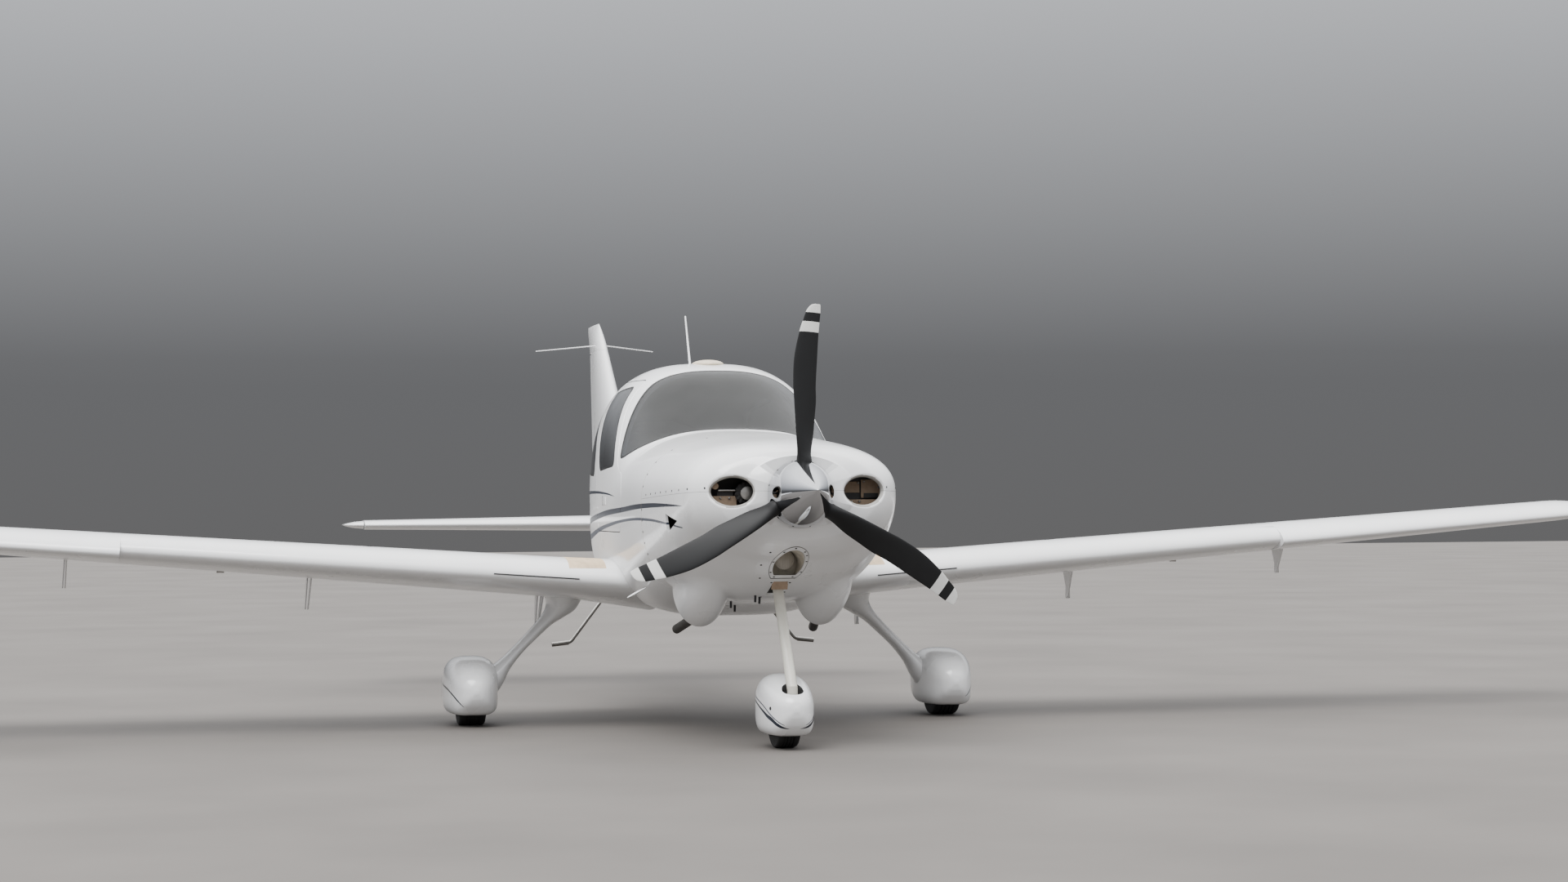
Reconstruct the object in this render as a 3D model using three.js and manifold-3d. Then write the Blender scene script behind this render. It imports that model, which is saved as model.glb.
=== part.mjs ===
// Low-wing, single-engine light aircraft on fixed tricycle gear: composite shell, two front-hinged doors,
// three-blade constant-speed propeller, slotted flaps on drop hinges and faired wheels.
// Millimetres. x points to port, y aft and z up from the floor. Inside the aircraft group y is the station,
// which is the distance aft of the propeller plane.
import * as THREE from "three";
import { mergeVertices } from "three/addons/utils/BufferGeometryUtils.js";
import Module from "manifold-3d";

const wasm = await Module();
wasm.setup();

// Driving dimensions
const LENGTH = 7920;
const SPAN = 11700;
const SPINNER_LENGTH = 355;
const HUB_HEIGHT = 1374;
const PROPELLER_RADIUS = 1005;
const THRUST_TILT = 2.5; // degrees that the thrust line points up as the aircraft stands
const TRACK = 2940;
const MAIN_AXLE_STATION = 2620;
const NOSE_AXLE_STATION = 500;
const TAIL_SPAN = 3930;
// y of the propeller plane, with the length centred on y = 0
const FIRST_STATION = -(LENGTH / 2 - SPINNER_LENGTH);
const GAP = 0.5; // between pieces that are fixed together
const PANEL_GAP = 7; // round a door or hatch
const CABIN_WALL = 32;
const DOOR_ROOM = 12; // between a door's inner face and what stands beside it
const COWL_WALL = 14;

// Finishes
const finish = (color, roughness, metalness) =>
  new THREE.MeshStandardMaterial({ color, roughness, metalness });
const FINISH = {
  white: finish(0xeceef0, 0.25, 0),
  chrome: finish(0xd8dade, 0.08, 1),
  blade: finish(0x17181b, 0.5, 0),
  rubber: finish(0x141414, 0.9, 0),
  alloy: finish(0xb9bcc0, 0.35, 1),
  steel: finish(0x8d8b86, 0.4, 1),
  cast: finish(0x55534e, 0.7, 0.6),
  glass: finish(0x2a2f33, 0.05, 0),
  lamp: finish(0xe8e6d8, 0.1, 0),
  red: finish(0xb01818, 0.2, 0),
  green: finish(0x14803c, 0.2, 0),
  leather: finish(0xb7a78c, 0.6, 0),
  panel: finish(0x3a3b3d, 0.7, 0),
  carpet: finish(0x5c574e, 0.95, 0),
};

const aircraft = new THREE.Group();
aircraft.position.y = FIRST_STATION;

// Solids: a closed geometry becomes a manifold for cutting and joining, and comes back as a geometry
function solid(geometry) {
  const bare = new THREE.BufferGeometry().setAttribute("position", geometry.getAttribute("position"));
  if (geometry.index) bare.setIndex(geometry.index);
  const merged = mergeVertices(bare, 1e-3);
  return new wasm.Manifold(
    new wasm.Mesh({
      numProp: 3,
      vertProperties: new Float32Array(merged.attributes.position.array),
      triVerts: new Uint32Array(merged.index.array),
    }),
  );
}

function geometryOf(body) {
  const mesh = body.getMesh();
  const geometry = new THREE.BufferGeometry();
  geometry.setAttribute("position", new THREE.BufferAttribute(mesh.vertProperties, 3));
  geometry.setIndex(new THREE.BufferAttribute(mesh.triVerts, 1));
  geometry.computeVertexNormals();
  return geometry;
}

const largest = (body) => body.decompose().reduce((a, b) => (a.volume() > b.volume() ? a : b));
const join = (first, ...rest) => rest.reduce((a, b) => a.add(b), first);
const cut = (first, ...rest) => rest.reduce((a, b) => a.subtract(b), first);

function place(name, body, material) {
  const mesh = new THREE.Mesh(body.isBufferGeometry ? body : geometryOf(body), material);
  mesh.name = name;
  aircraft.add(mesh);
  return mesh;
}

// The port piece as it is, and its mirror image to starboard
function placePair(name, body, material, mirrorMaterial = material) {
  place(name + "_left", body, material);
  place(name + "_right", body, mirrorMaterial).scale.x = -1;
}

// A skin through rings of points, with each end closed by a fan
function loft(rings) {
  const count = rings[0].length;
  const points = rings.flat();
  const index = [];
  for (let r = 0; r + 1 < rings.length; r++)
    for (let k = 0; k < count; k++) {
      const a = r * count + k;
      const b = r * count + ((k + 1) % count);
      index.push(a, b, a + count, b, b + count, a + count);
    }
  for (const [r, flip] of [
    [0, true],
    [rings.length - 1, false],
  ]) {
    const centre = points.length;
    points.push(rings[r].reduce((sum, p) => sum.add(p), new THREE.Vector3()).divideScalar(count));
    for (let k = 0; k < count; k++) {
      const a = r * count + k;
      const b = r * count + ((k + 1) % count);
      index.push(...(flip ? [centre, b, a] : [centre, a, b]));
    }
  }
  let volume = 0;
  for (let i = 0; i < index.length; i += 3) {
    const cross = new THREE.Vector3().crossVectors(points[index[i + 1]], points[index[i + 2]]);
    volume += points[index[i]].dot(cross);
  }
  if (volume < 0) index.reverse();
  const geometry = new THREE.BufferGeometry().setFromPoints(points);
  geometry.setIndex(index);
  return solid(geometry);
}

// A box between two corners, and a cylinder or tapered round bar between two points
function box(low, high) {
  const size = high.map((v, i) => v - low[i]);
  const geometry = new THREE.BoxGeometry(...size);
  geometry.translate(...high.map((v, i) => (v + low[i]) / 2));
  return solid(geometry);
}

function rod(from, to, radius, endRadius = radius, sides = 12) {
  const start = new THREE.Vector3(...from);
  const end = new THREE.Vector3(...to);
  const geometry = new THREE.CylinderGeometry(endRadius, radius, start.distanceTo(end), sides);
  const turn = new THREE.Quaternion().setFromUnitVectors(
    new THREE.Vector3(0, 1, 0),
    end.clone().sub(start).normalize(),
  );
  geometry.applyQuaternion(turn);
  geometry.translate(...start.add(end).multiplyScalar(0.5));
  return solid(geometry);
}

function ellipsoid(centre, radii, across = 12, down = 6) {
  const geometry = new THREE.SphereGeometry(1, across, down);
  geometry.scale(...radii);
  geometry.translate(...centre);
  return solid(geometry);
}

// A round bar along a bent path, mitred at its bends. side points across the path at every bend.
function bent(points, radius, side = [1, 0, 0], sides = 12) {
  const path = points.map((p) => new THREE.Vector3(...p));
  const rings = path.map((here, i) => {
    const before = path[Math.max(i - 1, 0)];
    const after = path[Math.min(i + 1, path.length - 1)];
    const into = (i ? here.clone().sub(before) : after.clone().sub(here)).normalize();
    const out = (i + 1 < path.length ? after.clone().sub(here) : into.clone()).normalize();
    const along = into.clone().add(out).normalize();
    const across = new THREE.Vector3(...side).addScaledVector(along, -along.dot(new THREE.Vector3(...side)));
    across.normalize();
    const over = along.clone().cross(across).multiplyScalar(1 / along.dot(into));
    return Array.from({ length: sides }, (_, k) => {
      const turn = (2 * Math.PI * (k + 0.5)) / sides;
      return here
        .clone()
        .addScaledVector(across, radius * Math.cos(turn))
        .addScaledVector(over, radius * Math.sin(turn));
    });
  });
  return loft(rings);
}

// An outline in side view, its corners rounded, carried across the aircraft as a cutter
function inset(corners, distance) {
  const count = corners.length;
  const area = corners.reduce((sum, [x, y], i) => {
    const [u, v] = corners[(i + 1) % count];
    return sum + x * v - u * y;
  }, 0);
  const inward = Math.sign(area);
  const edges = corners.map(([x, y], i) => {
    const [u, v] = corners[(i + 1) % count];
    const long = Math.hypot(u - x, v - y);
    const normal = [(-(v - y) / long) * inward, ((u - x) / long) * inward];
    return { x: x + normal[0] * distance, y: y + normal[1] * distance, u: u - x, v: v - y };
  });
  return edges.map((edge, i) => {
    const before = edges[(i + count - 1) % count];
    const cross = before.u * edge.v - before.v * edge.u;
    const t = ((edge.x - before.x) * edge.v - (edge.y - before.y) * edge.u) / cross;
    return [before.x + before.u * t, before.y + before.v * t];
  });
}

function rounded(corners, radius) {
  const shape = new THREE.Shape();
  const count = corners.length;
  corners.forEach((corner, i) => {
    const here = new THREE.Vector2(...corner);
    const before = new THREE.Vector2(...corners[(i + count - 1) % count]).sub(here);
    const after = new THREE.Vector2(...corners[(i + 1) % count]).sub(here);
    const reach = Math.min(radius, before.length() * 0.45, after.length() * 0.45);
    const from = here.clone().addScaledVector(before.normalize(), reach);
    const to = here.clone().addScaledVector(after.normalize(), reach);
    if (i === 0) shape.moveTo(from.x, from.y);
    else shape.lineTo(from.x, from.y);
    shape.quadraticCurveTo(here.x, here.y, to.x, to.y);
  });
  return shape;
}

const ACROSS = new THREE.Matrix4().makeBasis(
  new THREE.Vector3(0, 1, 0),
  new THREE.Vector3(0, 0, 1),
  new THREE.Vector3(1, 0, 0),
);

function sideCutter(corners, radius, from, to) {
  const geometry = new THREE.ExtrudeGeometry(rounded(corners, radius), {
    depth: to - from,
    bevelEnabled: false,
    curveSegments: 4,
  });
  geometry.applyMatrix4(ACROSS);
  geometry.translate(from, 0, 0);
  return solid(geometry);
}

// Smooth curve through a table's column: a cubic between rows, its slope at a row the mean of its neighbours'
function column(table, key, s) {
  const last = table.length - 1;
  if (s <= table[0][0]) return table[0][key];
  if (s >= table[last][0]) return table[last][key];
  let i = 0;
  while (table[i + 1][0] < s) i++;
  const slope = (k) => {
    const a = Math.max(k - 1, 0);
    const b = Math.min(k + 1, last);
    return (table[b][key] - table[a][key]) / (table[b][0] - table[a][0]);
  };
  const width = table[i + 1][0] - table[i][0];
  const t = (s - table[i][0]) / width;
  return (
    table[i][key] * (1 + 2 * t) * (1 - t) ** 2 +
    table[i + 1][key] * t * t * (3 - 2 * t) +
    width * (slope(i) * t * (1 - t) ** 2 + slope(i + 1) * t * t * (t - 1))
  );
}

// Fuselage: each section is a superellipse above and below its widest point. The canopy's own superellipse
// rises through the deck, so that the windscreen's foot is the curve where the two meet.
const BODY = [
  // station, half width, height of widest point, deck, deck exponent, belly, belly exponent
  [80, 300, 1376, 1574, 2.1, 1188, 2.1],
  [120, 440, 1376, 1602, 2.25, 1124, 2.2],
  [220, 548, 1372, 1632, 2.4, 1056, 2.3],
  [330, 588, 1362, 1650, 2.5, 1006, 2.4],
  [500, 620, 1350, 1668, 2.5, 918, 2.5],
  [800, 652, 1335, 1690, 2.5, 812, 2.7],
  [1250, 682, 1315, 1722, 2.5, 752, 3.0],
  [1800, 690, 1300, 1752, 2.5, 668, 3.2],
  [2450, 690, 1300, 1790, 2.5, 665, 3.2],
  [3100, 660, 1310, 1800, 2.5, 672, 3.2],
  [3600, 588, 1315, 1790, 2.4, 705, 3.0],
  [4200, 482, 1320, 1760, 2.3, 770, 2.6],
  [5000, 345, 1312, 1700, 2.2, 872, 2.3],
  [6000, 205, 1290, 1600, 2.1, 990, 2.1],
  [6960, 70, 1262, 1470, 2.0, 1075, 2.0],
];
const CANOPY = [
  // station, half width, top, exponent
  [1500, 640, 1519, 2.5],
  [1800, 662, 1756, 2.6],
  [2050, 680, 1951, 2.6],
  [2280, 688, 2110, 2.66],
  [2450, 690, 2160, 2.8],
  [2700, 688, 2184, 2.9],
  [3100, 662, 2166, 2.9],
  [3600, 588, 2080, 2.75],
  [4200, 482, 1950, 2.55],
  [5000, 345, 1792, 2.3],
  [6000, 205, 1640, 2.15],
  [6960, 70, 1500, 2.0],
];
const CREASE = 14; // width of the blend at the windscreen's foot
const RING_POINTS = 28;

const superellipse = (half, high, power, angle) =>
  (Math.abs(Math.cos(angle) / half) ** power + Math.abs(Math.sin(angle) / high) ** power) ** (-1 / power);

function bodyRadius(s, angle) {
  const half = column(BODY, 1, s);
  const middle = column(BODY, 2, s);
  const lift = Math.sin(angle);
  if (lift < 0) return superellipse(half, middle - column(BODY, 5, s), column(BODY, 6, s), angle);
  const deck = superellipse(half, column(BODY, 3, s) - middle, column(BODY, 4, s), angle);
  const canopyTop = Math.max(column(CANOPY, 2, s) - middle, 60);
  const canopy = superellipse(column(CANOPY, 1, s), canopyTop, column(CANOPY, 3, s), angle);
  const blend = CREASE * Math.min(1, 3 * lift);
  const canopyShare = s < CANOPY[0][0] ? 0 : canopy;
  return (deck + canopyShare + Math.sqrt((deck - canopyShare) ** 2 + blend ** 2)) / 2;
}

function bodyRing(s, inward) {
  const half = column(BODY, 1, s);
  const middle = column(BODY, 2, s);
  const above = bodyRadius(s, Math.PI / 2);
  const below = middle - column(BODY, 5, s);
  return Array.from({ length: RING_POINTS }, (_, k) => {
    const turn = (2 * Math.PI * k) / RING_POINTS;
    const high = Math.sin(turn) >= 0 ? above : below;
    const angle = Math.atan2(Math.sin(turn) * high, Math.cos(turn) * half);
    const radius = bodyRadius(s, angle) - inward;
    return new THREE.Vector3(radius * Math.cos(angle), s, middle + radius * Math.sin(angle));
  });
}

const bodyLoft = (stations, inward) => loft(stations.map((s) => bodyRing(s, inward)));

const FIREWALL_STATION = 1110;
const TAIL_END_STATION = 6960;
const COWL_STATIONS = [80, 92, 120, 165, 220, 330, 500, 800, FIREWALL_STATION];
const CABIN_STATIONS = [
  FIREWALL_STATION + PANEL_GAP,
  ...[1450, 1780, 1900, 2020, 2140, 2260, 2400, 2600, 2850, 3100, 3400, 3800, 4200, 5000, 6200],
  TAIL_END_STATION,
];
const CAVITY_END = 6300;
const TAIL_TIE_DOWN = 6600;

const skin = bodyLoft(CABIN_STATIONS, 0);
const cavityStations = [FIREWALL_STATION + 28, ...CABIN_STATIONS.slice(1).filter((s) => s < CAVITY_END)];
const cavity = bodyLoft(cavityStations, CABIN_WALL);
const lining = bodyLoft(cavityStations, CABIN_WALL + GAP);
const behindDoors = bodyLoft(cavityStations, CABIN_WALL + DOOR_ROOM);
const wall = cut(skin, cavity);
const pane = cut(bodyLoft(CABIN_STATIONS, 1.5), bodyLoft(CABIN_STATIONS, 8));
// What leans on the skin from outside, such as the wings, is cut with the whole body made slightly larger
const wholeBody = bodyLoft([...COWL_STATIONS, ...CABIN_STATIONS.slice(1)], -GAP);

// Openings in side view: corners as station and height
const OPENINGS = {
  windscreen: {
    radius: 40,
    corners: [
      [1790, 1762],
      [1812, 1700],
      [1840, 1665],
      [1900, 1625],
      [1975, 1594],
      [2040, 1588],
      [2318, 2060],
      [2318, 2400],
      [1600, 2400],
      [1600, 1940],
    ],
  },
  door: {
    radius: 60,
    edgeAt: 690,
    corners: [
      [1745, 1158],
      [1745, 1390],
      [1900, 1500],
      [2045, 1545],
      [2478, 2075],
      [3037, 2075],
      [2668, 1500],
      [2662, 1200],
      [2600, 1158],
    ],
  },
  doorWindow: {
    radius: 58,
    corners: [
      [2118, 1546],
      [2455, 2040],
      [2880, 2010],
      [2572, 1520],
    ],
  },
  rearWindow: {
    radius: 80,
    corners: [
      [2795, 1493],
      [2800, 1625],
      [3085, 1990],
      [3550, 1935],
      [4010, 1650],
      [3990, 1580],
      [3400, 1510],
    ],
  },
  hatch: {
    radius: 45,
    edgeAt: 560,
    corners: [
      [3760, 1105],
      [3760, 1480],
      [4288, 1480],
      [4288, 1150],
    ],
  },
};
// A door's edges slant aft towards the outside, so that it swings clear of its frame. Its corners are
// given where x is edgeAt.
const EDGE_SLANT = 0.3;
const OUTBOARD = 900;
const INBOARD = 150;
const opening = (name, distance, from = INBOARD, to = OUTBOARD) => {
  const { corners, radius, edgeAt } = OPENINGS[name];
  const body = sideCutter(inset(corners, distance), Math.max(radius - distance, 5), from, to);
  return edgeAt ? body.warp((point) => (point[1] += EDGE_SLANT * (point[0] - edgeAt))) : body;
};
const mirrored = (body) => body.scale([-1, 1, 1]);

function makeFuselage() {
  const windscreenCut = opening("windscreen", 0, -OUTBOARD, OUTBOARD);
  const bellyPoint = { x: 0, y: TAIL_TIE_DOWN, z: column(BODY, 5, TAIL_TIE_DOWN) };
  const tieDown = pad(bellyPoint, TIE_DOWN.radius, TIE_DOWN.proud);
  const bothSides = (name) => [opening(name, 0), mirrored(opening(name, 0))];
  const sideCuts = [...bothSides("door"), ...bothSides("rearWindow"), opening("hatch", 0)];
  const shell = cut(wall, windscreenCut, ...sideCuts);
  place("fuselage_shell", join(shell, tieDown), FINISH.white);
  place("windscreen", pane.intersect(opening("windscreen", GAP, -OUTBOARD, OUTBOARD)), FINISH.glass);
  placePair("rear_window", pane.intersect(opening("rearWindow", GAP)), FINISH.glass);
  placePair("door", cut(wall.intersect(opening("door", PANEL_GAP)), opening("doorWindow", 0)), FINISH.white);
  placePair("door_window", pane.intersect(opening("doorWindow", GAP)), FINISH.glass);
  place("baggage_door", wall.intersect(opening("hatch", PANEL_GAP)), FINISH.white);
}

// Cowling: two halves that meet at the height of the air inlets, on a seam that slopes down a little aft
const COWL_SPLIT = { height: 1390.6, fall: 0.036 };
const INLET = { x: 360, z: 1386, halfWidth: 113, halfHeight: 77 };
const LAMP = { z: 990, radius: 82, sill: 934, lens: 55, lensZ: 1018, station: 480 };
const LEG_SLOT = { halfWidth: 42, from: 553, to: 790, top: 960 };
// Each exhaust bump is an ellipsoid whose middle line rises going forward
const BUMP = { x: 345, station: 1106, z: 860, rise: 0.25, halfWidth: 155, length: 450, depth: 227, wall: 8 };

function makeCowling() {
  const outer = bodyLoft(COWL_STATIONS, 0);
  const inside = bodyLoft([100, 130, 165, 220, 330, 500, 800, FIREWALL_STATION + 20], COWL_WALL);
  const inletBody = (side) => {
    const geometry = new THREE.CylinderGeometry(1, 1, 600, 24);
    geometry.scale(INLET.halfWidth, 1, INLET.halfHeight);
    geometry.translate(side * INLET.x, 200, INLET.z);
    return solid(geometry);
  };
  const ahead = box([-OUTBOARD, 0, 0], [OUTBOARD, FIREWALL_STATION, 2000]);
  const bumpAt = (side, thinner) =>
    ellipsoid(
      [side * BUMP.x, BUMP.station, BUMP.z],
      [BUMP.halfWidth - thinner, BUMP.length - thinner, BUMP.depth - thinner],
    ).warp((point) => (point[2] += BUMP.rise * Math.max(BUMP.station - point[1], 0)));
  const bumps = join(bumpAt(1, 0), bumpAt(-1, 0)).intersect(ahead);
  const bumpHollows = join(bumpAt(1, BUMP.wall), bumpAt(-1, BUMP.wall));
  const shaftHole = rod([0, 0, HUB_HEIGHT], [0, 200, HUB_HEIGHT], 130, 130, 24);
  const lampHole = cut(
    rod([0, 100, LAMP.z], [0, 520, LAMP.z], LAMP.radius, LAMP.radius, 24),
    box([-OUTBOARD, 0, 0], [OUTBOARD, 600, LAMP.sill]),
  );
  const legSlot = box(
    [-LEG_SLOT.halfWidth, LEG_SLOT.from, 500],
    [LEG_SLOT.halfWidth, LEG_SLOT.to, LEG_SLOT.top],
  );
  const shell = cut(
    join(outer, bumps),
    inside,
    bumpHollows,
    inletBody(1),
    inletBody(-1),
    shaftHole,
    lampHole,
    legSlot,
  );
  const sloped = (body) => body.warp((point) => (point[2] -= COWL_SPLIT.fall * point[1]));
  const upper = sloped(box([-OUTBOARD, 0, COWL_SPLIT.height + GAP], [OUTBOARD, 1500, 2100]));
  const lower = sloped(box([-OUTBOARD, 0, 0], [OUTBOARD, 1500, COWL_SPLIT.height]));
  place("cowl_upper", largest(shell.intersect(upper)), FINISH.white);
  place("cowl_lower", largest(shell.intersect(lower)), FINISH.white);
}

// Engine: one plain block at its real place and size, the lamp below it and the exhausts behind the bumps
const ENGINE = { halfWidth: 390, from: 270, to: 1030, low: 1130, high: 1515 };
const EXHAUST = {
  radius: 27,
  bore: 23,
  path: [
    [330, 1066, 704],
    [348, 1200, 690],
    [402, 1535, 604],
  ],
};

function makeEngine() {
  const { halfWidth, from, to, low, high } = ENGINE;
  const block = box([-halfWidth, from, low], [halfWidth, to, high]);
  const mounts = [-280, 280].map((x) => rod([x, to - 10, 1250], [x, FIREWALL_STATION + 5, 1250], 16, 16, 8));
  place("engine_block", join(block, ...mounts), FINISH.cast);
  const lampAt = (aft) => [0, LAMP.station + aft, LAMP.lensZ];
  const lens = ellipsoid(lampAt(0), [LAMP.lens, 18, LAMP.lens]);
  const can = rod(lampAt(0), lampAt(60), LAMP.lens, 35, 20);
  const stalk = rod(lampAt(40), [0, LAMP.station + 40, ENGINE.low - GAP], 14);
  place("landing_light", join(lens, can, stalk), FINISH.lamp);
  const { radius, bore, path } = EXHAUST;
  const riserTop = [path[0][0], path[0][1], ENGINE.low + 20];
  const [bend, mouth] = path.slice(-2).map((point) => new THREE.Vector3(...point));
  const beyond = (share) => mouth.clone().addScaledVector(mouth.clone().sub(bend), share).toArray();
  const pipe = cut(bent([riserTop, ...path], radius), rod(beyond(-0.6), beyond(0.3), bore));
  placePair("exhaust_pipe", pipe, FINISH.steel);
}

// Propeller: turns about a thrust line that points up a little
const hubTurn = new THREE.Matrix4()
  .makeTranslation(0, 0, HUB_HEIGHT)
  .multiply(new THREE.Matrix4().makeRotationX(THREE.MathUtils.degToRad(-THRUST_TILT)));
const SPINNER = { base: 58, radius: 178, wall: 5 };
const BLADE_ROOT = 43;
const BLADE_HOLE = 54;
const FIRST_BLADE_LEAN = 3.3; // degrees that the top blade leans to port
const BLADE = [
  // radius, chord, thickness, pitch in degrees, forward shift of the middle of the chord
  [73, 86, 86, 40, 0],
  [165, 84, 84, 40, 0],
  [215, 96, 54, 38, 2],
  [300, 122, 34, 33, 3],
  [405, 135, 26, 28, 7],
  [490, 143, 21, 24, 10],
  [573, 142, 18.5, 20.5, 17],
  [715, 139, 14, 17, 16],
  [854, 113, 10.5, 14, 2],
  [909, 98, 9, 12, -8],
  [957, 85, 8, 11, -17],
  [985, 68, 6.5, 11, -25],
  [PROPELLER_RADIUS, 30, 4, 11, -40],
];

function bladeRing(row) {
  const [radius, chord, thickness, pitch, shift] = row;
  const turn = THREE.MathUtils.degToRad(pitch);
  const count = 12;
  return Array.from({ length: count }, (_, k) => {
    const angle = (2 * Math.PI * k) / count;
    const along = (chord / 2) * Math.cos(angle) + shift;
    const up = (thickness / 2) * Math.sin(angle);
    // The leading edge is to starboard of an upright blade and forward
    return new THREE.Vector3(
      -along * Math.cos(turn) + up * Math.sin(turn),
      -along * Math.sin(turn) - up * Math.cos(turn),
      radius,
    );
  });
}

function makePropeller() {
  const turned = (body) => body.transform(hubTurn.elements.slice());
  // A lathe's axis lies along y, which is the thrust line here, and half a turn puts its tip forward
  const lathe = (wall, low) => {
    const radius = SPINNER.radius - wall;
    const length = SPINNER_LENGTH + SPINNER.base - wall * 1.5;
    const count = 7;
    const points = [new THREE.Vector2(0, low)];
    if (low < 0) points.push(new THREE.Vector2(radius, low));
    for (let k = 0; k <= count; k++) {
      const t = k / count;
      points.push(new THREE.Vector2(k === count ? 0 : radius * (1 - t ** 1.7) ** 0.9, t * length));
    }
    const geometry = new THREE.LatheGeometry(points, 28);
    geometry.rotateX(Math.PI);
    geometry.translate(0, SPINNER.base, 0);
    return solid(geometry);
  };
  const bladeTurns = [0, 1, 2].map((k) =>
    new THREE.Matrix4().makeRotationY(THREE.MathUtils.degToRad(FIRST_BLADE_LEAN + 120 * k)),
  );
  const hole = rod([0, 0, 60], [0, 0, 260], BLADE_HOLE, BLADE_HOLE, 16);
  const holes = bladeTurns.map((m) => hole.transform(m.elements.slice()));
  const shell = cut(lathe(0, 0), lathe(SPINNER.wall, -20), ...holes);
  place("spinner", turned(shell), FINISH.chrome);
  const plateRadius = SPINNER.radius - 2;
  const plate = rod([0, SPINNER.base + GAP, 0], [0, SPINNER.base + 8, 0], plateRadius, plateRadius, 36);
  const hub = join(
    plate,
    rod([0, -110, 0], [0, SPINNER.base + 4, 0], 72, 72, 20),
    rod([0, -150, 0], [0, -100, 0], 40, 55, 16),
    rod([0, SPINNER.base + 4, 0], [0, ENGINE.from - 25, 0], 62, 62, 20),
  );
  place("propeller_hub", turned(hub), FINISH.alloy);
  const blade = loft(BLADE.map(bladeRing));
  bladeTurns.forEach((m, k) => {
    place("propeller_blade_" + (k + 1), turned(blade.transform(m.elements.slice())), FINISH.blade);
  });
}

// Wings, tailplane and fin share one kind of section. u runs along the span, s aft and w across it.
const THICKNESS = (f) =>
  10 * (0.2969 * Math.sqrt(f) - 0.126 * f - 0.3516 * f * f + 0.2843 * f ** 3 - 0.1015 * f ** 4);
const CHORD_STEPS = [0, 0.01, 0.04, 0.1, 0.2, 0.35, 0.55, 0.78, 1];
const EDGE = 0.0025; // half thickness of the trailing edge, as a share of the chord

function height(row, share, side) {
  const [, , chord, upper, lower, pitch = 0, forward = 0, droop = 0] = row;
  const depth = side > 0 ? upper : lower;
  const edge = EDGE * share;
  const lead = Math.max(0, 1 - share / 0.25) ** 2;
  const lean = share * chord * Math.tan(THREE.MathUtils.degToRad(pitch));
  return {
    s: row[1] + share * chord - lead * forward,
    w: side * chord * (depth * THICKNESS(share) + edge) - lean - lead * droop,
  };
}

// row: u, leading edge, chord, upper and lower thickness as shares of the chord, pitch, then a cuff's
// reach and droop
function foilRing(row, offset = 0) {
  const upper = CHORD_STEPS.map((f) => height(row, f, 1));
  const lower = CHORD_STEPS.slice(1).map((f) => height(row, f, -1));
  const point = ({ s, w }) => new THREE.Vector3(row[0], s, w + (row.w || 0) + offset);
  return [...upper.reverse(), ...lower].map(point);
}

function between(table, u) {
  return table[0].map((_, key) => (key === 0 ? u : column(table, key, u)));
}

// The hinge line in a section, where a moving surface's round nose is centred
function hingeAt(row, station) {
  const share = (station - row[1]) / row[2];
  const top = height(row, share, 1).w;
  const bottom = height(row, share, -1).w;
  return { w: (top + bottom) / 2, radius: (top - bottom) / 2, share };
}

const NOSE_STEPS = 7;
function surfaceRing(row, station) {
  const hinge = hingeAt(row, station);
  const steps = [0, 0.2, 0.45, 0.75, 1].map((f) => hinge.share + f * (1 - hinge.share));
  const point = ({ s, w }) => new THREE.Vector3(row[0], s, w);
  const upper = steps.slice(1).map((f) => point(height(row, f, 1)));
  const lower = steps.slice(1).map((f) => point(height(row, f, -1)));
  const nose = Array.from({ length: NOSE_STEPS }, (_, k) => {
    const angle = Math.PI / 2 + (Math.PI * k) / (NOSE_STEPS - 1);
    return new THREE.Vector3(
      row[0],
      station + hinge.radius * 0.98 * Math.cos(angle),
      hinge.w + hinge.radius * 0.98 * Math.sin(angle),
    );
  });
  return [...upper.reverse(), ...nose, ...lower];
}

// The room that a moving surface turns in: a round trough about the hinge line and all behind it
function surfaceBay(table, station, from, to, clearance) {
  const ends = [from, to].map((u) => ({ u, ...hingeAt(between(table, u), station) }));
  const count = 20;
  const trough = loft(
    ends.map(({ u, w, radius }) =>
      Array.from({ length: count }, (_, k) => {
        const angle = (2 * Math.PI * k) / count;
        const reach = radius + clearance;
        return new THREE.Vector3(u, station + reach * Math.cos(angle), w + reach * Math.sin(angle));
      }),
    ),
  );
  return join(trough, box([from, station, -600], [to, station + 900, 600]));
}

// Wing: in its own frame, turned up by the dihedral about the root
const DIHEDRAL = 4.2;
const WING_ROOT = { x: 650, z: 868 };
const wingTurn = new THREE.Matrix4()
  .makeTranslation(WING_ROOT.x, 0, WING_ROOT.z)
  .multiply(new THREE.Matrix4().makeRotationY(THREE.MathUtils.degToRad(-DIHEDRAL)));
const toWing = (body) => body.transform(wingTurn.elements.slice());
const CUFF_START = 2880;
const TIP_START = 4830;
const WING_TIP = (SPAN / 2 - WING_ROOT.x) / Math.cos(THREE.MathUtils.degToRad(DIHEDRAL));
const WING = [
  // u, leading edge, chord, upper, lower, pitch, cuff forward, cuff droop
  [-260, 1905, 1620, 0.098, 0.082, 3.6, 0, 0],
  [0, 1940, 1500, 0.1, 0.075, 3.5, 0, 0],
  [250, 1962, 1400, 0.101, 0.07, 3.4, 0, 0],
  [1500, 2030, 1262, 0.1, 0.066, 2.9, 0, 0],
  [CUFF_START - 1, 2102, 1096, 0.098, 0.062, 2.3, 0, 0],
  [CUFF_START, 2102, 1096, 0.098, 0.062, 2.3, 48, 16],
  [TIP_START, 2200, 885, 0.094, 0.056, 1.4, 40, 14],
];
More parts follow.
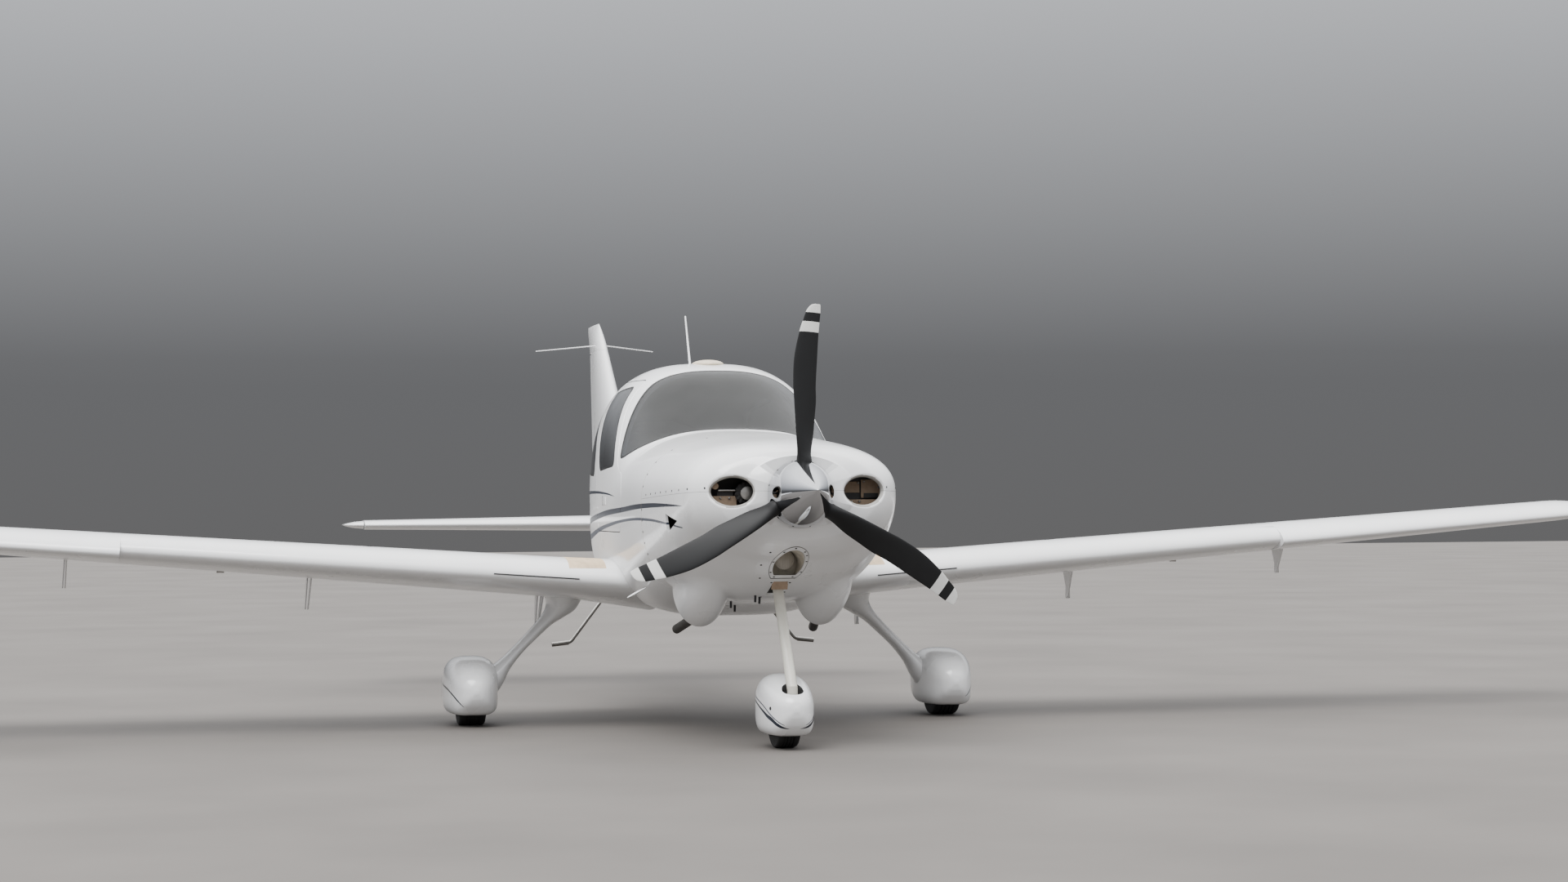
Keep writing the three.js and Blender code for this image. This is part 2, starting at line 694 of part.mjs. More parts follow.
const wingRows = (from, to) => {
  const inner = WING.filter((row) => row[0] > from + 1 && row[0] < to - 1);
  return [wingRow(from), ...inner, wingRow(to)];
};
// Straight between the rows, so that the taper has no waves in it
function wingRow(u) {
  const i = Math.min(WING.findIndex((row) => row[0] >= u - 1e-6), WING.length - 1);
  if (i <= 0) return WING[0].map((v, key) => (key ? v : u));
  const t = (u - WING[i - 1][0]) / (WING[i][0] - WING[i - 1][0]);
  return WING[i].map((v, key) => WING[i - 1][key] * (1 - t) + v * t);
}
const FLAP = { from: 130, to: 3240, station: 2960, hingeStation: 3000, hinge: -341, hingeRise: 0.0293 };
const AILERON = { from: 3270, to: 4800, station: 2872, clearance: 6 };
const BRACKETS = [340, 1750, 3190];
const BRACKET = { half: 4, lead: 150, foot: 26, pin: 7, armShift: 15 };
const SIDE_GAP = 8;
const LAMP_REACH = 170; // how far aft of the leading edge the navigation light reaches
// The wing's upper skin reaches over the flap's nose
const LIP = { rear: 3004, thickness: 5, slot: 7, depth: 17 };
const TIE_DOWN = { u: 2300, station: 2480, radius: 22, proud: 8 };

// The space along the upper skin between two stations, from above it to a depth below it
function upperStrip(from, to, front, rear, depth) {
  const rings = wingRows(from, to).map((row) => {
    const top = (station) => height(row, (station - row[1]) / row[2], 1).w;
    const corner = (station, rise) => new THREE.Vector3(row[0], station, top(station) + rise);
    return [corner(front, 40), corner(rear, 40), corner(rear, -depth), corner(front, -depth)];
  });
  return loft(rings);
}

// The point of the wing's lower skin at a place along the span and a station
function wingUnderside(u, station) {
  const row = wingRow(u);
  return new THREE.Vector3(u, station, height(row, (station - row[1]) / row[2], -1).w).applyMatrix4(wingTurn);
}

// A round pad with a level lower face that stands a little proud of the skin
const pad = ({ x, y, z }, radius, proud) => rod([x, y, z - proud], [x, y, z + 30], radius);

function flapRing(row) {
  const share = (FLAP.station - row[1]) / row[2];
  const steps = [0, 0.12, 0.3, 0.6, 1].map((f) => share + f * (1 - share));
  const point = ({ s, w }) => new THREE.Vector3(row[0], s, w);
  const top = steps.map((f) => point(height(row, f, 1)));
  const bottom = steps.map((f) => point(height(row, f, -1)));
  // The nose is rounded: its upper corner is drawn down and its face leans back a little
  top[0].z = top[0].z * 0.45 + bottom[0].z * 0.55;
  const lip = top[0].clone().lerp(bottom[0], 0.55);
  lip.y -= 12;
  return [...top.reverse(), lip, ...bottom];
}

function bracketBlade(u, points) {
  const shape = new THREE.Shape(points.map(([s, w]) => new THREE.Vector2(s, w)));
  const geometry = new THREE.ExtrudeGeometry(shape, { depth: 2 * BRACKET.half, bevelEnabled: false });
  geometry.applyMatrix4(ACROSS);
  geometry.translate(u - BRACKET.half, 0, 0);
  return solid(geometry);
}

// The flap's hinge is a straight line below the wing, through the foot of every bracket
const hingeFoot = (u) => FLAP.hinge + FLAP.hingeRise * u;

// Past the aileron the section rolls off in a quarter round
function tipRing(t) {
  const base = wingRow(TIP_START);
  const shrink = Math.sqrt(1 - (t * 0.985) ** 2);
  const ease = 1 - 0.42 * (1 - shrink) ** 1.2;
  const lead = base[1] + base[2] * 0.62 * (1 - ease) + 60 * t;
  const [, , chord, upper, lower, pitch, forward, droop] = base;
  const u = TIP_START + (WING_TIP - TIP_START) * t;
  return foilRing([u, lead, chord * ease, upper * shrink, lower * shrink, pitch, forward * shrink, droop * shrink]);
}

function makeWing() {
  const inner = wingRows(WING[0][0], TIP_START).map((row) => foilRing(row));
  const whole = loft([...inner, ...[0.45, 0.75, 0.93, 1].map(tipRing)]);
  const lampFrom = TIP_START + (WING_TIP - TIP_START) * 0.55;
  const lampRoom = (gap) =>
    box([lampFrom + gap, 1900, -200], [WING_TIP + 50, wingRow(TIP_START)[1] + LAMP_REACH - gap, 200]);
  placePair("navigation_light", toWing(whole.intersect(lampRoom(GAP))), FINISH.red, FINISH.green);
  const flapBay = box([FLAP.from - SIDE_GAP, FLAP.station - 20, -600], [FLAP.to + SIDE_GAP, 4200, 600]);
  const lip = whole.intersect(
    upperStrip(FLAP.from - SIDE_GAP - 1, FLAP.to + SIDE_GAP + 1, FLAP.station - 40, LIP.rear, LIP.thickness),
  );
  const aileronBay = surfaceBay(
    [wingRow(AILERON.from - SIDE_GAP), wingRow(AILERON.to + SIDE_GAP)],
    AILERON.station,
    AILERON.from - SIDE_GAP,
    AILERON.to + SIDE_GAP,
    AILERON.clearance,
  );
  const blades = BRACKETS.map((u) => {
    const foot = hingeFoot(u);
    const s = FLAP.station;
    const row = wingRow(u);
    const under = (station) => height(row, (station - row[1]) / row[2], -1).w + 12;
    const hinge = FLAP.hingeStation;
    const front = s - BRACKET.lead;
    const blade = bracketBlade(u, [
      [front, under(front)],
      [hinge - BRACKET.foot, foot - 6],
      [hinge - 8, foot - 14],
      [hinge + 12, foot - 10],
      [hinge + 14, foot + 12],
      [s - 24, under(s - 24)],
    ]);
    const pin = rod([u, hinge, foot], [u + BRACKET.armShift + 10, hinge, foot], BRACKET.pin, BRACKET.pin, 10);
    return join(blade, pin);
  });
  const tieDown = pad(wingUnderside(TIE_DOWN.u, TIE_DOWN.station), TIE_DOWN.radius, TIE_DOWN.proud);
  const panels = join(cut(whole, flapBay, aileronBay, lampRoom(0)), lip, ...blades);
  const wing = cut(join(toWing(panels), tieDown), wholeBody);
  placePair("wing", largest(wing), FINISH.white);

  const flapRows = wingRows(FLAP.from, FLAP.to);
  const lipRoom = upperStrip(FLAP.from - 5, FLAP.to + 5, FLAP.station - 60, LIP.rear + LIP.slot, LIP.depth);
  const panel = cut(loft(flapRows.map(flapRing)), lipRoom);
  const arms = BRACKETS.map((u) => {
    const foot = hingeFoot(u);
    const s = FLAP.station;
    const hinge = FLAP.hingeStation;
    const row = wingRow(u);
    const under = (station) => height(row, (station - row[1]) / row[2], -1).w + 8;
    const arm = bracketBlade(u + BRACKET.armShift, [
      [s + 14, under(s + 14)],
      [hinge - 16, foot + 10],
      [hinge - 14, foot - 12],
      [hinge + 12, foot - 14],
      [hinge + 22, foot],
      [s + 130, under(s + 130)],
    ]);
    const eye = rod([u, hinge, foot], [u + 60, hinge, foot], BRACKET.pin + 1.5, BRACKET.pin + 1.5, 10);
    return cut(arm, eye);
  });
  placePair("flap", toWing(join(panel, ...arms)), FINISH.white);

  const aileronRows = wingRows(AILERON.from, AILERON.to);
  const aileron = loft(aileronRows.map((row) => surfaceRing(row, AILERON.station)));
  placePair("aileron", toWing(aileron), FINISH.white);
}

// Tailplane and elevators: level, with a straight hinge line
const TAIL_HEIGHT = 1182;
const TAILPLANE = [
  // u, leading edge, chord, upper, lower
  [60, 6030, 930, 0.062, 0.062, 0],
  [1830, 6270, 610, 0.054, 0.054, 0],
];
const ELEVATOR = { from: 176, to: 1836, station: 6655, clearance: 6 };
const HORN = { from: 1840, to: TAIL_SPAN / 2 };
const toTail = (body) => body.translate([0, 0, TAIL_HEIGHT]);
const tailRow = (u) => {
  const t = (u - TAILPLANE[0][0]) / (TAILPLANE[1][0] - TAILPLANE[0][0]);
  return TAILPLANE[0].map((v, key) => v * (1 - t) + TAILPLANE[1][key] * t);
};

function makeTailplane() {
  const whole = loft([tailRow(TAILPLANE[0][0]), tailRow(HORN.from - SIDE_GAP)].map((row) => foilRing(row)));
  const bay = surfaceBay(
    [tailRow(0), tailRow(HORN.to)],
    ELEVATOR.station,
    0,
    HORN.to,
    ELEVATOR.clearance,
  );
  placePair("tailplane", largest(cut(toTail(cut(whole, bay)), wholeBody)), FINISH.white);
  const panelRows = [tailRow(ELEVATOR.from), tailRow(HORN.from + 1)];
  const panel = loft(panelRows.map((row) => surfaceRing(row, ELEVATOR.station)));
  // The balance horn reaches forward outside the tailplane's end and tapers to a point at the tip
  const hornRow = (u, lead, chord, thin) => foilRing([u, lead, chord, 0.05 * thin, 0.05 * thin, 0]);
  const base = tailRow(HORN.from);
  const rear = base[1] + base[2];
  const horn = loft([
    hornRow(HORN.from, base[1] + 60, rear - base[1] - 60, 1),
    hornRow(HORN.from + 60, base[1] + 95, rear - base[1] - 98, 0.85),
    hornRow(HORN.to - 18, base[1] + 170, rear - base[1] - 185, 0.55),
    hornRow(HORN.to, base[1] + 240, rear - base[1] - 280, 0.3),
  ]);
  placePair("elevator", toTail(join(panel, horn)), FINISH.white);
}

// Fin and rudder: sections lie flat at their heights, and the hinge line leans aft
const FIN = [
  // height, leading edge, trailing edge, half thickness as a share of the chord
  [1380, 5560, 7330, 0.05],
  [1640, 5640, 7362, 0.05],
  [1760, 5830, 7378, 0.052],
  [1900, 6010, 7396, 0.055],
  [2490, 6760, 7474, 0.062],
];
const FIN_TOP = 2700;
const RUDDER_LOW = { z: 1010, station: 7012, rear: 7290 };
const RUDDER_HIGH = { z: 2478, station: 7196, rear: 7472 };
const RUDDER_CLEARANCE = 7;
const finRow = (z) => {
  const lead = column(FIN, 1, z);
  const thin = column(FIN, 3, z);
  return [z, lead, column(FIN, 2, z) - lead, thin, thin, 0];
};
const hingeStation = (z) => {
  const share = (z - RUDDER_LOW.z) / (RUDDER_HIGH.z - RUDDER_LOW.z);
  return RUDDER_LOW.station + share * (RUDDER_HIGH.station - RUDDER_LOW.station);
};
// A section's u, s and w become height, station and width
const UPRIGHT = new THREE.Matrix4().makeBasis(
  new THREE.Vector3(0, 0, 1),
  new THREE.Vector3(0, 1, 0),
  new THREE.Vector3(-1, 0, 0),
);
const upright = (body) => body.transform(UPRIGHT.elements.slice());

function rudderRing(z, clearance, rear) {
  const row = finRow(Math.max(z, FIN[0][0]));
  const station = hingeStation(z);
  const radius = Math.min(hingeAt(row, station).radius, 62) * (z < 1200 ? 0.86 : 1) + clearance;
  const nose = Array.from({ length: 9 }, (_, k) => {
    const angle = Math.PI / 2 + (Math.PI * k) / 8;
    return new THREE.Vector3(z, station + radius * Math.cos(angle), radius * Math.sin(angle));
  });
  const edge = 3 + clearance;
  const middle = (station + rear) / 2;
  const waist = radius * 0.56;
  return [
    ...nose,
    new THREE.Vector3(z, middle, -waist),
    new THREE.Vector3(z, rear, -edge),
    new THREE.Vector3(z, rear, edge),
    new THREE.Vector3(z, middle, waist),
  ];
}

function makeFin() {
  const heights = [1380, 1640, 1700, 1760, 1830, 1920, 2490];
  const whole = upright(loft(heights.map((z) => foilRing(finRow(z)))));
  const bayRings = [RUDDER_LOW.z - 200, RUDDER_HIGH.z + 14].map((z) => {
    const station = hingeStation(z);
    const radius = hingeAt(finRow(Math.max(z, FIN[0][0])), station).radius + RUDDER_CLEARANCE;
    const arc = Array.from({ length: 9 }, (_, k) => {
      const angle = Math.PI / 2 + (Math.PI * k) / 8;
      return new THREE.Vector3(z, station + radius * Math.cos(angle), radius * Math.sin(angle));
    });
    return [...arc, new THREE.Vector3(z, 8200, -radius - 40), new THREE.Vector3(z, 8200, radius + 40)];
  });
  const bay = upright(loft(bayRings));
  const whiskers = [-1, 1].map((side) => rod([0, 6930, 2474], [side * 455, 7265, 2500], 4.5, 3.5, 8));
  place("fin", join(largest(cut(whole, bay, wholeBody)), ...whiskers), FINISH.white);
  const top = finRow(2490);
  const capRows = [0, 0.35, 0.65, 0.87, 1].map((t) => {
    const shrink = Math.sqrt(1 - (t * 0.97) ** 2);
    const lead = top[1] + (FIN_TOP - 2490) * t * 1.15 + 30 * t * t;
    const rear = top[1] + top[2] + (LENGTH - SPINNER_LENGTH - top[1] - top[2]) * Math.min(1, t * 1.25);
    return foilRing([2491 + (FIN_TOP - 2492) * t, lead, rear - lead, top[3] * shrink, top[4] * shrink, 0]);
  });
  place("fin_cap", upright(loft(capRows)), FINISH.white);
  const rudder = loft([
    rudderRing(RUDDER_LOW.z, 0, RUDDER_LOW.rear),
    rudderRing(1200, 0, RUDDER_LOW.rear + (190 / 1468) * 182),
    rudderRing(RUDDER_HIGH.z, 0, RUDDER_HIGH.rear),
  ]);
  place("rudder", upright(rudder), FINISH.white);
}

// Main gear: a composite leg from the wing's root to a faired wheel
const WHEEL_X = TRACK / 2;
const MAIN_TYRE = { radius: 190, halfWidth: 80, rim: 78, well: 203, wellHalf: 96 };
const LEG = [
  // x, station, z, half length along the aircraft, half thickness
  [895, 2640, 830, 225, 130],
  [920, 2640, 735, 190, 105],
  [952, 2638, 680, 150, 66],
  [1000, 2634, 628, 118, 42],
  [1080, 2630, 548, 96, 34],
  [1180, 2626, 448, 92, 32],
  [1262, 2622, 360, 104, 42],
  [1320, 2620, 290, 120, 62],
  [1362, 2620, 232, 120, 66],
  [1402, 2620, 166, 104, 60],
];
const PANT = [
  // station from the axle, half width, middle, top, bottom, exponent
  [-345, 14, 214, 226, 202, 2],
  [-335, 46, 216, 262, 168, 2.1],
  [-305, 84, 218, 306, 128, 2.3],
  [-240, 122, 222, 350, 92, 2.6],
  [-130, 150, 226, 386, 72, 2.9],
  [0, 163, 229, 402, 66, 3],
  [130, 156, 232, 398, 68, 3],
  [290, 124, 239, 370, 96, 2.7],
  [440, 80, 249, 328, 150, 2.4],
  [570, 36, 258, 286, 218, 2.1],
  [620, 8, 262, 270, 254, 2],
];

function pantLoft(table, x, station, grow, scale = 1) {
  const count = 20;
  return loft(
    table.map(([ahead, half, middle, top, bottom, power]) =>
      Array.from({ length: count }, (_, k) => {
        const turn = (2 * Math.PI * k) / count;
        const high = Math.sin(turn) >= 0 ? top - middle : middle - bottom;
        const angle = Math.atan2(Math.sin(turn) * high, Math.cos(turn) * half);
        const radius = superellipse(half, high, power, angle) + grow;
        return new THREE.Vector3(
          x + radius * Math.cos(angle) * scale,
          station + ahead * scale,
          (middle + radius * Math.sin(angle)) * scale,
        );
      }),
    ),
  );
}

const wheelLathe = (points, x, station, z) => {
  const geometry = new THREE.LatheGeometry(points.map(([r, w]) => new THREE.Vector2(r, w)), 22);
  geometry.rotateZ(-Math.PI / 2);
  geometry.translate(x, station, z);
  return solid(geometry);
};

function tyreBody({ radius, halfWidth, rim }, x, station) {
  const crown = halfWidth * 0.62;
  return wheelLathe(
    [
      [rim, -halfWidth * 0.74],
      [(rim + radius) / 2, -halfWidth],
      [radius - 14, -halfWidth * 0.88],
      [radius, -crown * 0.6],
      [radius, crown * 0.6],
      [radius - 14, halfWidth * 0.88],
      [(rim + radius) / 2, halfWidth],
      [rim, halfWidth * 0.74],
      [rim, -halfWidth * 0.74],
    ],
    x,
    station,
    radius,
  );
}

function rimBody({ radius, halfWidth, rim }, x, station, bore) {
  const edge = halfWidth * 0.7;
  return wheelLathe(
    [
      [bore, -edge * 0.8],
      [bore + 18, -edge * 0.8],
      [bore + 20, -15],
      [rim - 16, -15],
      [rim - GAP, -edge],
      [rim - GAP, edge],
      [rim - 16, 15],
      [bore + 20, 15],
      [bore + 18, edge * 0.8],
      [bore, edge * 0.8],
      [bore, -edge * 0.8],
    ],
    x,
    station,
    radius,
  );
}

const AXLE_RADIUS = 18;

function legLoft(grow) {
  const rings = LEG.map(([x, s, z, half, thick], i) => {
    const [x0, , z0] = LEG[Math.max(i - 1, 0)];
    const [x1, , z1] = LEG[Math.min(i + 1, LEG.length - 1)];
    const long = Math.hypot(x1 - x0, z1 - z0);
    const across = [-(z1 - z0) / long, (x1 - x0) / long]; // across the leg, seen from the front
    const longer = i === LEG.length - 1 ? grow : 0;
    const count = 14;
    return Array.from({ length: count }, (_, k) => {
      const turn = (2 * Math.PI * k) / count;
      const out = (thick + grow) * Math.sin(turn);
      const along = (half + grow) * Math.cos(turn) * (Math.cos(turn) > 0 ? 1.15 : 0.85);
      return new THREE.Vector3(x + across[0] * out + longer, s + along, z + across[1] * out - longer);
    });
  });
  return loft(rings);
}

function makeMainGear() {
  const pantOuter = pantLoft(PANT, WHEEL_X, MAIN_AXLE_STATION, 0);
  const { radius, well, wellHalf } = MAIN_TYRE;
  const onAxle = (x) => [x, MAIN_AXLE_STATION, radius];
  const wheelRoom = join(
    rod(onAxle(WHEEL_X - wellHalf), onAxle(WHEEL_X + wellHalf), well, well, 28),
    box(
      [WHEEL_X - wellHalf, MAIN_AXLE_STATION - well, 0],
      [WHEEL_X + wellHalf, MAIN_AXLE_STATION + well, radius],
    ),
  );
  const axleHole = rod(onAxle(WHEEL_X - wellHalf - 25), onAxle(WHEEL_X), AXLE_RADIUS + 2);
  placePair("wheel_pant", largest(cut(pantOuter, wheelRoom, legLoft(GAP), axleHole)), FINISH.white);

  const wingSolid = toWing(loft(wingRows(WING[0][0], TIP_START).map((row) => foilRing(row, -GAP))));
  const above = box([600, 2000, 830], [1400, 3200, 1400]);
  const leg = cut(legLoft(0), wingSolid, above, wholeBody, wheelRoom.translate([-GAP, 0, 0]));
  const axle = join(
    rod(onAxle(WHEEL_X - wellHalf - 20), onAxle(WHEEL_X + 62), AXLE_RADIUS),
    rod(onAxle(WHEEL_X - wellHalf + 2), onAxle(WHEEL_X - wellHalf + 10), 46),
  );
  placePair("gear_leg", join(largest(leg), axle), FINISH.white);
  placePair("main_tyre", tyreBody(MAIN_TYRE, WHEEL_X, MAIN_AXLE_STATION), FINISH.rubber);
  placePair("main_wheel", rimBody(MAIN_TYRE, WHEEL_X, MAIN_AXLE_STATION, AXLE_RADIUS + 2), FINISH.alloy);
}

// Nose gear: a raked tube down to a castoring fork, whose wheel trails behind the pivot
const NOSE_TYRE = { radius: 178, halfWidth: 62, rim: 64, well: 190, wellHalf: 96 };
const PIVOT_STATION = 288;
const LEG_FOOT = 262;
const NOSE_LEG = {
  radius: 29,
  foot: [0, PIVOT_STATION, LEG_FOOT + 62],
  knee: [0, 792, 1085],
  end: [0, FIREWALL_STATION + 5, 1085],
};
const NOSE_PANT = [
  // station from the axle, half width, middle, top, bottom, exponent
  [-312, 14, 222, 236, 210, 2],
  [-303, 44, 222, 268, 176, 2.1],
  [-275, 80, 221, 300, 138, 2.3],
  [-212, 114, 220, 334, 100, 2.5],
  [-110, 136, 220, 368, 78, 2.7],
  [0, 143, 222, 388, 72, 2.8],
  [120, 134, 226, 384, 74, 2.8],
  [250, 104, 232, 352, 106, 2.5],
  [380, 60, 242, 304, 170, 2.3],
  [470, 20, 250, 268, 232, 2],
  [485, 7, 252, 258, 246, 2],
];

function makeNoseGear() {
  const { radius, foot, knee, end } = NOSE_LEG;
  const housing = rod([0, PIVOT_STATION, LEG_FOOT], [0, PIVOT_STATION, LEG_FOOT + 84], 30, 27, 16);
  const leg = join(housing, bent([foot, knee, end], radius));
  const socket = rod([0, PIVOT_STATION, LEG_FOOT - 10], [0, PIVOT_STATION, LEG_FOOT + 34], 14);
  place("nose_gear_leg", cut(leg, socket), FINISH.white);

  const { radius: tyre, wellHalf, well } = NOSE_TYRE;
  const axleRoom = rod([-wellHalf, NOSE_AXLE_STATION, tyre], [wellHalf, NOSE_AXLE_STATION, tyre], well, well, 28);
  const room = join(
    axleRoom,
    box([-wellHalf, NOSE_AXLE_STATION - well, 0], [wellHalf, NOSE_AXLE_STATION + well, tyre]),
    box([-wellHalf + 2, PIVOT_STATION - 18, 150], [wellHalf - 2, NOSE_AXLE_STATION - 60, LEG_FOOT + 6]),
    rod([0, PIVOT_STATION, 150], [0, PIVOT_STATION, LEG_FOOT + 60], 60, 60, 20),
    rod([0, PIVOT_STATION, LEG_FOOT + 40], [0, PIVOT_STATION, 500], 72, 72, 20),
  );
  place("nose_pant", largest(cut(pantLoft(NOSE_PANT, 0, NOSE_AXLE_STATION, 0), room)), FINISH.white);

  // Fork: a head under the leg's foot, and an arm down each side of the tyre to the axle
  const armX = wellHalf - 16;
  const head = rod([0, PIVOT_STATION, LEG_FOOT - 38], [0, PIVOT_STATION, LEG_FOOT - 6], 34, 34, 16);
  const pin = rod([0, PIVOT_STATION, LEG_FOOT - 20], [0, PIVOT_STATION, LEG_FOOT + 30], 12, 12, 12);
  const yoke = box([-armX - 6, PIVOT_STATION - 14, LEG_FOOT - 36], [armX + 6, PIVOT_STATION + 14, LEG_FOOT - 10]);
  const arms = [-1, 1].map((side) =>
    join(
      rod([side * armX, PIVOT_STATION, LEG_FOOT - 23], [side * armX, NOSE_AXLE_STATION, tyre], 11, 11, 8),
      rod([side * (armX - 8), NOSE_AXLE_STATION, tyre], [side * (armX + 8), NOSE_AXLE_STATION, tyre], 24, 24, 14),
    ),
  );
  const axle = rod([-armX, NOSE_AXLE_STATION, tyre], [armX, NOSE_AXLE_STATION, tyre], 14, 14, 16);
  place("nose_fork", join(head, pin, yoke, ...arms, axle), FINISH.steel);
  place("nose_tyre", tyreBody(NOSE_TYRE, 0, NOSE_AXLE_STATION), FINISH.rubber);
  place("nose_wheel", rimBody(NOSE_TYRE, 0, NOSE_AXLE_STATION, 16), FINISH.alloy);
}

// Steps and antennas stand on the skin, cut with it
const STEP_PATH = [
  [455, 3545, 800],
  [735, 3505, 443],
  [855, 3505, 430],
];

function makeFittings() {
  placePair("boarding_step", largest(cut(bent(STEP_PATH, 11, [0, 1, 0], 8), wholeBody)), FINISH.steel);
  const mast = rod([0, 3180, 2100], [-10, 3330, 2520], 8, 5, 10);
  const foot = ellipsoid([0, 3185, 2152], [30, 60, 22]);
  place("radio_antenna", largest(cut(join(mast, foot), wholeBody)), FINISH.white);
  const puck = ellipsoid([0, 2640, 2176], [98, 150, 30]);
  place("gps_antenna", largest(cut(puck, wholeBody)), FINISH.white);
}

// Cabin: floor, bulkhead, instrument panel with its coaming, and the seats, which stand on the floor
const FLOOR = { low: 830, high: 860 };
const BULKHEAD = 4380;

function seatBody(x0, x1, front, seatTop, backTop, backStation) {
  const cushion = sideCutter(
    [
      [front, FLOOR.high + GAP],
      [front, seatTop - 40],
      [front + 60, seatTop],
      [backStation - 20, seatTop - 50],
      [backStation - 20, FLOOR.high + GAP],
    ],
    30,
    x0,
    x1,
  );
  const back = sideCutter(
    [
      [backStation - 70, seatTop - 80],
      [backStation + 90, backTop],
      [backStation + 180, backTop],
      [backStation + 60, seatTop - 120],
    ],
    30,
    x0,
    x1,
  );
  return join(cushion, back);
}

function makeCabin() {
  const inside = (body, room = lining) => largest(body.intersect(room));
  const floor = join(
    box([-OUTBOARD, FIREWALL_STATION + 40, FLOOR.low], [OUTBOARD, BULKHEAD + 5, FLOOR.high]),
    box([-OUTBOARD, BULKHEAD, 0], [OUTBOARD, BULKHEAD + 18, 2300]),
  );
  place("cabin_floor", inside(floor), FINISH.carpet);
  const coaming = sideCutter(
    [
      [1560, 1640],
      [1590, 1668],
      [1960, 1640],
      [1985, 1590],
      [1935, 1560],
      [1895, 1210],
      [1840, 1210],
      [1800, 1560],
    ],
    24,
    -OUTBOARD,
    OUTBOARD,
  );
  place("instrument_panel", inside(coaming, behindDoors), FINISH.panel);
  const headrest = (x, station, z) => sideCutter(
    [
      [station, z],
      [station + 20, z + 190],
      [station + 100, z + 190],
      [station + 85, z - 30],
    ],
    30,
    x - 130,
    x + 130,
  );
  const front = join(seatBody(65, 545, 2230, 1130, 1600, 2700), headrest(305, 2815, 1570));
  placePair("front_seat", front, FINISH.leather);
  const rear = join(
    seatBody(-470, 470, 3230, 1140, 1560, 3600),
    headrest(250, 3700, 1530),
    headrest(-250, 3700, 1530),
  );
  place("rear_seat", inside(rear), FINISH.leather);
}

makeFuselage();
makeCowling();
makeEngine();
makePropeller();
makeWing();
makeTailplane();
makeFin();
makeMainGear();
makeNoseGear();
makeFittings();
makeCabin();

export default aircraft;
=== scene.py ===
import math

import bmesh
import bpy
import numpy as np
from mathutils import Matrix, Vector


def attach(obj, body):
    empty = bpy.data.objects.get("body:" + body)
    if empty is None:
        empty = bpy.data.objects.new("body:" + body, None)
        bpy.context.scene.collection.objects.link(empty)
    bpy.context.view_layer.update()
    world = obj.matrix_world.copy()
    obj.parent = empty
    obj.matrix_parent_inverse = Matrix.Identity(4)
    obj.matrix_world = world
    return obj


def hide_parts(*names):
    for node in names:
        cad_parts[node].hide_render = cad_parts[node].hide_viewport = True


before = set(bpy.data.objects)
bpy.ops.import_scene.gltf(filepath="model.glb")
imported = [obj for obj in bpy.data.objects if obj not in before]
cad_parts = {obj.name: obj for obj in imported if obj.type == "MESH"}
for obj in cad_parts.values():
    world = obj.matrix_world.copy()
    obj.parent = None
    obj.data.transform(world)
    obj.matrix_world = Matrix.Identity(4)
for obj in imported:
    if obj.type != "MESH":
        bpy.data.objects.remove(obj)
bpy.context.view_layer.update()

# Camera
# A long lens at eye height, ahead of the nose and a little to starboard.
CAMERA_PLACE = Vector((-3.338, -18.362, 1.332))
CAMERA_YAW = 0.216
CAMERA_PITCH = -0.021
CAMERA_ROLL = -0.007
FOCAL_SHARE = 3525 / 1920
SENSOR = 36
FAR_CLIP = 200
flat = math.cos(CAMERA_PITCH)
forward = Vector((math.sin(CAMERA_YAW) * flat, math.cos(CAMERA_YAW) * flat, -math.sin(CAMERA_PITCH)))
level = forward.cross(Vector((0, 0, 1))).normalized()
above = level.cross(forward)
side = level * math.cos(CAMERA_ROLL) + above * math.sin(CAMERA_ROLL)
up = -level * math.sin(CAMERA_ROLL) + above * math.cos(CAMERA_ROLL)
camera = bpy.data.objects.new("camera", bpy.data.cameras.new("camera"))
camera.data.sensor_width = SENSOR
camera.data.lens = SENSOR * FOCAL_SHARE
camera.data.clip_end = FAR_CLIP
turn = Matrix((side, up, -forward)).transposed()
camera.matrix_world = Matrix.Translation(CAMERA_PLACE) @ turn.to_4x4()
bpy.context.scene.collection.objects.link(camera)
bpy.context.scene.camera = camera


# Studio
# A plain pale floor under a broad dome of soft light, brightest overhead, with one very wide lamp above.
def add_node(tree, kind, inputs=None, **settings):
    """Add a shader node. Each input is given a value, or is linked when it is given another node's output."""
    made = tree.nodes.new("ShaderNode" + kind)
    for key, value in settings.items():
        setattr(made, key, value)
    for key, value in (inputs or {}).items():
        if isinstance(value, bpy.types.NodeSocket):
            tree.links.new(value, made.inputs[key])
        else:
            made.inputs[key].default_value = value
    return made


def add_ramp(tree, value, stops):
    """A colour ramp over value. Stops are pairs of position and red, green and blue."""
    ramp = add_node(tree, "ValToRGB", {0: value})
    elements = ramp.color_ramp.elements
    while len(elements) < len(stops):
        elements.new(0.5)
    for element, (position, colour) in zip(elements, stops):
        element.position = position
        element.color = (*colour, 1)
    return ramp.outputs["Color"]


def object_place(tree):
    """The place on a piece, in metres from its origin."""
    return add_node(tree, "TexCoord").outputs["Object"]


def add_noise(tree, place, scale, detail):
    """A noise over a place, and its value."""
    return add_node(tree, "TexNoise", {"Vector": place, "Scale": scale, "Detail": detail}).outputs["Fac"]


def map_range(tree, value, low, high, to_low=0.0, to_high=1.0):
    """Carry a value from one range to another, held at the ends."""
    return add_node(tree, "MapRange", {0: value, 1: low, 2: high, 3: to_low, 4: to_high}).outputs[0]


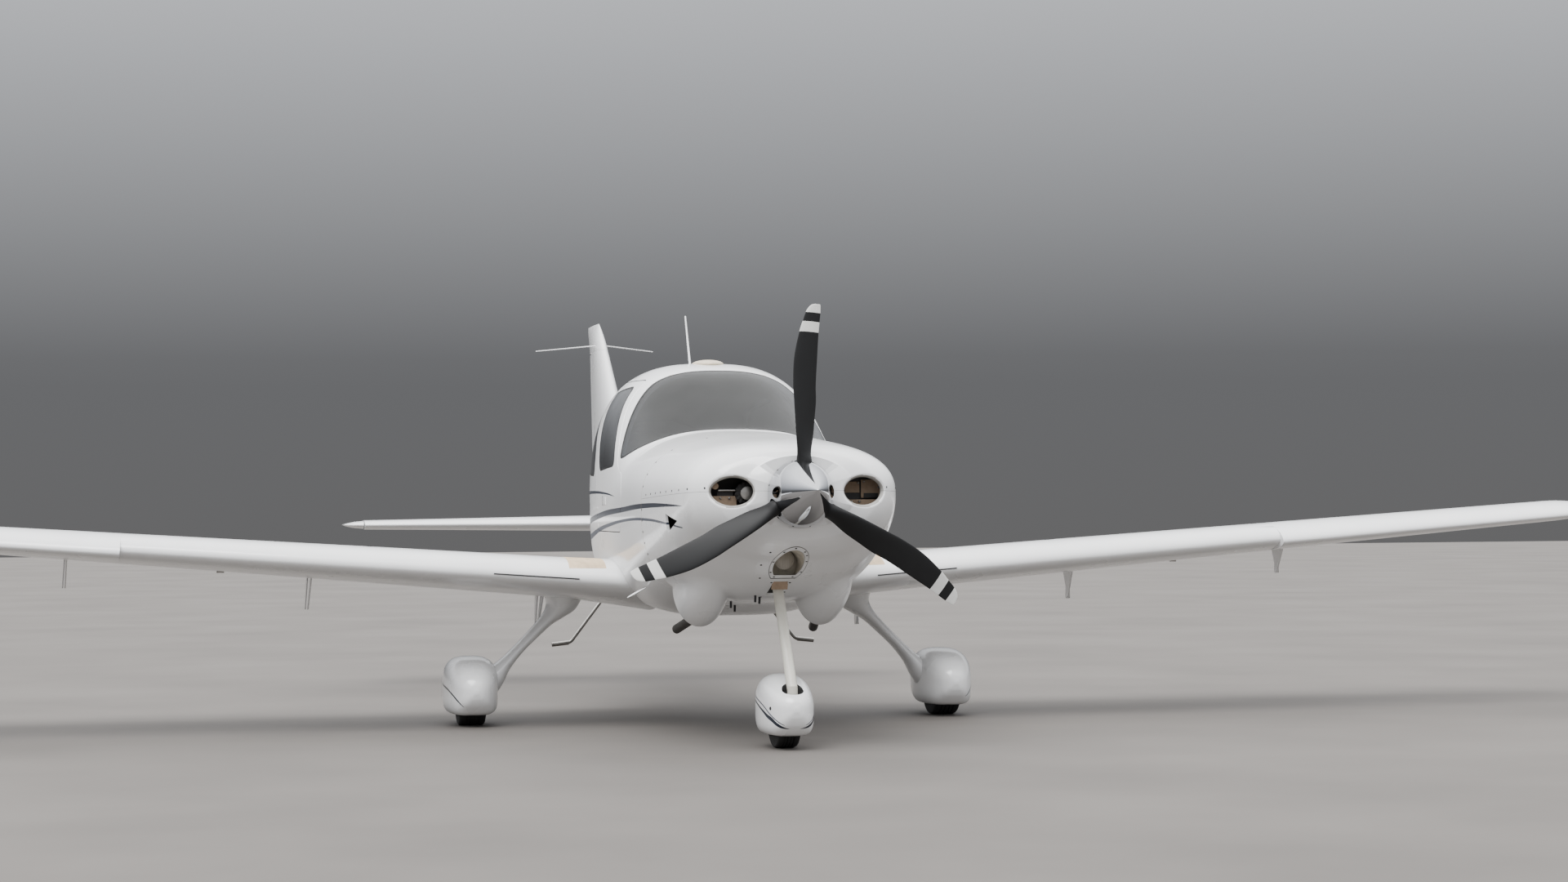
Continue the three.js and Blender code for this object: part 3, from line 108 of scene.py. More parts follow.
FLOOR_REACH = 60
FLOOR_COLOURS = [(0.3, (0.100, 0.091, 0.083)), (0.7, (0.128, 0.117, 0.107))]
WORLD_COLOURS = [
    (0.0, (0.30, 0.29, 0.28)), (0.14, (0.34, 0.345, 0.36)), (0.3, (0.72, 0.74, 0.78)), (1.0, (1.0, 1.0, 1.0)),
]
LAMP_ANGLE = math.radians(40)
LAMP_POWER = 4.3
LAMP_DIRECTION = (0.35, 0.45, -1)
floor_mesh = bpy.data.meshes.new("floor")
floor_corners = [(x * FLOOR_REACH, y * FLOOR_REACH, 0) for x, y in ((-1, -1), (1, -1), (1, 1), (-1, 1))]
floor_mesh.from_pydata(floor_corners, [], [(0, 1, 2, 3)])
floor = bpy.data.objects.new("floor", floor_mesh)
bpy.context.scene.collection.objects.link(floor)
floor_finish = bpy.data.materials.new("floor")
floor_finish.use_nodes = True
floor_tree = floor_finish.node_tree
floor_shader = floor_tree.nodes["Principled BSDF"]
floor_shader.inputs["Roughness"].default_value = 0.75
floor_grain = add_noise(floor_tree, object_place(floor_tree), 0.6, 6)
floor_colour = add_ramp(floor_tree, floor_grain, FLOOR_COLOURS)
floor_tree.links.new(floor_colour, floor_shader.inputs["Base Color"])
floor_mesh.materials.append(floor_finish)

world = bpy.data.worlds.new("studio")
world.use_nodes = True
world_tree = world.node_tree
world_place = add_node(world_tree, "TexCoord").outputs["Generated"]
world_height = add_node(world_tree, "SeparateXYZ", {0: world_place}).outputs["Z"]
world_colour = add_ramp(world_tree, map_range(world_tree, world_height, -0.1, 0.9), WORLD_COLOURS)
world_strength = map_range(world_tree, world_height, 0.05, 0.7, 0.42, 3.0)
world_tree.links.new(world_colour, world_tree.nodes["Background"].inputs["Color"])
world_tree.links.new(world_strength, world_tree.nodes["Background"].inputs["Strength"])
bpy.context.scene.world = world
softbox = bpy.data.objects.new("softbox", bpy.data.lights.new("softbox", "SUN"))
softbox.data.angle = LAMP_ANGLE
softbox.data.energy = LAMP_POWER
softbox.rotation_euler = Vector(LAMP_DIRECTION).to_track_quat("-Z", "Y").to_euler()
bpy.context.scene.collection.objects.link(softbox)


# Fuselage shell
# Two moulded halves of glass and carbon fibre, bonded along the middle and painted white with thin dark
# stripes. The canopy rises out of the deck, and the doors, windows and baggage hatch are cut through it.
MM = 0.001
PROPELLER_Y = -3.605
FIREWALL = 1.110
TAIL_END = 6.960
SEAM = 0.003
DOOR_GAP = 0.005
WALL = 0.032
BODY_SECTIONS = np.array(
    [
        # station, half width, height of widest point, deck, deck exponent, belly, belly exponent
        [80, 300, 1376, 1574, 2.1, 1188, 2.1],
        [120, 440, 1376, 1602, 2.25, 1124, 2.2],
        [220, 548, 1372, 1632, 2.4, 1056, 2.3],
        [330, 588, 1362, 1650, 2.5, 1006, 2.4],
        [500, 620, 1350, 1668, 2.5, 918, 2.5],
        [800, 652, 1335, 1690, 2.5, 812, 2.7],
        [1250, 682, 1315, 1722, 2.5, 752, 3.0],
        [1800, 690, 1300, 1752, 2.5, 668, 3.2],
        [2450, 690, 1300, 1790, 2.5, 665, 3.2],
        [3100, 660, 1310, 1800, 2.5, 672, 3.2],
        [3600, 588, 1315, 1790, 2.4, 705, 3.0],
        [4200, 482, 1320, 1760, 2.3, 770, 2.6],
        [5000, 345, 1312, 1700, 2.2, 872, 2.3],
        [6000, 205, 1290, 1600, 2.1, 990, 2.1],
        [6960, 70, 1262, 1470, 2.0, 1075, 2.0],
    ]
) * [MM, MM, MM, MM, 1, MM, 1]
CANOPY_SECTIONS = np.array(
    [
        # station, half width, top, exponent
        [1500, 640, 1519, 2.5],
        [1800, 662, 1756, 2.6],
        [2050, 680, 1951, 2.6],
        [2280, 688, 2110, 2.66],
        [2450, 690, 2160, 2.8],
        [2700, 688, 2184, 2.9],
        [3100, 662, 2166, 2.9],
        [3600, 588, 2080, 2.75],
        [4200, 482, 1950, 2.55],
        [5000, 345, 1792, 2.3],
        [6000, 205, 1640, 2.15],
        [6960, 70, 1500, 2.0],
    ]
) * [MM, MM, MM, 1]
CREASE = 0.014
LOW_CANOPY = 0.06
LEAST_CORNER = 0.005
NORMAL_STEP = 0.0004
ON_SKIN = 0.0004


def curve_value(table, key, s):
    """Smooth curve through a table's column: a cubic between rows, its slope at a row that of the chord
    between the rows on either side."""
    x = table[:, 0]
    y = table[:, key]
    before = np.maximum(np.arange(len(x)) - 1, 0)
    after = np.minimum(np.arange(len(x)) + 1, len(x) - 1)
    slope = (y[after] - y[before]) / (x[after] - x[before])
    s = np.clip(s, x[0], x[-1])
    i = np.clip(np.searchsorted(x, s) - 1, 0, len(x) - 2)
    width = x[i + 1] - x[i]
    t = (s - x[i]) / width
    ends = y[i] * (1 + 2 * t) * (1 - t) ** 2 + y[i + 1] * t * t * (3 - 2 * t)
    return ends + width * (slope[i] * t * (1 - t) ** 2 + slope[i + 1] * t * t * (t - 1))


def superellipse(half, high, power, angle):
    """Distance from the middle to a superellipse, along a ray at the angle."""
    sides = np.abs(np.cos(angle) / half) ** power + np.abs(np.sin(angle) / high) ** power
    return sides ** (-1 / power)


def body_radius(s, angle):
    """Distance from a section's middle to the skin: the belly's superellipse below, and above it the deck's
    and the canopy's, whichever is larger, with a rounded crease where they meet."""
    half = curve_value(BODY_SECTIONS, 1, s)
    middle = curve_value(BODY_SECTIONS, 2, s)
    lift = np.sin(angle)
    belly_depth = middle - curve_value(BODY_SECTIONS, 5, s)
    belly = superellipse(half, belly_depth, curve_value(BODY_SECTIONS, 6, s), angle)
    deck_height = curve_value(BODY_SECTIONS, 3, s) - middle
    deck = superellipse(half, deck_height, curve_value(BODY_SECTIONS, 4, s), angle)
    canopy_height = np.maximum(curve_value(CANOPY_SECTIONS, 2, s) - middle, LOW_CANOPY)
    canopy_half = curve_value(CANOPY_SECTIONS, 1, s)
    canopy = superellipse(canopy_half, canopy_height, curve_value(CANOPY_SECTIONS, 3, s), angle)
    canopy = np.where(s < CANOPY_SECTIONS[0, 0], 0, canopy)
    blend = CREASE * np.clip(3 * lift, 0, 1)
    upper = (deck + canopy + np.sqrt((deck - canopy) ** 2 + blend**2)) / 2
    return np.where(lift < 0, belly, upper)


def ring_angles(s, count):
    """Ray angles that spread a ring's points evenly over a section as wide and as tall as the body's."""
    turn = 2 * np.pi * np.arange(count) / count
    middle = curve_value(BODY_SECTIONS, 2, s)
    above = body_radius(s, np.full_like(s, np.pi / 2))
    below = middle - curve_value(BODY_SECTIONS, 5, s)
    high = np.where(np.sin(turn) >= 0, above[:, None], below[:, None])
    return np.arctan2(np.sin(turn) * high, np.cos(turn) * curve_value(BODY_SECTIONS, 1, s)[:, None])


def body_rings(stations, count, inward=0.0, radius=body_radius):
    """Rings of points on the skin, or inward of it along each ray."""
    s = np.asarray(stations)
    angle = ring_angles(s, count)
    s = np.broadcast_to(s[:, None], angle.shape)
    reach = radius(s, angle) - inward
    middle = curve_value(BODY_SECTIONS, 2, s)
    return np.stack([reach * np.cos(angle), s + PROPELLER_Y, middle + reach * np.sin(angle)], axis=-1)


def body_distance(points, radius=body_radius):
    """How far points lie outside the skin, measured along the ray from the section's middle."""
    s = points[:, 1] - PROPELLER_Y
    rise = points[:, 2] - curve_value(BODY_SECTIONS, 2, s)
    return np.hypot(points[:, 0], rise) - radius(s, np.arctan2(rise, points[:, 0]))


def grid_faces(rows, columns, start=0, around=True):
    """Four-cornered faces over a grid of points that is numbered row by row. The last column joins the first
    when the grid goes around."""
    number = np.arange(rows * columns).reshape(rows, columns) + start
    if around:
        number = np.concatenate([number, number[:, :1]], axis=1)
    corners = [number[:-1, :-1], number[:-1, 1:], number[1:, 1:], number[1:, :-1]]
    return np.stack(corners, axis=-1).reshape(-1, 4)


def quad_volume(points, faces):
    """Six times the volume that four-cornered faces close in, below zero when they face inwards."""
    a, b, c, d = (points[faces[:, k]] for k in range(4))
    return np.einsum("ij,ij->", a, np.cross(b, c)) + np.einsum("ij,ij->", a, np.cross(c, d))


def loft_mesh(name, rings):
    """Closed skin through rings of points, each end closed by a fan about the ring's mean point."""
    rings = np.asarray(rings, dtype=float)
    rows, columns = rings.shape[:2]
    points = np.concatenate([rings.reshape(-1, 3), rings[:1].mean(axis=1), rings[-1:].mean(axis=1)])
    first = np.arange(columns)
    last = first + (rows - 1) * columns
    quads = grid_faces(rows, columns)
    front_fan = np.stack([np.roll(first, -1), first, np.full(columns, rows * columns)], axis=1)
    rear_fan = np.stack([last, np.roll(last, -1), np.full(columns, rows * columns + 1)], axis=1)
    fans = np.concatenate([front_fan, rear_fan])
    a, b, c = (points[fans[:, k]] for k in range(3))
    if quad_volume(points, quads) + np.einsum("ij,ij->", a, np.cross(b, c)) < 0:
        quads = quads[:, ::-1]
        fans = fans[:, ::-1]
    mesh = bpy.data.meshes.new(name)
    mesh.from_pydata(points.tolist(), [], quads.tolist() + fans.tolist())
    return mesh


def closed_loop(name, rings):
    """Closed skin through rings of points, of which the last joins the first."""
    rows, columns = rings.shape[:2]
    faces = grid_faces(rows + 1, columns) % (rows * columns)
    points = rings.reshape(-1, 3)
    if quad_volume(points, faces) < 0:
        faces = faces[:, ::-1]
    mesh = bpy.data.meshes.new(name)
    mesh.from_pydata(points.tolist(), [], faces.tolist())
    return mesh


def inset_outline(corners, distance):
    """Move each side of an outline inwards by the distance and find where the sides cross again."""
    corners = np.asarray(corners, dtype=float)
    along = np.roll(corners, -1, axis=0) - corners
    area = np.sum(corners[:, 0] * np.roll(corners[:, 1], -1) - corners[:, 1] * np.roll(corners[:, 0], -1))
    inward = np.stack([-along[:, 1], along[:, 0]], axis=1) * np.sign(area)
    start = corners + inward / np.linalg.norm(along, axis=1, keepdims=True) * distance
    before = np.roll(start, 1, axis=0)
    into = np.roll(along, 1, axis=0)
    apart = start - before
    cross = into[:, 0] * along[:, 1] - into[:, 1] * along[:, 0]
    t = (apart[:, 0] * along[:, 1] - apart[:, 1] * along[:, 0]) / cross
    return before + into * t[:, None]


def rounded_outline(corners, radius, steps=10):
    """Swap each corner for a parabola that starts and ends at the radius along its two sides."""
    corners = np.asarray(corners, dtype=float)
    back = np.roll(corners, 1, axis=0) - corners
    ahead = np.roll(corners, -1, axis=0) - corners
    back_long = np.linalg.norm(back, axis=1, keepdims=True)
    ahead_long = np.linalg.norm(ahead, axis=1, keepdims=True)
    reach = np.minimum(radius, 0.45 * np.minimum(back_long, ahead_long))
    start = (corners + back / back_long * reach)[:, None]
    end = (corners + ahead / ahead_long * reach)[:, None]
    t = np.linspace(0, 1, steps)[None, :, None]
    return (start * (1 - t) ** 2 + 2 * corners[:, None] * t * (1 - t) + end * t * t).reshape(-1, 2)


def side_prism(name, outline, low, high, slant=0.0, edge_at=0.0):
    """An outline in side view carried across the aircraft from low to high, leaning aft as it goes out."""
    rings = []
    for x in (low, high):
        y = outline[:, 0] + PROPELLER_Y + slant * (x - edge_at)
        rings.append(np.stack([np.full(len(outline), x), y, outline[:, 1]], axis=1))
    return loft_mesh(name, rings)


OPENINGS = {
    # corners as station and height, corner radius, and the x at which a slanted edge has these corners
    "windscreen": (
        [
            [1790, 1762], [1812, 1700], [1840, 1665], [1900, 1625], [1975, 1594], [2040, 1588],
            [2318, 2060], [2318, 2400], [1600, 2400], [1600, 1940],
        ],
        40,
        0,
    ),
    "door": (
        [
            [1745, 1158], [1745, 1390], [1900, 1500], [2045, 1545], [2478, 2075],
            [3037, 2075], [2668, 1500], [2662, 1200], [2600, 1158],
        ],
        60,
        690,
    ),
    "door_window": ([[2118, 1546], [2455, 2040], [2880, 2010], [2572, 1520]], 58, 0),
    "rear_window": (
        [[2795, 1493], [2800, 1625], [3085, 1990], [3550, 1935], [4010, 1650], [3990, 1580], [3400, 1510]],
        80,
        0,
    ),
    "hatch": ([[3760, 1105], [3760, 1480], [4288, 1480], [4288, 1150]], 45, 560),
}
EDGE_SLANT = 0.3
INBOARD = 0.15
OUTBOARD = 0.9


def mirrored(mesh):
    """A copy of a port mesh for the starboard side."""
    other = mesh.copy()
    other.transform(Matrix.Scale(-1, 4, (1, 0, 0)))
    other.flip_normals()
    return other


def opening(name, inset=0.0, flip=False, low=INBOARD, high=OUTBOARD):
    """The cutter for an opening, drawn in by the inset, on the port side or flipped to starboard."""
    corners, radius, edge_at = OPENINGS[name]
    outline = inset_outline(np.array(corners) * MM, inset)
    outline = rounded_outline(outline, max(radius * MM - inset, LEAST_CORNER))
    mesh = side_prism(name, outline, low, high, EDGE_SLANT if edge_at else 0, edge_at * MM)
    return mirrored(mesh) if flip else mesh


def carve(mesh, *steps):
    """Cut, join or keep solids in turn. A step is an operation's name and the other solid's mesh."""
    scene = bpy.context.scene
    subject = bpy.data.objects.new("subject", mesh)
    scene.collection.objects.link(subject)
    tools = []
    for operation, other in steps:
        tool = bpy.data.objects.new("tool", other)
        scene.collection.objects.link(tool)
        tools.append(tool)
        modifier = subject.modifiers.new("carve", "BOOLEAN")
        modifier.operation = operation
        modifier.solver = "MANIFOLD"
        modifier.object = tool
    depsgraph = bpy.context.evaluated_depsgraph_get()
    result = bpy.data.meshes.new_from_object(subject.evaluated_get(depsgraph))
    for extra in [subject, *tools]:
        bpy.data.objects.remove(extra)
    return result


def read_vectors(items, key):
    """A vector of every item in one of a mesh's lists, as the rows of an array."""
    values = np.empty(len(items) * 3)
    items.foreach_get(key, values)
    return values.reshape(-1, 3)


def skin_slope(points, distance, step=0.001):
    """Outward direction at points on a skin, from differences of its distance function."""
    shifts = np.eye(3) * step
    slope = np.stack([distance(points + shift) - distance(points - shift) for shift in shifts], axis=-1)
    return slope / np.maximum(np.linalg.norm(slope, axis=-1, keepdims=True), 1e-12)


def shade_skin(mesh, distance=None, angle=30, sloped=None):
    """Smooth shading with sharp edges past an angle. Corners that lie on a skin whose distance function is
    given take their normal from its slope, or from that of a smoother function, so that cuts leave no mark
    in the reflections."""
    mesh.polygons.foreach_set("use_smooth", np.ones(len(mesh.polygons), dtype=bool))
    mesh.set_sharp_from_angle(angle=math.radians(angle))
    if distance is None:
        return
    points = read_vectors(mesh.vertices, "co")
    corner_point = np.empty(len(mesh.loops), dtype=np.int32)
    mesh.loops.foreach_get("vertex_index", corner_point)
    totals = np.empty(len(mesh.polygons), dtype=np.int32)
    mesh.polygons.foreach_get("loop_total", totals)
    normals = read_vectors(mesh.corner_normals, "vector")
    faces = np.repeat(read_vectors(mesh.polygon_normals, "vector"), totals, axis=0)
    near = np.abs(distance(points)) < ON_SKIN
    wanted = skin_slope(points, sloped or distance, NORMAL_STEP)[corner_point]
    match = np.einsum("ij,ij->i", wanted, faces)
    least_match = 0.88 if sloped is None else 0.7
    use = near[corner_point] & (np.abs(match) > least_match)
    normals[use] = wanted[use] * np.sign(match[use])[:, None]
    mesh.normals_split_custom_set(normals.tolist())


def new_piece(name, mesh, body, materials, replaced=()):
    """Put a mesh in the scene as a piece that rides on a body and stands for CAD nodes."""
    piece = bpy.data.objects.new(name, mesh)
    mesh.name = name
    mesh.materials.clear()
    for material in materials:
        mesh.materials.append(material)
    bpy.context.scene.collection.objects.link(piece)
    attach(piece, body)
    if replaced:
        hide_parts(*replaced)
    return piece


def add_piece(name, mesh, body, materials, replaced=(), angle=30):
    """Put a piece in the scene and shade it smooth between edges sharper than the angle."""
    new_piece(name, mesh, body, materials, replaced)
    shade_skin(mesh, angle=angle)


def new_group(name, inputs, outputs):
    """A shader node group with number inputs, and outputs that are numbers or colours."""
    group = bpy.data.node_groups.new(name, "ShaderNodeTree")
    for label, value in inputs.items():
        socket = group.interface.new_socket(label, in_out="INPUT", socket_type="NodeSocketFloat")
        socket.default_value = value
    for label, kind in outputs.items():
        group.interface.new_socket(label, in_out="OUTPUT", socket_type="NodeSocket" + kind)
    start = group.nodes.new("NodeGroupInput")
    end = group.nodes.new("NodeGroupOutput")
    return group, start, end


def math_node(tree, operation, *values, clamp=False):
    """A Math node on numbers or sockets, and its output."""
    made = add_node(tree, "Math", dict(enumerate(values)), operation=operation, use_clamp=clamp)
    return made.outputs[0]


# Weathering: broad stains, a fine grain and streaks that run aft, as a tint, a roughness and a height
weather, weather_in, weather_out = new_group(
    "weathering",
    {"Stain": 0.06, "Roughness": 0.25, "Spread": 0.08, "Scale": 1.0},
    {"Tint": "Float", "Roughness": "Float", "Height": "Float"},
)
weather_scale = {0: object_place(weather), "Scale": weather_in.outputs["Scale"]}
scaled = add_node(weather, "VectorMath", weather_scale, operation="SCALE").outputs[0]
streaked = add_node(weather, "Mapping", {"Vector": scaled, "Scale": (6, 0.7, 6)}).outputs[0]
broad = add_noise(weather, scaled, 2.2, 5)
streaks = add_noise(weather, streaked, 1.6, 4)
fine = add_noise(weather, scaled, 420, 1)
mixed = math_node(weather, "MULTIPLY_ADD", broad, 0.6, math_node(weather, "MULTIPLY", streaks, 0.4))
stained = map_range(weather, mixed, 0.42, 0.72)
darkening = math_node(weather, "MULTIPLY", stained, weather_in.outputs["Stain"])
weather.links.new(math_node(weather, "SUBTRACT", 1.0, darkening), weather_out.inputs["Tint"])
centred = math_node(weather, "SUBTRACT", broad, 0.5)
uneven = math_node(weather, "MULTIPLY", centred, weather_in.outputs["Spread"])
rougher = math_node(weather, "ADD", weather_in.outputs["Roughness"], uneven, clamp=True)
weather.links.new(rougher, weather_out.inputs["Roughness"])
weather.links.new(fine, weather_out.inputs["Height"])


def add_relief(tree, shader, height, strength, distance=0.001):
    """Let a height bend a shader's normal."""
    relief = add_node(tree, "Bump", {"Height": height, "Strength": strength, "Distance": distance})
    tree.links.new(relief.outputs[0], shader.inputs["Normal"])


def new_material(
    name, colour, roughness, stain=0.06, spread=0.08, scale=1.0, bump=0.02, metallic=0.0, coat=0.0
):
    """A finish with the weathering group in it. Returns the material, its tree, its shader and the tinted
    colour's node, into whose first colour a pattern may be linked."""
    material = bpy.data.materials.new(name)
    material.use_nodes = True
    tree = material.node_tree
    shader = tree.nodes["Principled BSDF"]
    worn = tree.nodes.new("ShaderNodeGroup")
    worn.node_tree = weather
    for label, value in (("Stain", stain), ("Roughness", roughness), ("Spread", spread), ("Scale", scale)):
        worn.inputs[label].default_value = value
    tint = add_node(tree, "VectorMath", {0: colour, "Scale": worn.outputs["Tint"]}, operation="SCALE")
    tree.links.new(tint.outputs[0], shader.inputs["Base Color"])
    tree.links.new(worn.outputs["Roughness"], shader.inputs["Roughness"])
    add_relief(tree, shader, worn.outputs["Height"], bump)
    shader.inputs["Metallic"].default_value = metallic
    shader.inputs["Coat Weight"].default_value = coat
    shader.inputs["Coat Roughness"].default_value = 0.05
    return material, tree, shader, tint


WHITE = (0.78, 0.785, 0.79)
GLOSS = 0.28
COAT = 0.6
STRIPE_NAVY = (0.012, 0.017, 0.03)
STRIPE_SLATE = (0.04, 0.05, 0.075)
STRIPES = [
    # colour, then station, height and width along the centre line
    (
        STRIPE_NAVY,
        [
            (0.32, 1.312, 0.0), (0.58, 1.316, 0.017), (1.05, 1.313, 0.028), (1.71, 1.290, 0.031),
            (2.18, 1.274, 0.034), (2.61, 1.251, 0.036), (3.40, 1.205, 0.040), (4.60, 1.160, 0.034),
            (6.20, 1.180, 0.015), (6.90, 1.195, 0.0),
        ],
    ),
    (
        STRIPE_SLATE,
        [
            (0.344, 1.188, 0.0), (0.60, 1.217, 0.013), (1.06, 1.238, 0.016), (1.72, 1.225, 0.018),
            (2.10, 1.204, 0.022), (2.56, 1.171, 0.028), (3.15, 1.120, 0.035), (4.60, 1.090, 0.030),
            (6.20, 1.140, 0.012), (6.90, 1.165, 0.0),
        ],
    ),
    (
        STRIPE_NAVY,
        [
            (1.967, 1.368, 0.0), (2.35, 1.389, 0.013), (3.00, 1.396, 0.020), (4.20, 1.380, 0.026),
            (6.00, 1.345, 0.018), (6.90, 1.330, 0.0),
        ],
    ),
]
STATION_RANGE = 8.0
HEIGHT_RANGE = 2.0
WIDTH_RANGE = 0.05
STRIPE_EDGE = 0.0006


def add_curve(tree, factor, points):
    """A smooth curve of a number over 0 to 1."""
    made = add_node(tree, "FloatCurve", {"Value": factor})
    curve = made.mapping.curves[0]
    while len(curve.points) < len(points):
        curve.points.new(0.5, 0.5)
    for point, place in zip(curve.points, points):
        point.location = place
    made.mapping.update()
    return made.outputs[0]


def stripe_mask(tree, station, height, rows, start=0.0, reach=STATION_RANGE):
    """1 within half the stripe's width of its centre line, and 0 a millimetre outside it. The curves run over
    the reach from the start."""
    share = math_node(tree, "DIVIDE", math_node(tree, "SUBTRACT", station, start), reach)
    centre = add_curve(tree, share, [((s - start) / reach, z / HEIGHT_RANGE) for s, z, w in rows])
    width = add_curve(tree, share, [((s - start) / reach, w / WIDTH_RANGE) for s, z, w in rows])
    middle = math_node(tree, "MULTIPLY", centre, HEIGHT_RANGE)
    off = math_node(tree, "ABSOLUTE", math_node(tree, "SUBTRACT", height, middle))
    room = math_node(tree, "SUBTRACT", math_node(tree, "MULTIPLY", width, WIDTH_RANGE / 2), off)
    edge = math_node(tree, "DIVIDE", room, STRIPE_EDGE, clamp=True)
    begun = math_node(tree, "GREATER_THAN", station, rows[0][0])
    ended = math_node(tree, "LESS_THAN", station, rows[-1][0])
    return math_node(tree, "MULTIPLY", edge, math_node(tree, "MULTIPLY", begun, ended))


def mix_colours(tree, share, first, second):
    """A blend of two colours."""
    return add_node(tree, "Mix", {0: share, 6: first, 7: second}, data_type="RGBA").outputs[2]


def add_stripes(tree, shader, tint, stripes):
    """Lay stripes, given as pairs of colour and mask, over white paint. The coat ends at their edges."""
    painted = add_node(tree, "RGB").outputs[0]
    painted.default_value = (*WHITE, 1)
    coat = COAT
    for colour, mask in stripes:
        painted = mix_colours(tree, mask, painted, (*colour, 1))
        coat = math_node(tree, "MULTIPLY", coat, math_node(tree, "SUBTRACT", 1.0, mask))
    tree.links.new(painted, tint.inputs[0])
    tree.links.new(coat, shader.inputs["Coat Weight"])


paint = new_material("white_paint", WHITE, GLOSS, coat=COAT)[0]
body_paint, body_tree, body_shader, body_tint = new_material("body_paint", WHITE, GLOSS, coat=COAT)
body_place = add_node(body_tree, "SeparateXYZ", {0: object_place(body_tree)}).outputs
body_station = math_node(body_tree, "SUBTRACT", body_place["Y"], PROPELLER_Y)
body_stripes = [
    (colour, stripe_mask(body_tree, body_station, body_place["Z"], rows)) for colour, rows in STRIPES
]
add_stripes(body_tree, body_shader, body_tint, body_stripes)
trim = new_material("cabin_trim", (0.42, 0.36, 0.27), 0.8, stain=0.2, bump=0.3, scale=3)[0]

shell_stations = np.concatenate(
    [
        np.arange(FIREWALL + SEAM, 1.70, 0.03),
        np.arange(1.70, 2.32, 0.008),
        np.arange(2.32, 4.40, 0.03),
        np.linspace(4.40, TAIL_END, 50),
    ]
)
END_DEPTH = 0.02
SKIN_DEPTH = WALL - 0.004
CAVITY = np.array([FIREWALL + 0.028, 1.3, 1.5, 1.7, *np.arange(1.8, 3.2, 0.05), *np.arange(3.2, 6.3, 0.2)])


def shell_mesh():
    """The body aft of the firewall as a hollow solid: the room inside, a wall's thickness in, is cut away."""
    outer = loft_mesh("skin", body_rings(shell_stations, 208))
    return carve(outer, ("DIFFERENCE", loft_mesh("cavity", body_rings(CAVITY, 96, WALL))))


def finish_skin(mesh, depth, distance=body_distance, front=0.0, sloped=None):
    """Shade a piece of the wall, and give its inner faces aft of the front station the second material."""
    shade_skin(mesh, distance, sloped=sloped)
    centres = read_vectors(mesh.polygons, "center")
    s = centres[:, 1] - PROPELLER_Y
    inner = (distance(centres) < -depth) & (s > front) & (s < TAIL_END - END_DEPTH)
    mesh.polygons.foreach_set("material_index", inner.astype(np.int32))


shell = carve(
    shell_mesh(),
    ("DIFFERENCE", opening("windscreen", low=-OUTBOARD)),
    *[("DIFFERENCE", opening(name, flip=flip)) for name in ("door", "rear_window") for flip in (False, True)],
    ("DIFFERENCE", opening("hatch")),
)
new_piece("fuselage", shell, "airframe", [body_paint, trim], ["fuselage_shell"])
finish_skin(shell, SKIN_DEPTH)

# Doors and baggage hatch
# Sandwich panels cut from the same mould as the shell, hinged at their front edges, with flush handles.
for label, flip in (("left", False), ("right", True)):
    door = carve(
        shell_mesh(),
        ("INTERSECT", opening("door", DOOR_GAP, flip)),
        ("DIFFERENCE", opening("door_window", 0, flip)),
    )
    node = "door_" + label
    new_piece("door_skin_" + label, door, node, [body_paint, trim], [node])
    finish_skin(door, SKIN_DEPTH)
hatch = carve(shell_mesh(), ("INTERSECT", opening("hatch", DOOR_GAP)))
new_piece("baggage_hatch", hatch, "baggage_door", [body_paint, trim], ["baggage_door"])
finish_skin(hatch, SKIN_DEPTH)

# Windscreen and windows
# Tinted acrylic a little under the skin's surface, bonded in with a thin black line of sealant all round.
PANE_OUTER = 0.0012
PANE_INNER = 0.006
PANE_GAP = 0.0006
SEALANT = 0.014
GLASS_INDEX = 1.42
GLASS_TINTS = [(0.35, (0.13, 0.14, 0.147)), (0.7, (0.17, 0.18, 0.187))]


def outline_distance(points, outline):
    """How far points in side view lie from the nearest side of an outline."""
    along = np.roll(outline, -1, axis=0) - outline
    keep = np.linalg.norm(along, axis=1) > 1e-9
    nearest = np.full(len(points), np.inf)
    for corner, edge in zip(outline[keep], along[keep]):
        t = np.clip((points - corner) @ edge / (edge @ edge), 0, 1)
        nearest = np.minimum(nearest, np.linalg.norm(points - corner - t[:, None] * edge, axis=1))
    return nearest


glass = bpy.data.materials.new("tinted_glass")
glass.use_nodes = True
glass_tree = glass.node_tree
glass_shader = glass_tree.nodes["Principled BSDF"]
glass_shader.inputs["Transmission Weight"].default_value = 1.0
glass_shader.inputs["IOR"].default_value = GLASS_INDEX
edge_distance = add_node(glass_tree, "Attribute", attribute_name="edge").outputs["Fac"]
clear = map_range(glass_tree, edge_distance, SEALANT, SEALANT + 0.0005)
smears = add_noise(glass_tree, object_place(glass_tree), 5, 4)
glass_tint = add_ramp(glass_tree, smears, GLASS_TINTS)
glass_colour = mix_colours(glass_tree, clear, (0.002, 0.002, 0.002, 1), glass_tint)
glass_tree.links.new(glass_colour, glass_shader.inputs["Base Color"])
glass_shine = math_node(glass_tree, "MULTIPLY", clear, 0.5)
glass_tree.links.new(glass_shine, glass_shader.inputs["Specular IOR Level"])
glass_polish = map_range(glass_tree, smears, 0.3, 0.8, 0.015, 0.06)
glass_rough = add_node(glass_tree, "Mix", {0: clear, 2: 0.45, 3: glass_polish}).outputs[0]
glass_tree.links.new(glass_rough, glass_shader.inputs["Roughness"])

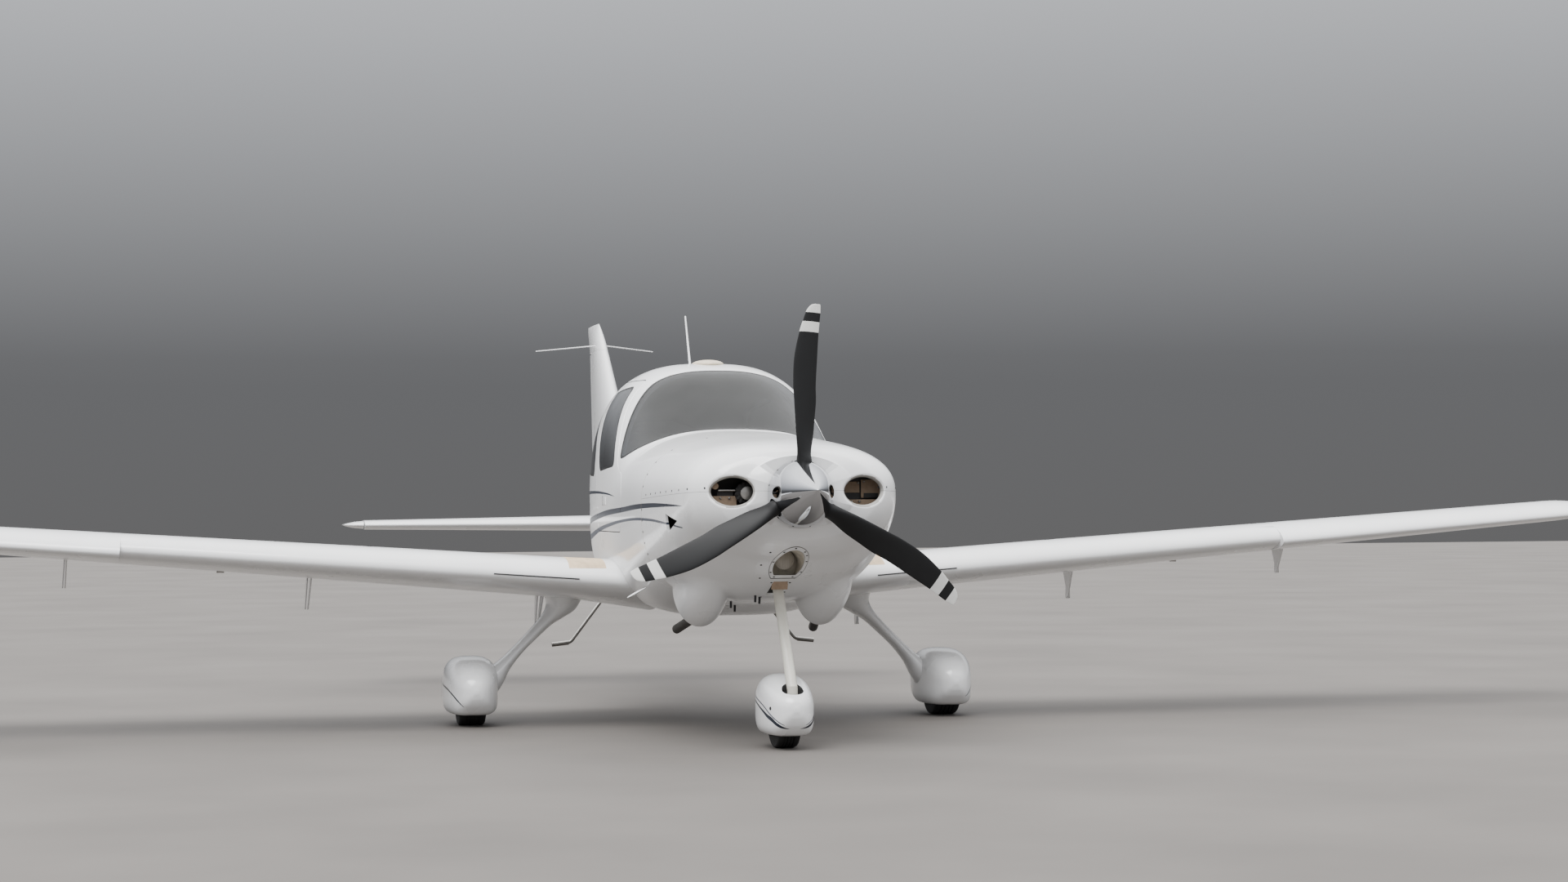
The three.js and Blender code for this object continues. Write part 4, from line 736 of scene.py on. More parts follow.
pane_stations = np.concatenate([np.arange(1.70, 2.36, 0.012), np.arange(2.36, 4.20, 0.03)])
for name, outline_name, body, replaced, flip, low in (
    ("windscreen_pane", "windscreen", "airframe", "windscreen", False, -OUTBOARD),
    ("rear_pane_left", "rear_window", "airframe", "rear_window_left", False, INBOARD),
    ("rear_pane_right", "rear_window", "airframe", "rear_window_right", True, INBOARD),
    ("door_pane_left", "door_window", "door_left", "door_window_left", False, INBOARD),
    ("door_pane_right", "door_window", "door_right", "door_window_right", True, INBOARD),
):
    pane = carve(
        loft_mesh("pane", body_rings(pane_stations, 208, PANE_OUTER)),
        ("DIFFERENCE", loft_mesh("pane_room", body_rings([1.5, *pane_stations[1:-1], 4.4], 208, PANE_INNER))),
        ("INTERSECT", opening(outline_name, PANE_GAP, flip, low)),
    )
    side_view = read_vectors(pane.vertices, "co")[:, 1:] - [PROPELLER_Y, 0]
    corners, radius, edge_at = OPENINGS[outline_name]
    edge = outline_distance(side_view, rounded_outline(np.array(corners) * MM, radius * MM))
    pane.attributes.new("edge", "FLOAT", "POINT").data.foreach_set("value", edge)
    new_piece(name, pane, body, [glass], [replaced])
    shade_skin(pane, lambda points: body_distance(points) + PANE_OUTER)

# Cowling
# An upper and a lower moulding screwed together along the line of the air inlets. The lower one swells into
# a blister over each exhaust, and takes the landing light and the slot that the nose leg comes out of.
COWL_WALL = 0.014
COWL_NOSE = 0.080
BLISTER = {"x": 0.345, "station": 1.106, "z": 0.860, "rise": 0.25}
BLISTER.update({"half": 0.155, "length": 0.450, "depth": 0.227})
VALLEY = 0.05
POLE = 1.566
INLET = {"x": 0.360, "z": 1.386, "half_width": 0.113, "half_height": 0.077, "lip": 0.019}
LAMP = {"z": 0.990, "radius": 0.082, "sill": 0.934, "ring": 0.1}
RING_GAP = 0.0026
LEG_SLOT = {"half": 0.042, "from": 0.5515, "to": 0.790, "top": 0.960}
HUB_HEIGHT = 1.374
SHAFT_HOLE = 0.13
COWL_GAP = 0.0012
COWL_DEPTH = COWL_WALL - 0.004


def blister_distance(points, inward=0.0):
    """How far points lie outside the nearer blister: an ellipsoid whose middle line rises going forward."""
    s = points[..., 1] - PROPELLER_Y
    centre = BLISTER["z"] + BLISTER["rise"] * np.maximum(BLISTER["station"] - s, 0)
    across = (np.abs(points[..., 0]) - BLISTER["x"], s - BLISTER["station"], points[..., 2] - centre)
    sizes = [BLISTER[key] - inward for key in ("half", "length", "depth")]
    reach = np.sqrt(sum((a / b) ** 2 for a, b in zip(across, sizes)))
    slope = np.sqrt(sum((a / b**2) ** 2 for a, b in zip(across, sizes))) / np.maximum(reach, 1e-9)
    return (reach - 1) / np.maximum(slope, 1e-9)


def blister_mesh(side, inward=0.0):
    """One blister's ellipsoid as rings across the aircraft, each lifted to the rising middle line."""
    turn = np.linspace(-POLE, POLE, 60)
    half, length, depth = (BLISTER[key] - inward for key in ("half", "length", "depth"))
    ring = 2 * np.pi * np.arange(96)[None] / 96
    s = (BLISTER["station"] + length * np.sin(turn))[:, None]
    middle = BLISTER["z"] + BLISTER["rise"] * np.maximum(BLISTER["station"] - s, 0)
    x = side * BLISTER["x"] + half * np.cos(turn)[:, None] * np.cos(ring)
    z = middle + depth * np.cos(turn)[:, None] * np.sin(ring)
    return loft_mesh("blister", np.stack([x, np.broadcast_to(s, x.shape) + PROPELLER_Y, z], axis=-1))


def cowl_distance(points):
    """How far points lie outside the cowling's skin: the body or a blister, whichever is nearer."""
    return np.minimum(body_distance(points), blister_distance(points))


def soft_cowl_distance(points):
    """The same with the valley between body and blister rounded, for the shading."""
    body, bump = body_distance(points), blister_distance(points)
    near = np.clip(1 - np.abs(body - bump) / VALLEY, 0, 1)
    return np.minimum(body, bump) - near**2 * VALLEY / 4


def block(name, low, high):
    """A plain block between two corners, given by u or x, station and height."""
    outline = np.array([[low[1], low[2]], [high[1], low[2]], [high[1], high[2]], [low[1], high[2]]])
    return side_prism(name, outline, low[0], high[0])


def tube_mesh(name, path, radius, normal, count=20, closed=True):
    """A round bar along a path: rings across it, each turned to the path's own direction."""
    path = np.asarray(path, dtype=float)
    if closed:
        along = np.roll(path, -1, axis=0) - np.roll(path, 1, axis=0)
    else:
        along = np.gradient(path, axis=0)
    along /= np.linalg.norm(along, axis=1, keepdims=True)
    across = normal - np.einsum("ij,ij->i", normal, along)[:, None] * along
    across /= np.linalg.norm(across, axis=1, keepdims=True)
    over = np.cross(along, across)
    turn = 2 * np.pi * np.arange(count) / count
    reach = np.broadcast_to(np.asarray(radius, dtype=float), (len(path),))[:, None, None]
    rings = path[:, None] + reach * (
        across[:, None] * np.cos(turn)[None, :, None] + over[:, None] * np.sin(turn)[None, :, None]
    )
    return closed_loop(name, rings) if closed else loft_mesh(name, rings)


def round_bar(name, start, end, radius, end_radius=None, count=32):
    """A straight round bar between two points, tapered when its end radius differs."""
    path = np.linspace(start, end, 2)
    direction = path[1] - path[0]
    helper = np.eye(3)[np.argmin(np.abs(direction))]
    radii = np.array([radius, radius if end_radius is None else end_radius])
    return tube_mesh(name, path, radii, np.broadcast_to(helper, path.shape), count, closed=False)


def skin_station(x, z):
    """The station where a line along the aircraft meets the nose, found by halving the gap forty times."""
    low = np.full_like(x, COWL_NOSE)
    high = np.full_like(x, 1.0)
    for _ in range(40):
        middle = (low + high) / 2
        outside = cowl_distance(np.stack([x, middle + PROPELLER_Y, z], axis=-1)) > 0
        low = np.where(outside, middle, low)
        high = np.where(outside, high, middle)
    return (low + high) / 2


def stationed(points):
    """Turn places given by x, station and height into the aircraft's own frame."""
    return np.asarray(points, dtype=float) + np.array([0, PROPELLER_Y, 0])


def station_bar(name, start, end, radius, end_radius=None, count=32):
    """A round bar whose ends are given by x, station and height."""
    return round_bar(name, *stationed([start, end]), radius, end_radius, count)


def even_out(values, rounds):
    """Average each row of a closed path with its neighbours a number of times."""
    for _ in range(rounds):
        values = (np.roll(values, 1, axis=0) + 2 * values + np.roll(values, -1, axis=0)) / 4
    return values


def inlet_lip(side):
    """The rolled lip: a round bar just under the skin, along the inlet's ellipse drawn on the nose."""
    turn = 2 * np.pi * np.arange(96) / 96
    x = side * INLET["x"] + (INLET["half_width"] + INLET["lip"]) * np.cos(turn)
    z = INLET["z"] + (INLET["half_height"] + INLET["lip"]) * np.sin(turn)
    y = skin_station(x, z) + PROPELLER_Y
    points = np.stack([x, y, z], axis=-1)
    slope = skin_slope(points, cowl_distance)
    slope[y < PROPELLER_Y + COWL_NOSE + 0.0005] = (0, -1, 0)
    slope = even_out(slope, 12)
    slope /= np.linalg.norm(slope, axis=1, keepdims=True)
    points[:, 1] = even_out(points[:, 1:2], 6)[:, 0]
    return tube_mesh("lip", points - slope * INLET["lip"], INLET["lip"], slope, 28)


def along_bar(name, x, z, low, high):
    """An outline in front view carried along the aircraft from one station to another."""
    return loft_mesh(name, [np.stack([x, np.full(len(x), s + PROPELLER_Y), z], axis=1) for s in (low, high)])


def oval_bar(name, x, z, half_width, half_height, low, high):
    """An oval bar along the aircraft between two stations."""
    turn = 2 * np.pi * np.arange(96) / 96
    return along_bar(name, x + half_width * np.cos(turn), z + half_height * np.sin(turn), low, high)


def split_height(s):
    """The seam between the two halves of the cowling, which slopes down a little going aft."""
    return 1.3906 - 0.036 * s


def lamp_opening(radius, low, high):
    """A bar along the aircraft, round above and flat at the lamp's sill."""
    turn = 2 * np.pi * np.arange(96) / 96
    z = np.maximum(LAMP["z"] + radius * np.sin(turn), LAMP["sill"] + LAMP["radius"] - radius)
    return along_bar("lamp_opening", radius * np.cos(turn), z, low, high)


scoop_side = np.array([[0.425, 1.232], [0.598, 1.272], [0.606, 1.166]])
air_scoop = side_prism("air_scoop", rounded_outline(scoop_side, 0.006, 4), -0.9, -0.4)
slot_low = (-LEG_SLOT["half"], LEG_SLOT["from"], 0.5)
slot_high = (LEG_SLOT["half"], LEG_SLOT["to"], LEG_SLOT["top"])
inlet_sizes = (INLET["half_width"] + INLET["lip"] - 0.001, INLET["half_height"] + INLET["lip"] - 0.001)
fine_rows = (np.arange(COWL_NOSE, 0.14, 0.004), np.arange(0.14, 0.36, 0.008))
cowl_stations = np.concatenate([*fine_rows, np.arange(0.36, FIREWALL, 0.015), [FIREWALL]])
cowl_inner = [0.1, 0.115, 0.13, 0.15, 0.18, 0.22, 0.27, *np.arange(0.33, FIREWALL, 0.04), FIREWALL + 0.03]
inlets = [oval_bar("inlet", way * INLET["x"], INLET["z"], *inlet_sizes, -0.1, 0.5) for way in (1, -1)]
cowl_shell = carve(
    loft_mesh("cowl", body_rings(cowl_stations, 260)),
    *[("UNION", blister_mesh(way)) for way in (1, -1)],
    ("DIFFERENCE", block("behind", (-2, FIREWALL, 0), (2, 3, 3))),
    ("DIFFERENCE", loft_mesh("cowl_room", body_rings(cowl_inner, 160, COWL_WALL))),
    *[("DIFFERENCE", blister_mesh(way, COWL_WALL)) for way in (1, -1)],
    *[("DIFFERENCE", inlet) for inlet in inlets],
    ("DIFFERENCE", oval_bar("shaft_hole", 0, HUB_HEIGHT, SHAFT_HOLE, SHAFT_HOLE, 0, 0.2)),
    ("DIFFERENCE", lamp_opening(LAMP["ring"] + RING_GAP, 0.1, 0.57)),
    ("DIFFERENCE", air_scoop),
    ("DIFFERENCE", block("leg_slot", slot_low, slot_high)),
    *[("UNION", inlet_lip(way)) for way in (1, -1)],
)
cowl_inside = new_material("cowl_inside", (0.35, 0.34, 0.32), 0.7, stain=0.4, scale=4)[0]
for label, gap, edge in (("upper", COWL_GAP, 2.2), ("lower", 0.0, 0.2)):
    ends = (0.0, 1.3)
    outline = np.array([*[(s, split_height(s) + gap) for s in ends], *[(s, edge) for s in ends[::-1]]])
    half = carve(cowl_shell.copy(), ("INTERSECT", side_prism("half", outline, -1.2, 1.2)))
    finishes = [body_paint, cowl_inside]
    new_piece("cowling_" + label, half, "airframe", finishes, ["cowl_" + label])
    finish_skin(half, COWL_DEPTH, cowl_distance, COWL_NOSE + 0.004, soft_cowl_distance)


def skin_at(s, z, side=1):
    """Points on the skin at stations and heights on one side, the ray's angle found by halving."""
    s, z = (np.array(values, dtype=float) for values in np.broadcast_arrays(s, z))
    middle = curve_value(BODY_SECTIONS, 2, s)
    low = np.full(s.shape, -np.pi / 2)
    high = np.full(s.shape, np.pi / 2)
    for _ in range(40):
        angle = (low + high) / 2
        under = middle + body_radius(s, angle) * np.sin(angle) < z
        low = np.where(under, angle, low)
        high = np.where(under, high, angle)
    reach = body_radius(s, angle)
    return np.stack([side * reach * np.cos(angle), s + PROPELLER_Y, middle + reach * np.sin(angle)], axis=-1)


def screw_heads(name, places, outward, radius=0.0058, height=0.0018, count=8):
    """Low domed heads: three rings about each place, square to its outward direction."""
    outward = outward / np.linalg.norm(outward, axis=1, keepdims=True)
    helper = np.where(np.abs(outward[:, :1]) < 0.8, [[1.0, 0, 0]], [[0, 1.0, 0]])
    across = np.cross(outward, helper)
    across /= np.linalg.norm(across, axis=1, keepdims=True)
    over = np.cross(outward, across)
    turn = 2 * np.pi * np.arange(count) / count
    flat = across[:, None] * np.cos(turn)[None, :, None] + over[:, None] * np.sin(turn)[None, :, None]
    share = np.array([[1.0, -0.4], [1.0, 0.5], [0.55, 1.0]])
    rings = (
        places[:, None, None]
        + radius * share[None, :, :1, None] * flat[:, None]
        + height * share[None, :, 1:, None] * outward[:, None, None]
    )
    start = np.arange(len(places))[:, None, None] * 3 * count
    sides = (grid_faces(3, count)[None] + start).reshape(-1, 4)
    first = np.arange(count)[None, None]
    bottoms = (first[..., ::-1] + start).reshape(-1, count)
    tops = (first + 2 * count + start).reshape(-1, count)
    mesh = bpy.data.meshes.new(name)
    mesh.from_pydata(rings.reshape(-1, 3).tolist(), [], [*sides.tolist(), *bottoms.tolist(), *tops.tolist()])
    return mesh


def joined(name, meshes):
    """Several closed solids as one mesh."""
    together = bmesh.new()
    for mesh in meshes:
        together.from_mesh(mesh)
    bmesh.ops.recalc_face_normals(together, faces=together.faces)
    whole = bpy.data.meshes.new(name)
    together.to_mesh(whole)
    together.free()
    return whole


def skin_patch(name, stations, heights, side=1, outside=0.001, inside=0.004, rows=8):
    """A thin plate that follows the body's side between two stations and two heights."""
    s, z = np.meshgrid(np.linspace(*stations, rows), np.linspace(*heights, rows), indexing="ij")
    points = skin_at(s, z, side)
    outward = skin_slope(points.reshape(-1, 3), body_distance).reshape(points.shape)
    below = (points - inside * outward)[:, ::-1]
    return loft_mesh(name, np.concatenate([points + outside * outward, below], axis=1))


screw_metal = new_material("screw_metal", (0.018, 0.018, 0.02), 0.7, stain=0.3, scale=20, metallic=0.3)[0]
REAR_SCREWS = 1.096
seam_runs = [np.arange(0.16, 1.09, 0.105), np.full(8, REAR_SCREWS), np.full(5, REAR_SCREWS)]
seam_heights = [
    split_height(seam_runs[0]) + 0.020,
    np.linspace(0.86, split_height(REAR_SCREWS) - 0.06, 8),
    np.linspace(split_height(REAR_SCREWS) + 0.07, 1.69, 5),
]
seam_screws = [skin_at(s, z, way) for s, z in zip(seam_runs, seam_heights) for way in (1, -1)]
along_seams = np.concatenate(seam_screws)
heads = screw_heads("screws", along_seams, skin_slope(along_seams, cowl_distance))
new_piece("cowling_screws", heads, "airframe", [screw_metal])

# Handles and latches
# Each door has a flush paddle with a near-black patch behind it, painted shade for its finger slot; the hatch
# has two round key latches.
# The finger slot is not cut: a thin near-black patch on the skin is painted shade in its place
slot_painted_shade = new_material("handle_slot_painted_shade", (0.03, 0.03, 0.03), 0.6, stain=0.3, scale=10)[0]
for label, way in (("left", 1), ("right", -1)):
    slot_patch = skin_patch("slot", (2.402, 2.424), (1.316, 1.372), way, 0.0006)
    add_piece("handle_slot_" + label, slot_patch, "door_" + label, [slot_painted_shade])
    paddle = skin_patch("paddle", (2.300, 2.399), (1.322, 1.366), way, 0.0028)
    add_piece("handle_paddle_" + label, paddle, "door_" + label, [paint])
latch_places = skin_at([4.22, 4.22], [1.22, 1.40])
latches = screw_heads("latches", latch_places, skin_slope(latch_places, body_distance), 0.013, 0.003, 20)
new_piece("hatch_latches", latches, "baggage_door", [screw_metal])

# Landing lamp and leg slot
# A round lamp sits back in a dull moulded recess, whose screwed ring is let into the lower cowling. Below it
# the nose leg comes out of a slot with a lined box around it.
LENS = {"radius": 0.055, "z": 1.018, "station": 0.480}


def lathe_rings(profile, count, axis=1):
    """Rings about an axis from a profile of radius and place along the axis."""
    turn = 2 * np.pi * np.arange(count) / count
    profile = np.asarray(profile, dtype=float)
    radius = profile[:, :1]
    rings = np.empty((len(profile), count, 3))
    others = [k for k in range(3) if k != axis]
    rings[..., axis] = profile[:, 1:]
    rings[..., others[0]] = radius * np.cos(turn)
    rings[..., others[1]] = radius * np.sin(turn)
    return rings


def smooth_path(points, count=60, stiff=6):
    """Points evenly along a bent line, with its bends rounded by averaging."""
    points = np.asarray(points, dtype=float)
    along = np.concatenate([[0], np.cumsum(np.linalg.norm(np.diff(points, axis=0), axis=1))])
    even = np.linspace(0, along[-1], count)
    path = np.stack([np.interp(even, along, points[:, k]) for k in range(3)], axis=1)
    for _ in range(stiff):
        path[1:-1] = (path[:-2] + 2 * path[1:-1] + path[2:]) / 4
    return path


def add_ribs(tree, scale, across):
    """The value of even ribs across an axis."""
    where = {"Vector": object_place(tree), "Scale": scale}
    return add_node(tree, "TexWave", where, bands_direction=across).outputs["Fac"]


ring = carve(
    lamp_opening(LAMP["ring"] - 0.0010, 0.1, 0.56),
    ("DIFFERENCE", lamp_opening(LAMP["radius"] + 0.0004, 0.0, 0.6)),
    ("INTERSECT", loft_mesh("layer", body_rings(cowl_stations, 200, -0.0012))),
    ("DIFFERENCE", loft_mesh("under", body_rings(cowl_inner, 160, 0.010))),
)
add_piece("lamp_ring", ring, "airframe", [paint])
recess = carve(
    lamp_opening(LAMP["radius"] + 0.0030, 0.1, 0.545),
    ("DIFFERENCE", lamp_opening(LAMP["radius"] - 0.0004, 0.0, 0.540)),
    ("INTERSECT", loft_mesh("layer", body_rings(cowl_inner, 200, COWL_WALL - 0.001))),
)
lining = new_material("recess_lining", (0.58, 0.54, 0.46), 0.75, stain=0.35, scale=6, bump=0.2)[0]
add_piece("lamp_recess", recess, "airframe", [lining])
lamp_axis = np.array([0, LENS["station"] + PROPELLER_Y, LENS["z"]])
bowl_share = np.linspace(0, 1, 12)
bowl = np.stack([LENS["radius"] * np.sqrt(1 - (bowl_share * 0.95) ** 2), 0.060 * bowl_share], axis=1)
bowl = np.concatenate([[[LENS["radius"] - 0.004, -0.004]], [[LENS["radius"], -0.004]], bowl])
lamp_body = loft_mesh("lamp", lathe_rings(bowl, 48) + lamp_axis)
dome = [(LENS["radius"] * 0.93 * np.cos(t), -0.004 - 0.012 * np.sin(t)) for t in np.linspace(0, 1.5, 10)]
lamp_glass = loft_mesh("lamp_glass", lathe_rings(dome, 48) + lamp_axis)
lamp_finish, lamp_tree, lamp_shader, _ = new_material(
    "lamp_glass", (0.40, 0.37, 0.32), 0.25, stain=0.2, coat=0.8
)
add_relief(lamp_tree, lamp_shader, add_ribs(lamp_tree, 45, "X"), 0.5, 0.002)
stalk = round_bar("stalk", *(lamp_axis + [[0, 0.04, 0.03], [0, 0.04, 0.13]]), 0.012)
lamp_unit = joined("lamp_unit", [lamp_body, lamp_glass, stalk])
add_piece("landing_lamp", lamp_unit, "airframe", [lamp_finish], ["landing_light"])
box_low = (-LEG_SLOT["half"] - 0.006, LEG_SLOT["from"] - 0.006, 0.7)
box_high = (LEG_SLOT["half"] + 0.006, LEG_SLOT["to"] + 0.006, LEG_SLOT["top"])
leg_box = carve(
    block("leg_box", box_low, box_high),
    ("DIFFERENCE", block("room", np.add(box_low, (0.004, 0.004, -0.1)), np.subtract(box_high, 0.004))),
    ("INTERSECT", loft_mesh("layer", body_rings(cowl_inner, 200, COWL_WALL - 0.001))),
    ("DIFFERENCE", station_bar("leg_gap", (0, 0.288, 0.324), (0, 0.792, 1.085), 0.034)),
)
well_dark = new_material("well_inside", (0.06, 0.06, 0.06), 0.8, stain=0.4, scale=5)[0]
new_piece("leg_slot_box", leg_box, "airframe", [well_dark])
plate_side = np.array([(0.548, 0.950), (0.552, 0.950), (0.604, 0.852), (0.600, 0.852)])
plate_half = LEG_SLOT["half"] + 0.003
slot_plate = side_prism("slot_plate", plate_side, -plate_half, plate_half)
tan = new_material("baffle_tan", (0.40, 0.29, 0.20), 0.7, stain=0.3, scale=6, bump=0.2)[0]
new_piece("slot_plate", slot_plate, "airframe", [tan])
SCREW_CIRCLE = 0.0925
ring_turn = np.radians([90, 52, 12, -25, 128, 168, 205, 35])
ring_x, ring_rise = SCREW_CIRCLE * np.cos(ring_turn), SCREW_CIRCLE * np.sin(ring_turn)
ring_screws = np.stack([ring_x, LAMP["z"] + ring_rise], axis=1)
other_screws = [
    # x and height: three pairs beside the sill and the slot, then three outside the ring to starboard
    [-0.055, 0.925], [0.048, 0.925], [-0.052, 0.892], [0.052, 0.890], [0.053, 0.835], [-0.056, 0.806],
    [-0.130, 1.062], [-0.150, 0.992], [-0.128, 0.918],
]
x, z = np.concatenate([ring_screws, other_screws]).T
spots = np.stack([x, skin_station(x, z) + PROPELLER_Y, z], axis=1)
heads = screw_heads("screws", spots, skin_slope(spots, cowl_distance), 0.0062, 0.0030)
new_piece("lamp_screws", heads, "airframe", [screw_metal])

# Belly drains
# Short steel drain and breather tubes that end just under the lower cowling, aft of the nose leg.
DRAIN_RADIUS = 0.0065
DRAINS = np.array(
    [[-0.228, 0.809, 0.745], [-0.111, 0.600, 0.773], [-0.160, 1.040, 0.715], [-0.141, 0.567, 0.783]]
)
drain_parts = []
for foot in DRAINS:
    drain_ends = (foot + [0, 0, 0.04], foot + [0, 0.004, 0.003])
    drain_parts.append(station_bar("drain", *drain_ends, DRAIN_RADIUS, count=12))
add_piece("belly_drains", joined("drains", drain_parts), "airframe", [screw_metal])

# Engine
# A flat six: a cast crankcase with three finned cylinders a side, behind tan sheet baffles that turn the
# inlets' air down past the fins. A belt-driven alternator sits just inside the starboard inlet.
CYLINDERS = {"axis": 1.335, "stations": (0.42, 0.60, 0.78), "root": 0.12, "fin": 0.072, "barrel": 0.056}
FIN_PITCH = 0.018
cast = new_material("cast_metal", (0.20, 0.20, 0.195), 0.5, stain=0.4, scale=6, metallic=0.7, bump=0.3)[0]
steel = new_material("bare_steel", (0.42, 0.41, 0.39), 0.4, stain=0.35, scale=5, metallic=1.0)[0]
# Near-black metal for the alternator's case and the panel knobs, also used as painted shade on the sheets
# deep in the inlets
black_metal_and_shade = new_material("black_metal_and_shade", (0.035, 0.033, 0.032), 0.55, stain=0.4, scale=8)[0]
case_side = rounded_outline([[0.30, 1.22], [1.0, 1.22], [1.0, 1.47], [0.36, 1.47], [0.30, 1.42]], 0.04, 6)
sump_side = rounded_outline([[0.44, 1.14], [0.92, 1.14], [0.98, 1.23], [0.40, 1.23]], 0.03, 6)
engine_parts = [side_prism("case", case_side, -0.13, 0.13), side_prism("sump", sump_side, -0.11, 0.11)]
barrel = [(0.054, CYLINDERS["root"])]
for k in range(10):
    fin_at = CYLINDERS["root"] + 0.008 + FIN_PITCH * k
    barrel += [(CYLINDERS["barrel"], fin_at), (CYLINDERS["fin"], fin_at + 0.001)]
    barrel += [(CYLINDERS["fin"], fin_at + 0.004), (CYLINDERS["barrel"], fin_at + 0.005)]
barrel += [(0.070, 0.310), (0.070, 0.366), (0.040, 0.380)]
for s in CYLINDERS["stations"]:
    for way in (1, -1):
        rings = lathe_rings([(r, way * x) for r, x in barrel], 24, axis=0)
        engine_parts.append(loft_mesh("barrel", rings + [0, s + PROPELLER_Y, CYLINDERS["axis"]]))
for way in (1, -1):
    mount_ends = ((way * 0.28, FIREWALL + 0.002, 1.25), (way * 0.11, 0.97, 1.30))
    engine_parts.append(station_bar("mount", *mount_ends, 0.014, count=14))
add_piece("engine_unit", joined("engine", engine_parts), "airframe", [cast], ["engine_block"])


# Sheets across the aircraft, as low and high x, station, low and high z
SHEET_THICKNESS = 0.002
TAN_SHEETS = [
    (0.290, 0.370, 0.262, 1.377, 1.436), (0.377, 0.482, 0.255, 1.349, 1.446),
    (0.270, 0.495, 0.235, 1.296, 1.340), (-0.440, -0.312, 0.220, 1.300, 1.363),
]
# Near-black sheets deep in the inlets, behind and between the tan baffles: painted shade that stands for the
# dark room there
INLET_SHADE_SHEETS = [
    (0.391, 0.470, 0.250, 1.350, 1.374), (-0.415, -0.330, 0.226, 1.363, 1.386),
    (0.250, 0.500, 0.270, 1.30, 1.47), (-0.500, -0.200, 0.330, 1.30, 1.47),
]
BOLTS = [
    (0.300, 0.255, 1.428), (0.362, 0.255, 1.428), (0.392, 0.249, 1.436), (0.472, 0.249, 1.405),
    (0.362, 0.228, 1.330), (0.318, 0.228, 1.330), (0.470, 0.228, 1.330),
    (-0.400, 0.214, 1.352), (-0.352, 0.214, 1.352),
]


def sheets(rows):
    """Thin upright blocks, one for each row."""
    return [
        block("sheet", (x_low, s, z_low), (x_high, s + SHEET_THICKNESS, z_high))
        for x_low, x_high, s, z_low, z_high in rows
    ]


shelves = [
    block("shelf", (-0.47, 0.222, 1.298), (-0.20, 0.40, 1.301)),
    block("shelf", (0.20, 0.237, 1.298), (0.49, 0.40, 1.301)),
]
knob = station_bar("knob", (-0.430, 0.200, 1.416), (-0.430, 0.260, 1.416), 0.018, count=20)
baffles = joined("baffles", [*sheets(TAN_SHEETS), *shelves, knob])
add_piece("engine_baffles", baffles, "airframe", [tan])
bolts = stationed(BOLTS)
bolt_heads = screw_heads("bolts", bolts, np.broadcast_to((0.0, -1, 0), bolts.shape), 0.006, 0.004)
pipe = station_bar("pipe", (-0.415, 0.200, 1.393), (-0.324, 0.200, 1.393), 0.0062, count=16)
add_piece("inlet_fittings", joined("inlet_steel", [bolt_heads, pipe]), "airframe", [steel])
add_piece("inlet_shadows", joined("dark", sheets(INLET_SHADE_SHEETS)), "airframe", [black_metal_and_shade])
ALTERNATOR = np.array([-0.262, PROPELLER_Y, 1.377])
FAN_TEETH = 14
fan_count = 4 * FAN_TEETH
fan_radius = np.where(np.arange(fan_count) % 4 < 2, 0.062, 0.048)
fan_turn = 2 * np.pi * np.arange(fan_count) / fan_count
fan_x, fan_z = fan_radius * np.cos(fan_turn), fan_radius * np.sin(fan_turn)
fan_edge = np.stack([fan_x, np.zeros(fan_count), fan_z], axis=1)
fan_rings = [fan_edge * (0.5, 1, 0.5) + (0, 0.196, 0), fan_edge + (0, 0.200, 0), fan_edge + (0, 0.210, 0)]
case_profile = [(0.030, 0.208), (0.058, 0.212), (0.061, 0.222), (0.061, 0.31), (0.05, 0.32)]
pulley_profile = [
    (0.016, 0.162), (0.036, 0.165), (0.036, 0.169), (0.028, 0.174), (0.036, 0.180), (0.036, 0.186),
    (0.02, 0.198),
]
fan = loft_mesh("fan", fan_rings)
case = loft_mesh("case", lathe_rings(case_profile, 40))
alternator = joined("alternator", [fan, case])
pulley = loft_mesh("pulley", lathe_rings(pulley_profile, 40))
for kind, mesh, finish in (("case", alternator, black_metal_and_shade), ("pulley", pulley, steel)):
    mesh.transform(Matrix.Translation(ALTERNATOR))
    add_piece("alternator_" + kind, mesh, "airframe", [finish])

# Exhausts
# A welded steel pipe a side. It drops behind the blister and trails aft as a short stub with an open mouth,
# and hangs from the engine.
EXHAUST_PATH = [(0.330, 1.066, 1.150), (0.330, 1.066, 0.704), (0.348, 1.200, 0.690), (0.402, 1.535, 0.604)]
PIPE_RADIUS = 0.027
PIPE_WALL = 0.0035


def bent_bar(name, path, radius, across, count):
    """A round bar along a path, its sections turned from one direction across it."""
    return tube_mesh(name, path, radius, np.broadcast_to(across, path.shape), count, closed=False)


exhaust_steel = new_material("sooty_steel", (0.10, 0.095, 0.09), 0.5, stain=0.5, scale=7, metallic=0.8)[0]
exhaust_path = smooth_path(stationed(EXHAUST_PATH), 110, 14)
mouth = exhaust_path[-1] - exhaust_path[-2]
bore_path = np.concatenate([exhaust_path[60:], exhaust_path[-1:] + mouth * 3])
exhaust = carve(
    bent_bar("exhaust", exhaust_path, PIPE_RADIUS, (1.0, 0, 0.05), 36),
    ("DIFFERENCE", bent_bar("bore", bore_path, PIPE_RADIUS - PIPE_WALL, (1.0, 0, 0.05), 36)),
)


def place_pair(name, mesh, bodies, materials, replaced=()):
    """Place a port mesh and its mirror image. Bodies and replaced nodes take _left and _right when they end
    in an underscore."""
    for label, shape in (("left", mesh), ("right", mirrored(mesh))):
        body = bodies + label if bodies.endswith("_") else bodies
        nodes = [node + label for node in replaced]
        add_piece(name + "_" + label, shape, body, materials, nodes)


place_pair("exhaust_stub", exhaust, "airframe", [exhaust_steel], ["exhaust_pipe_"])

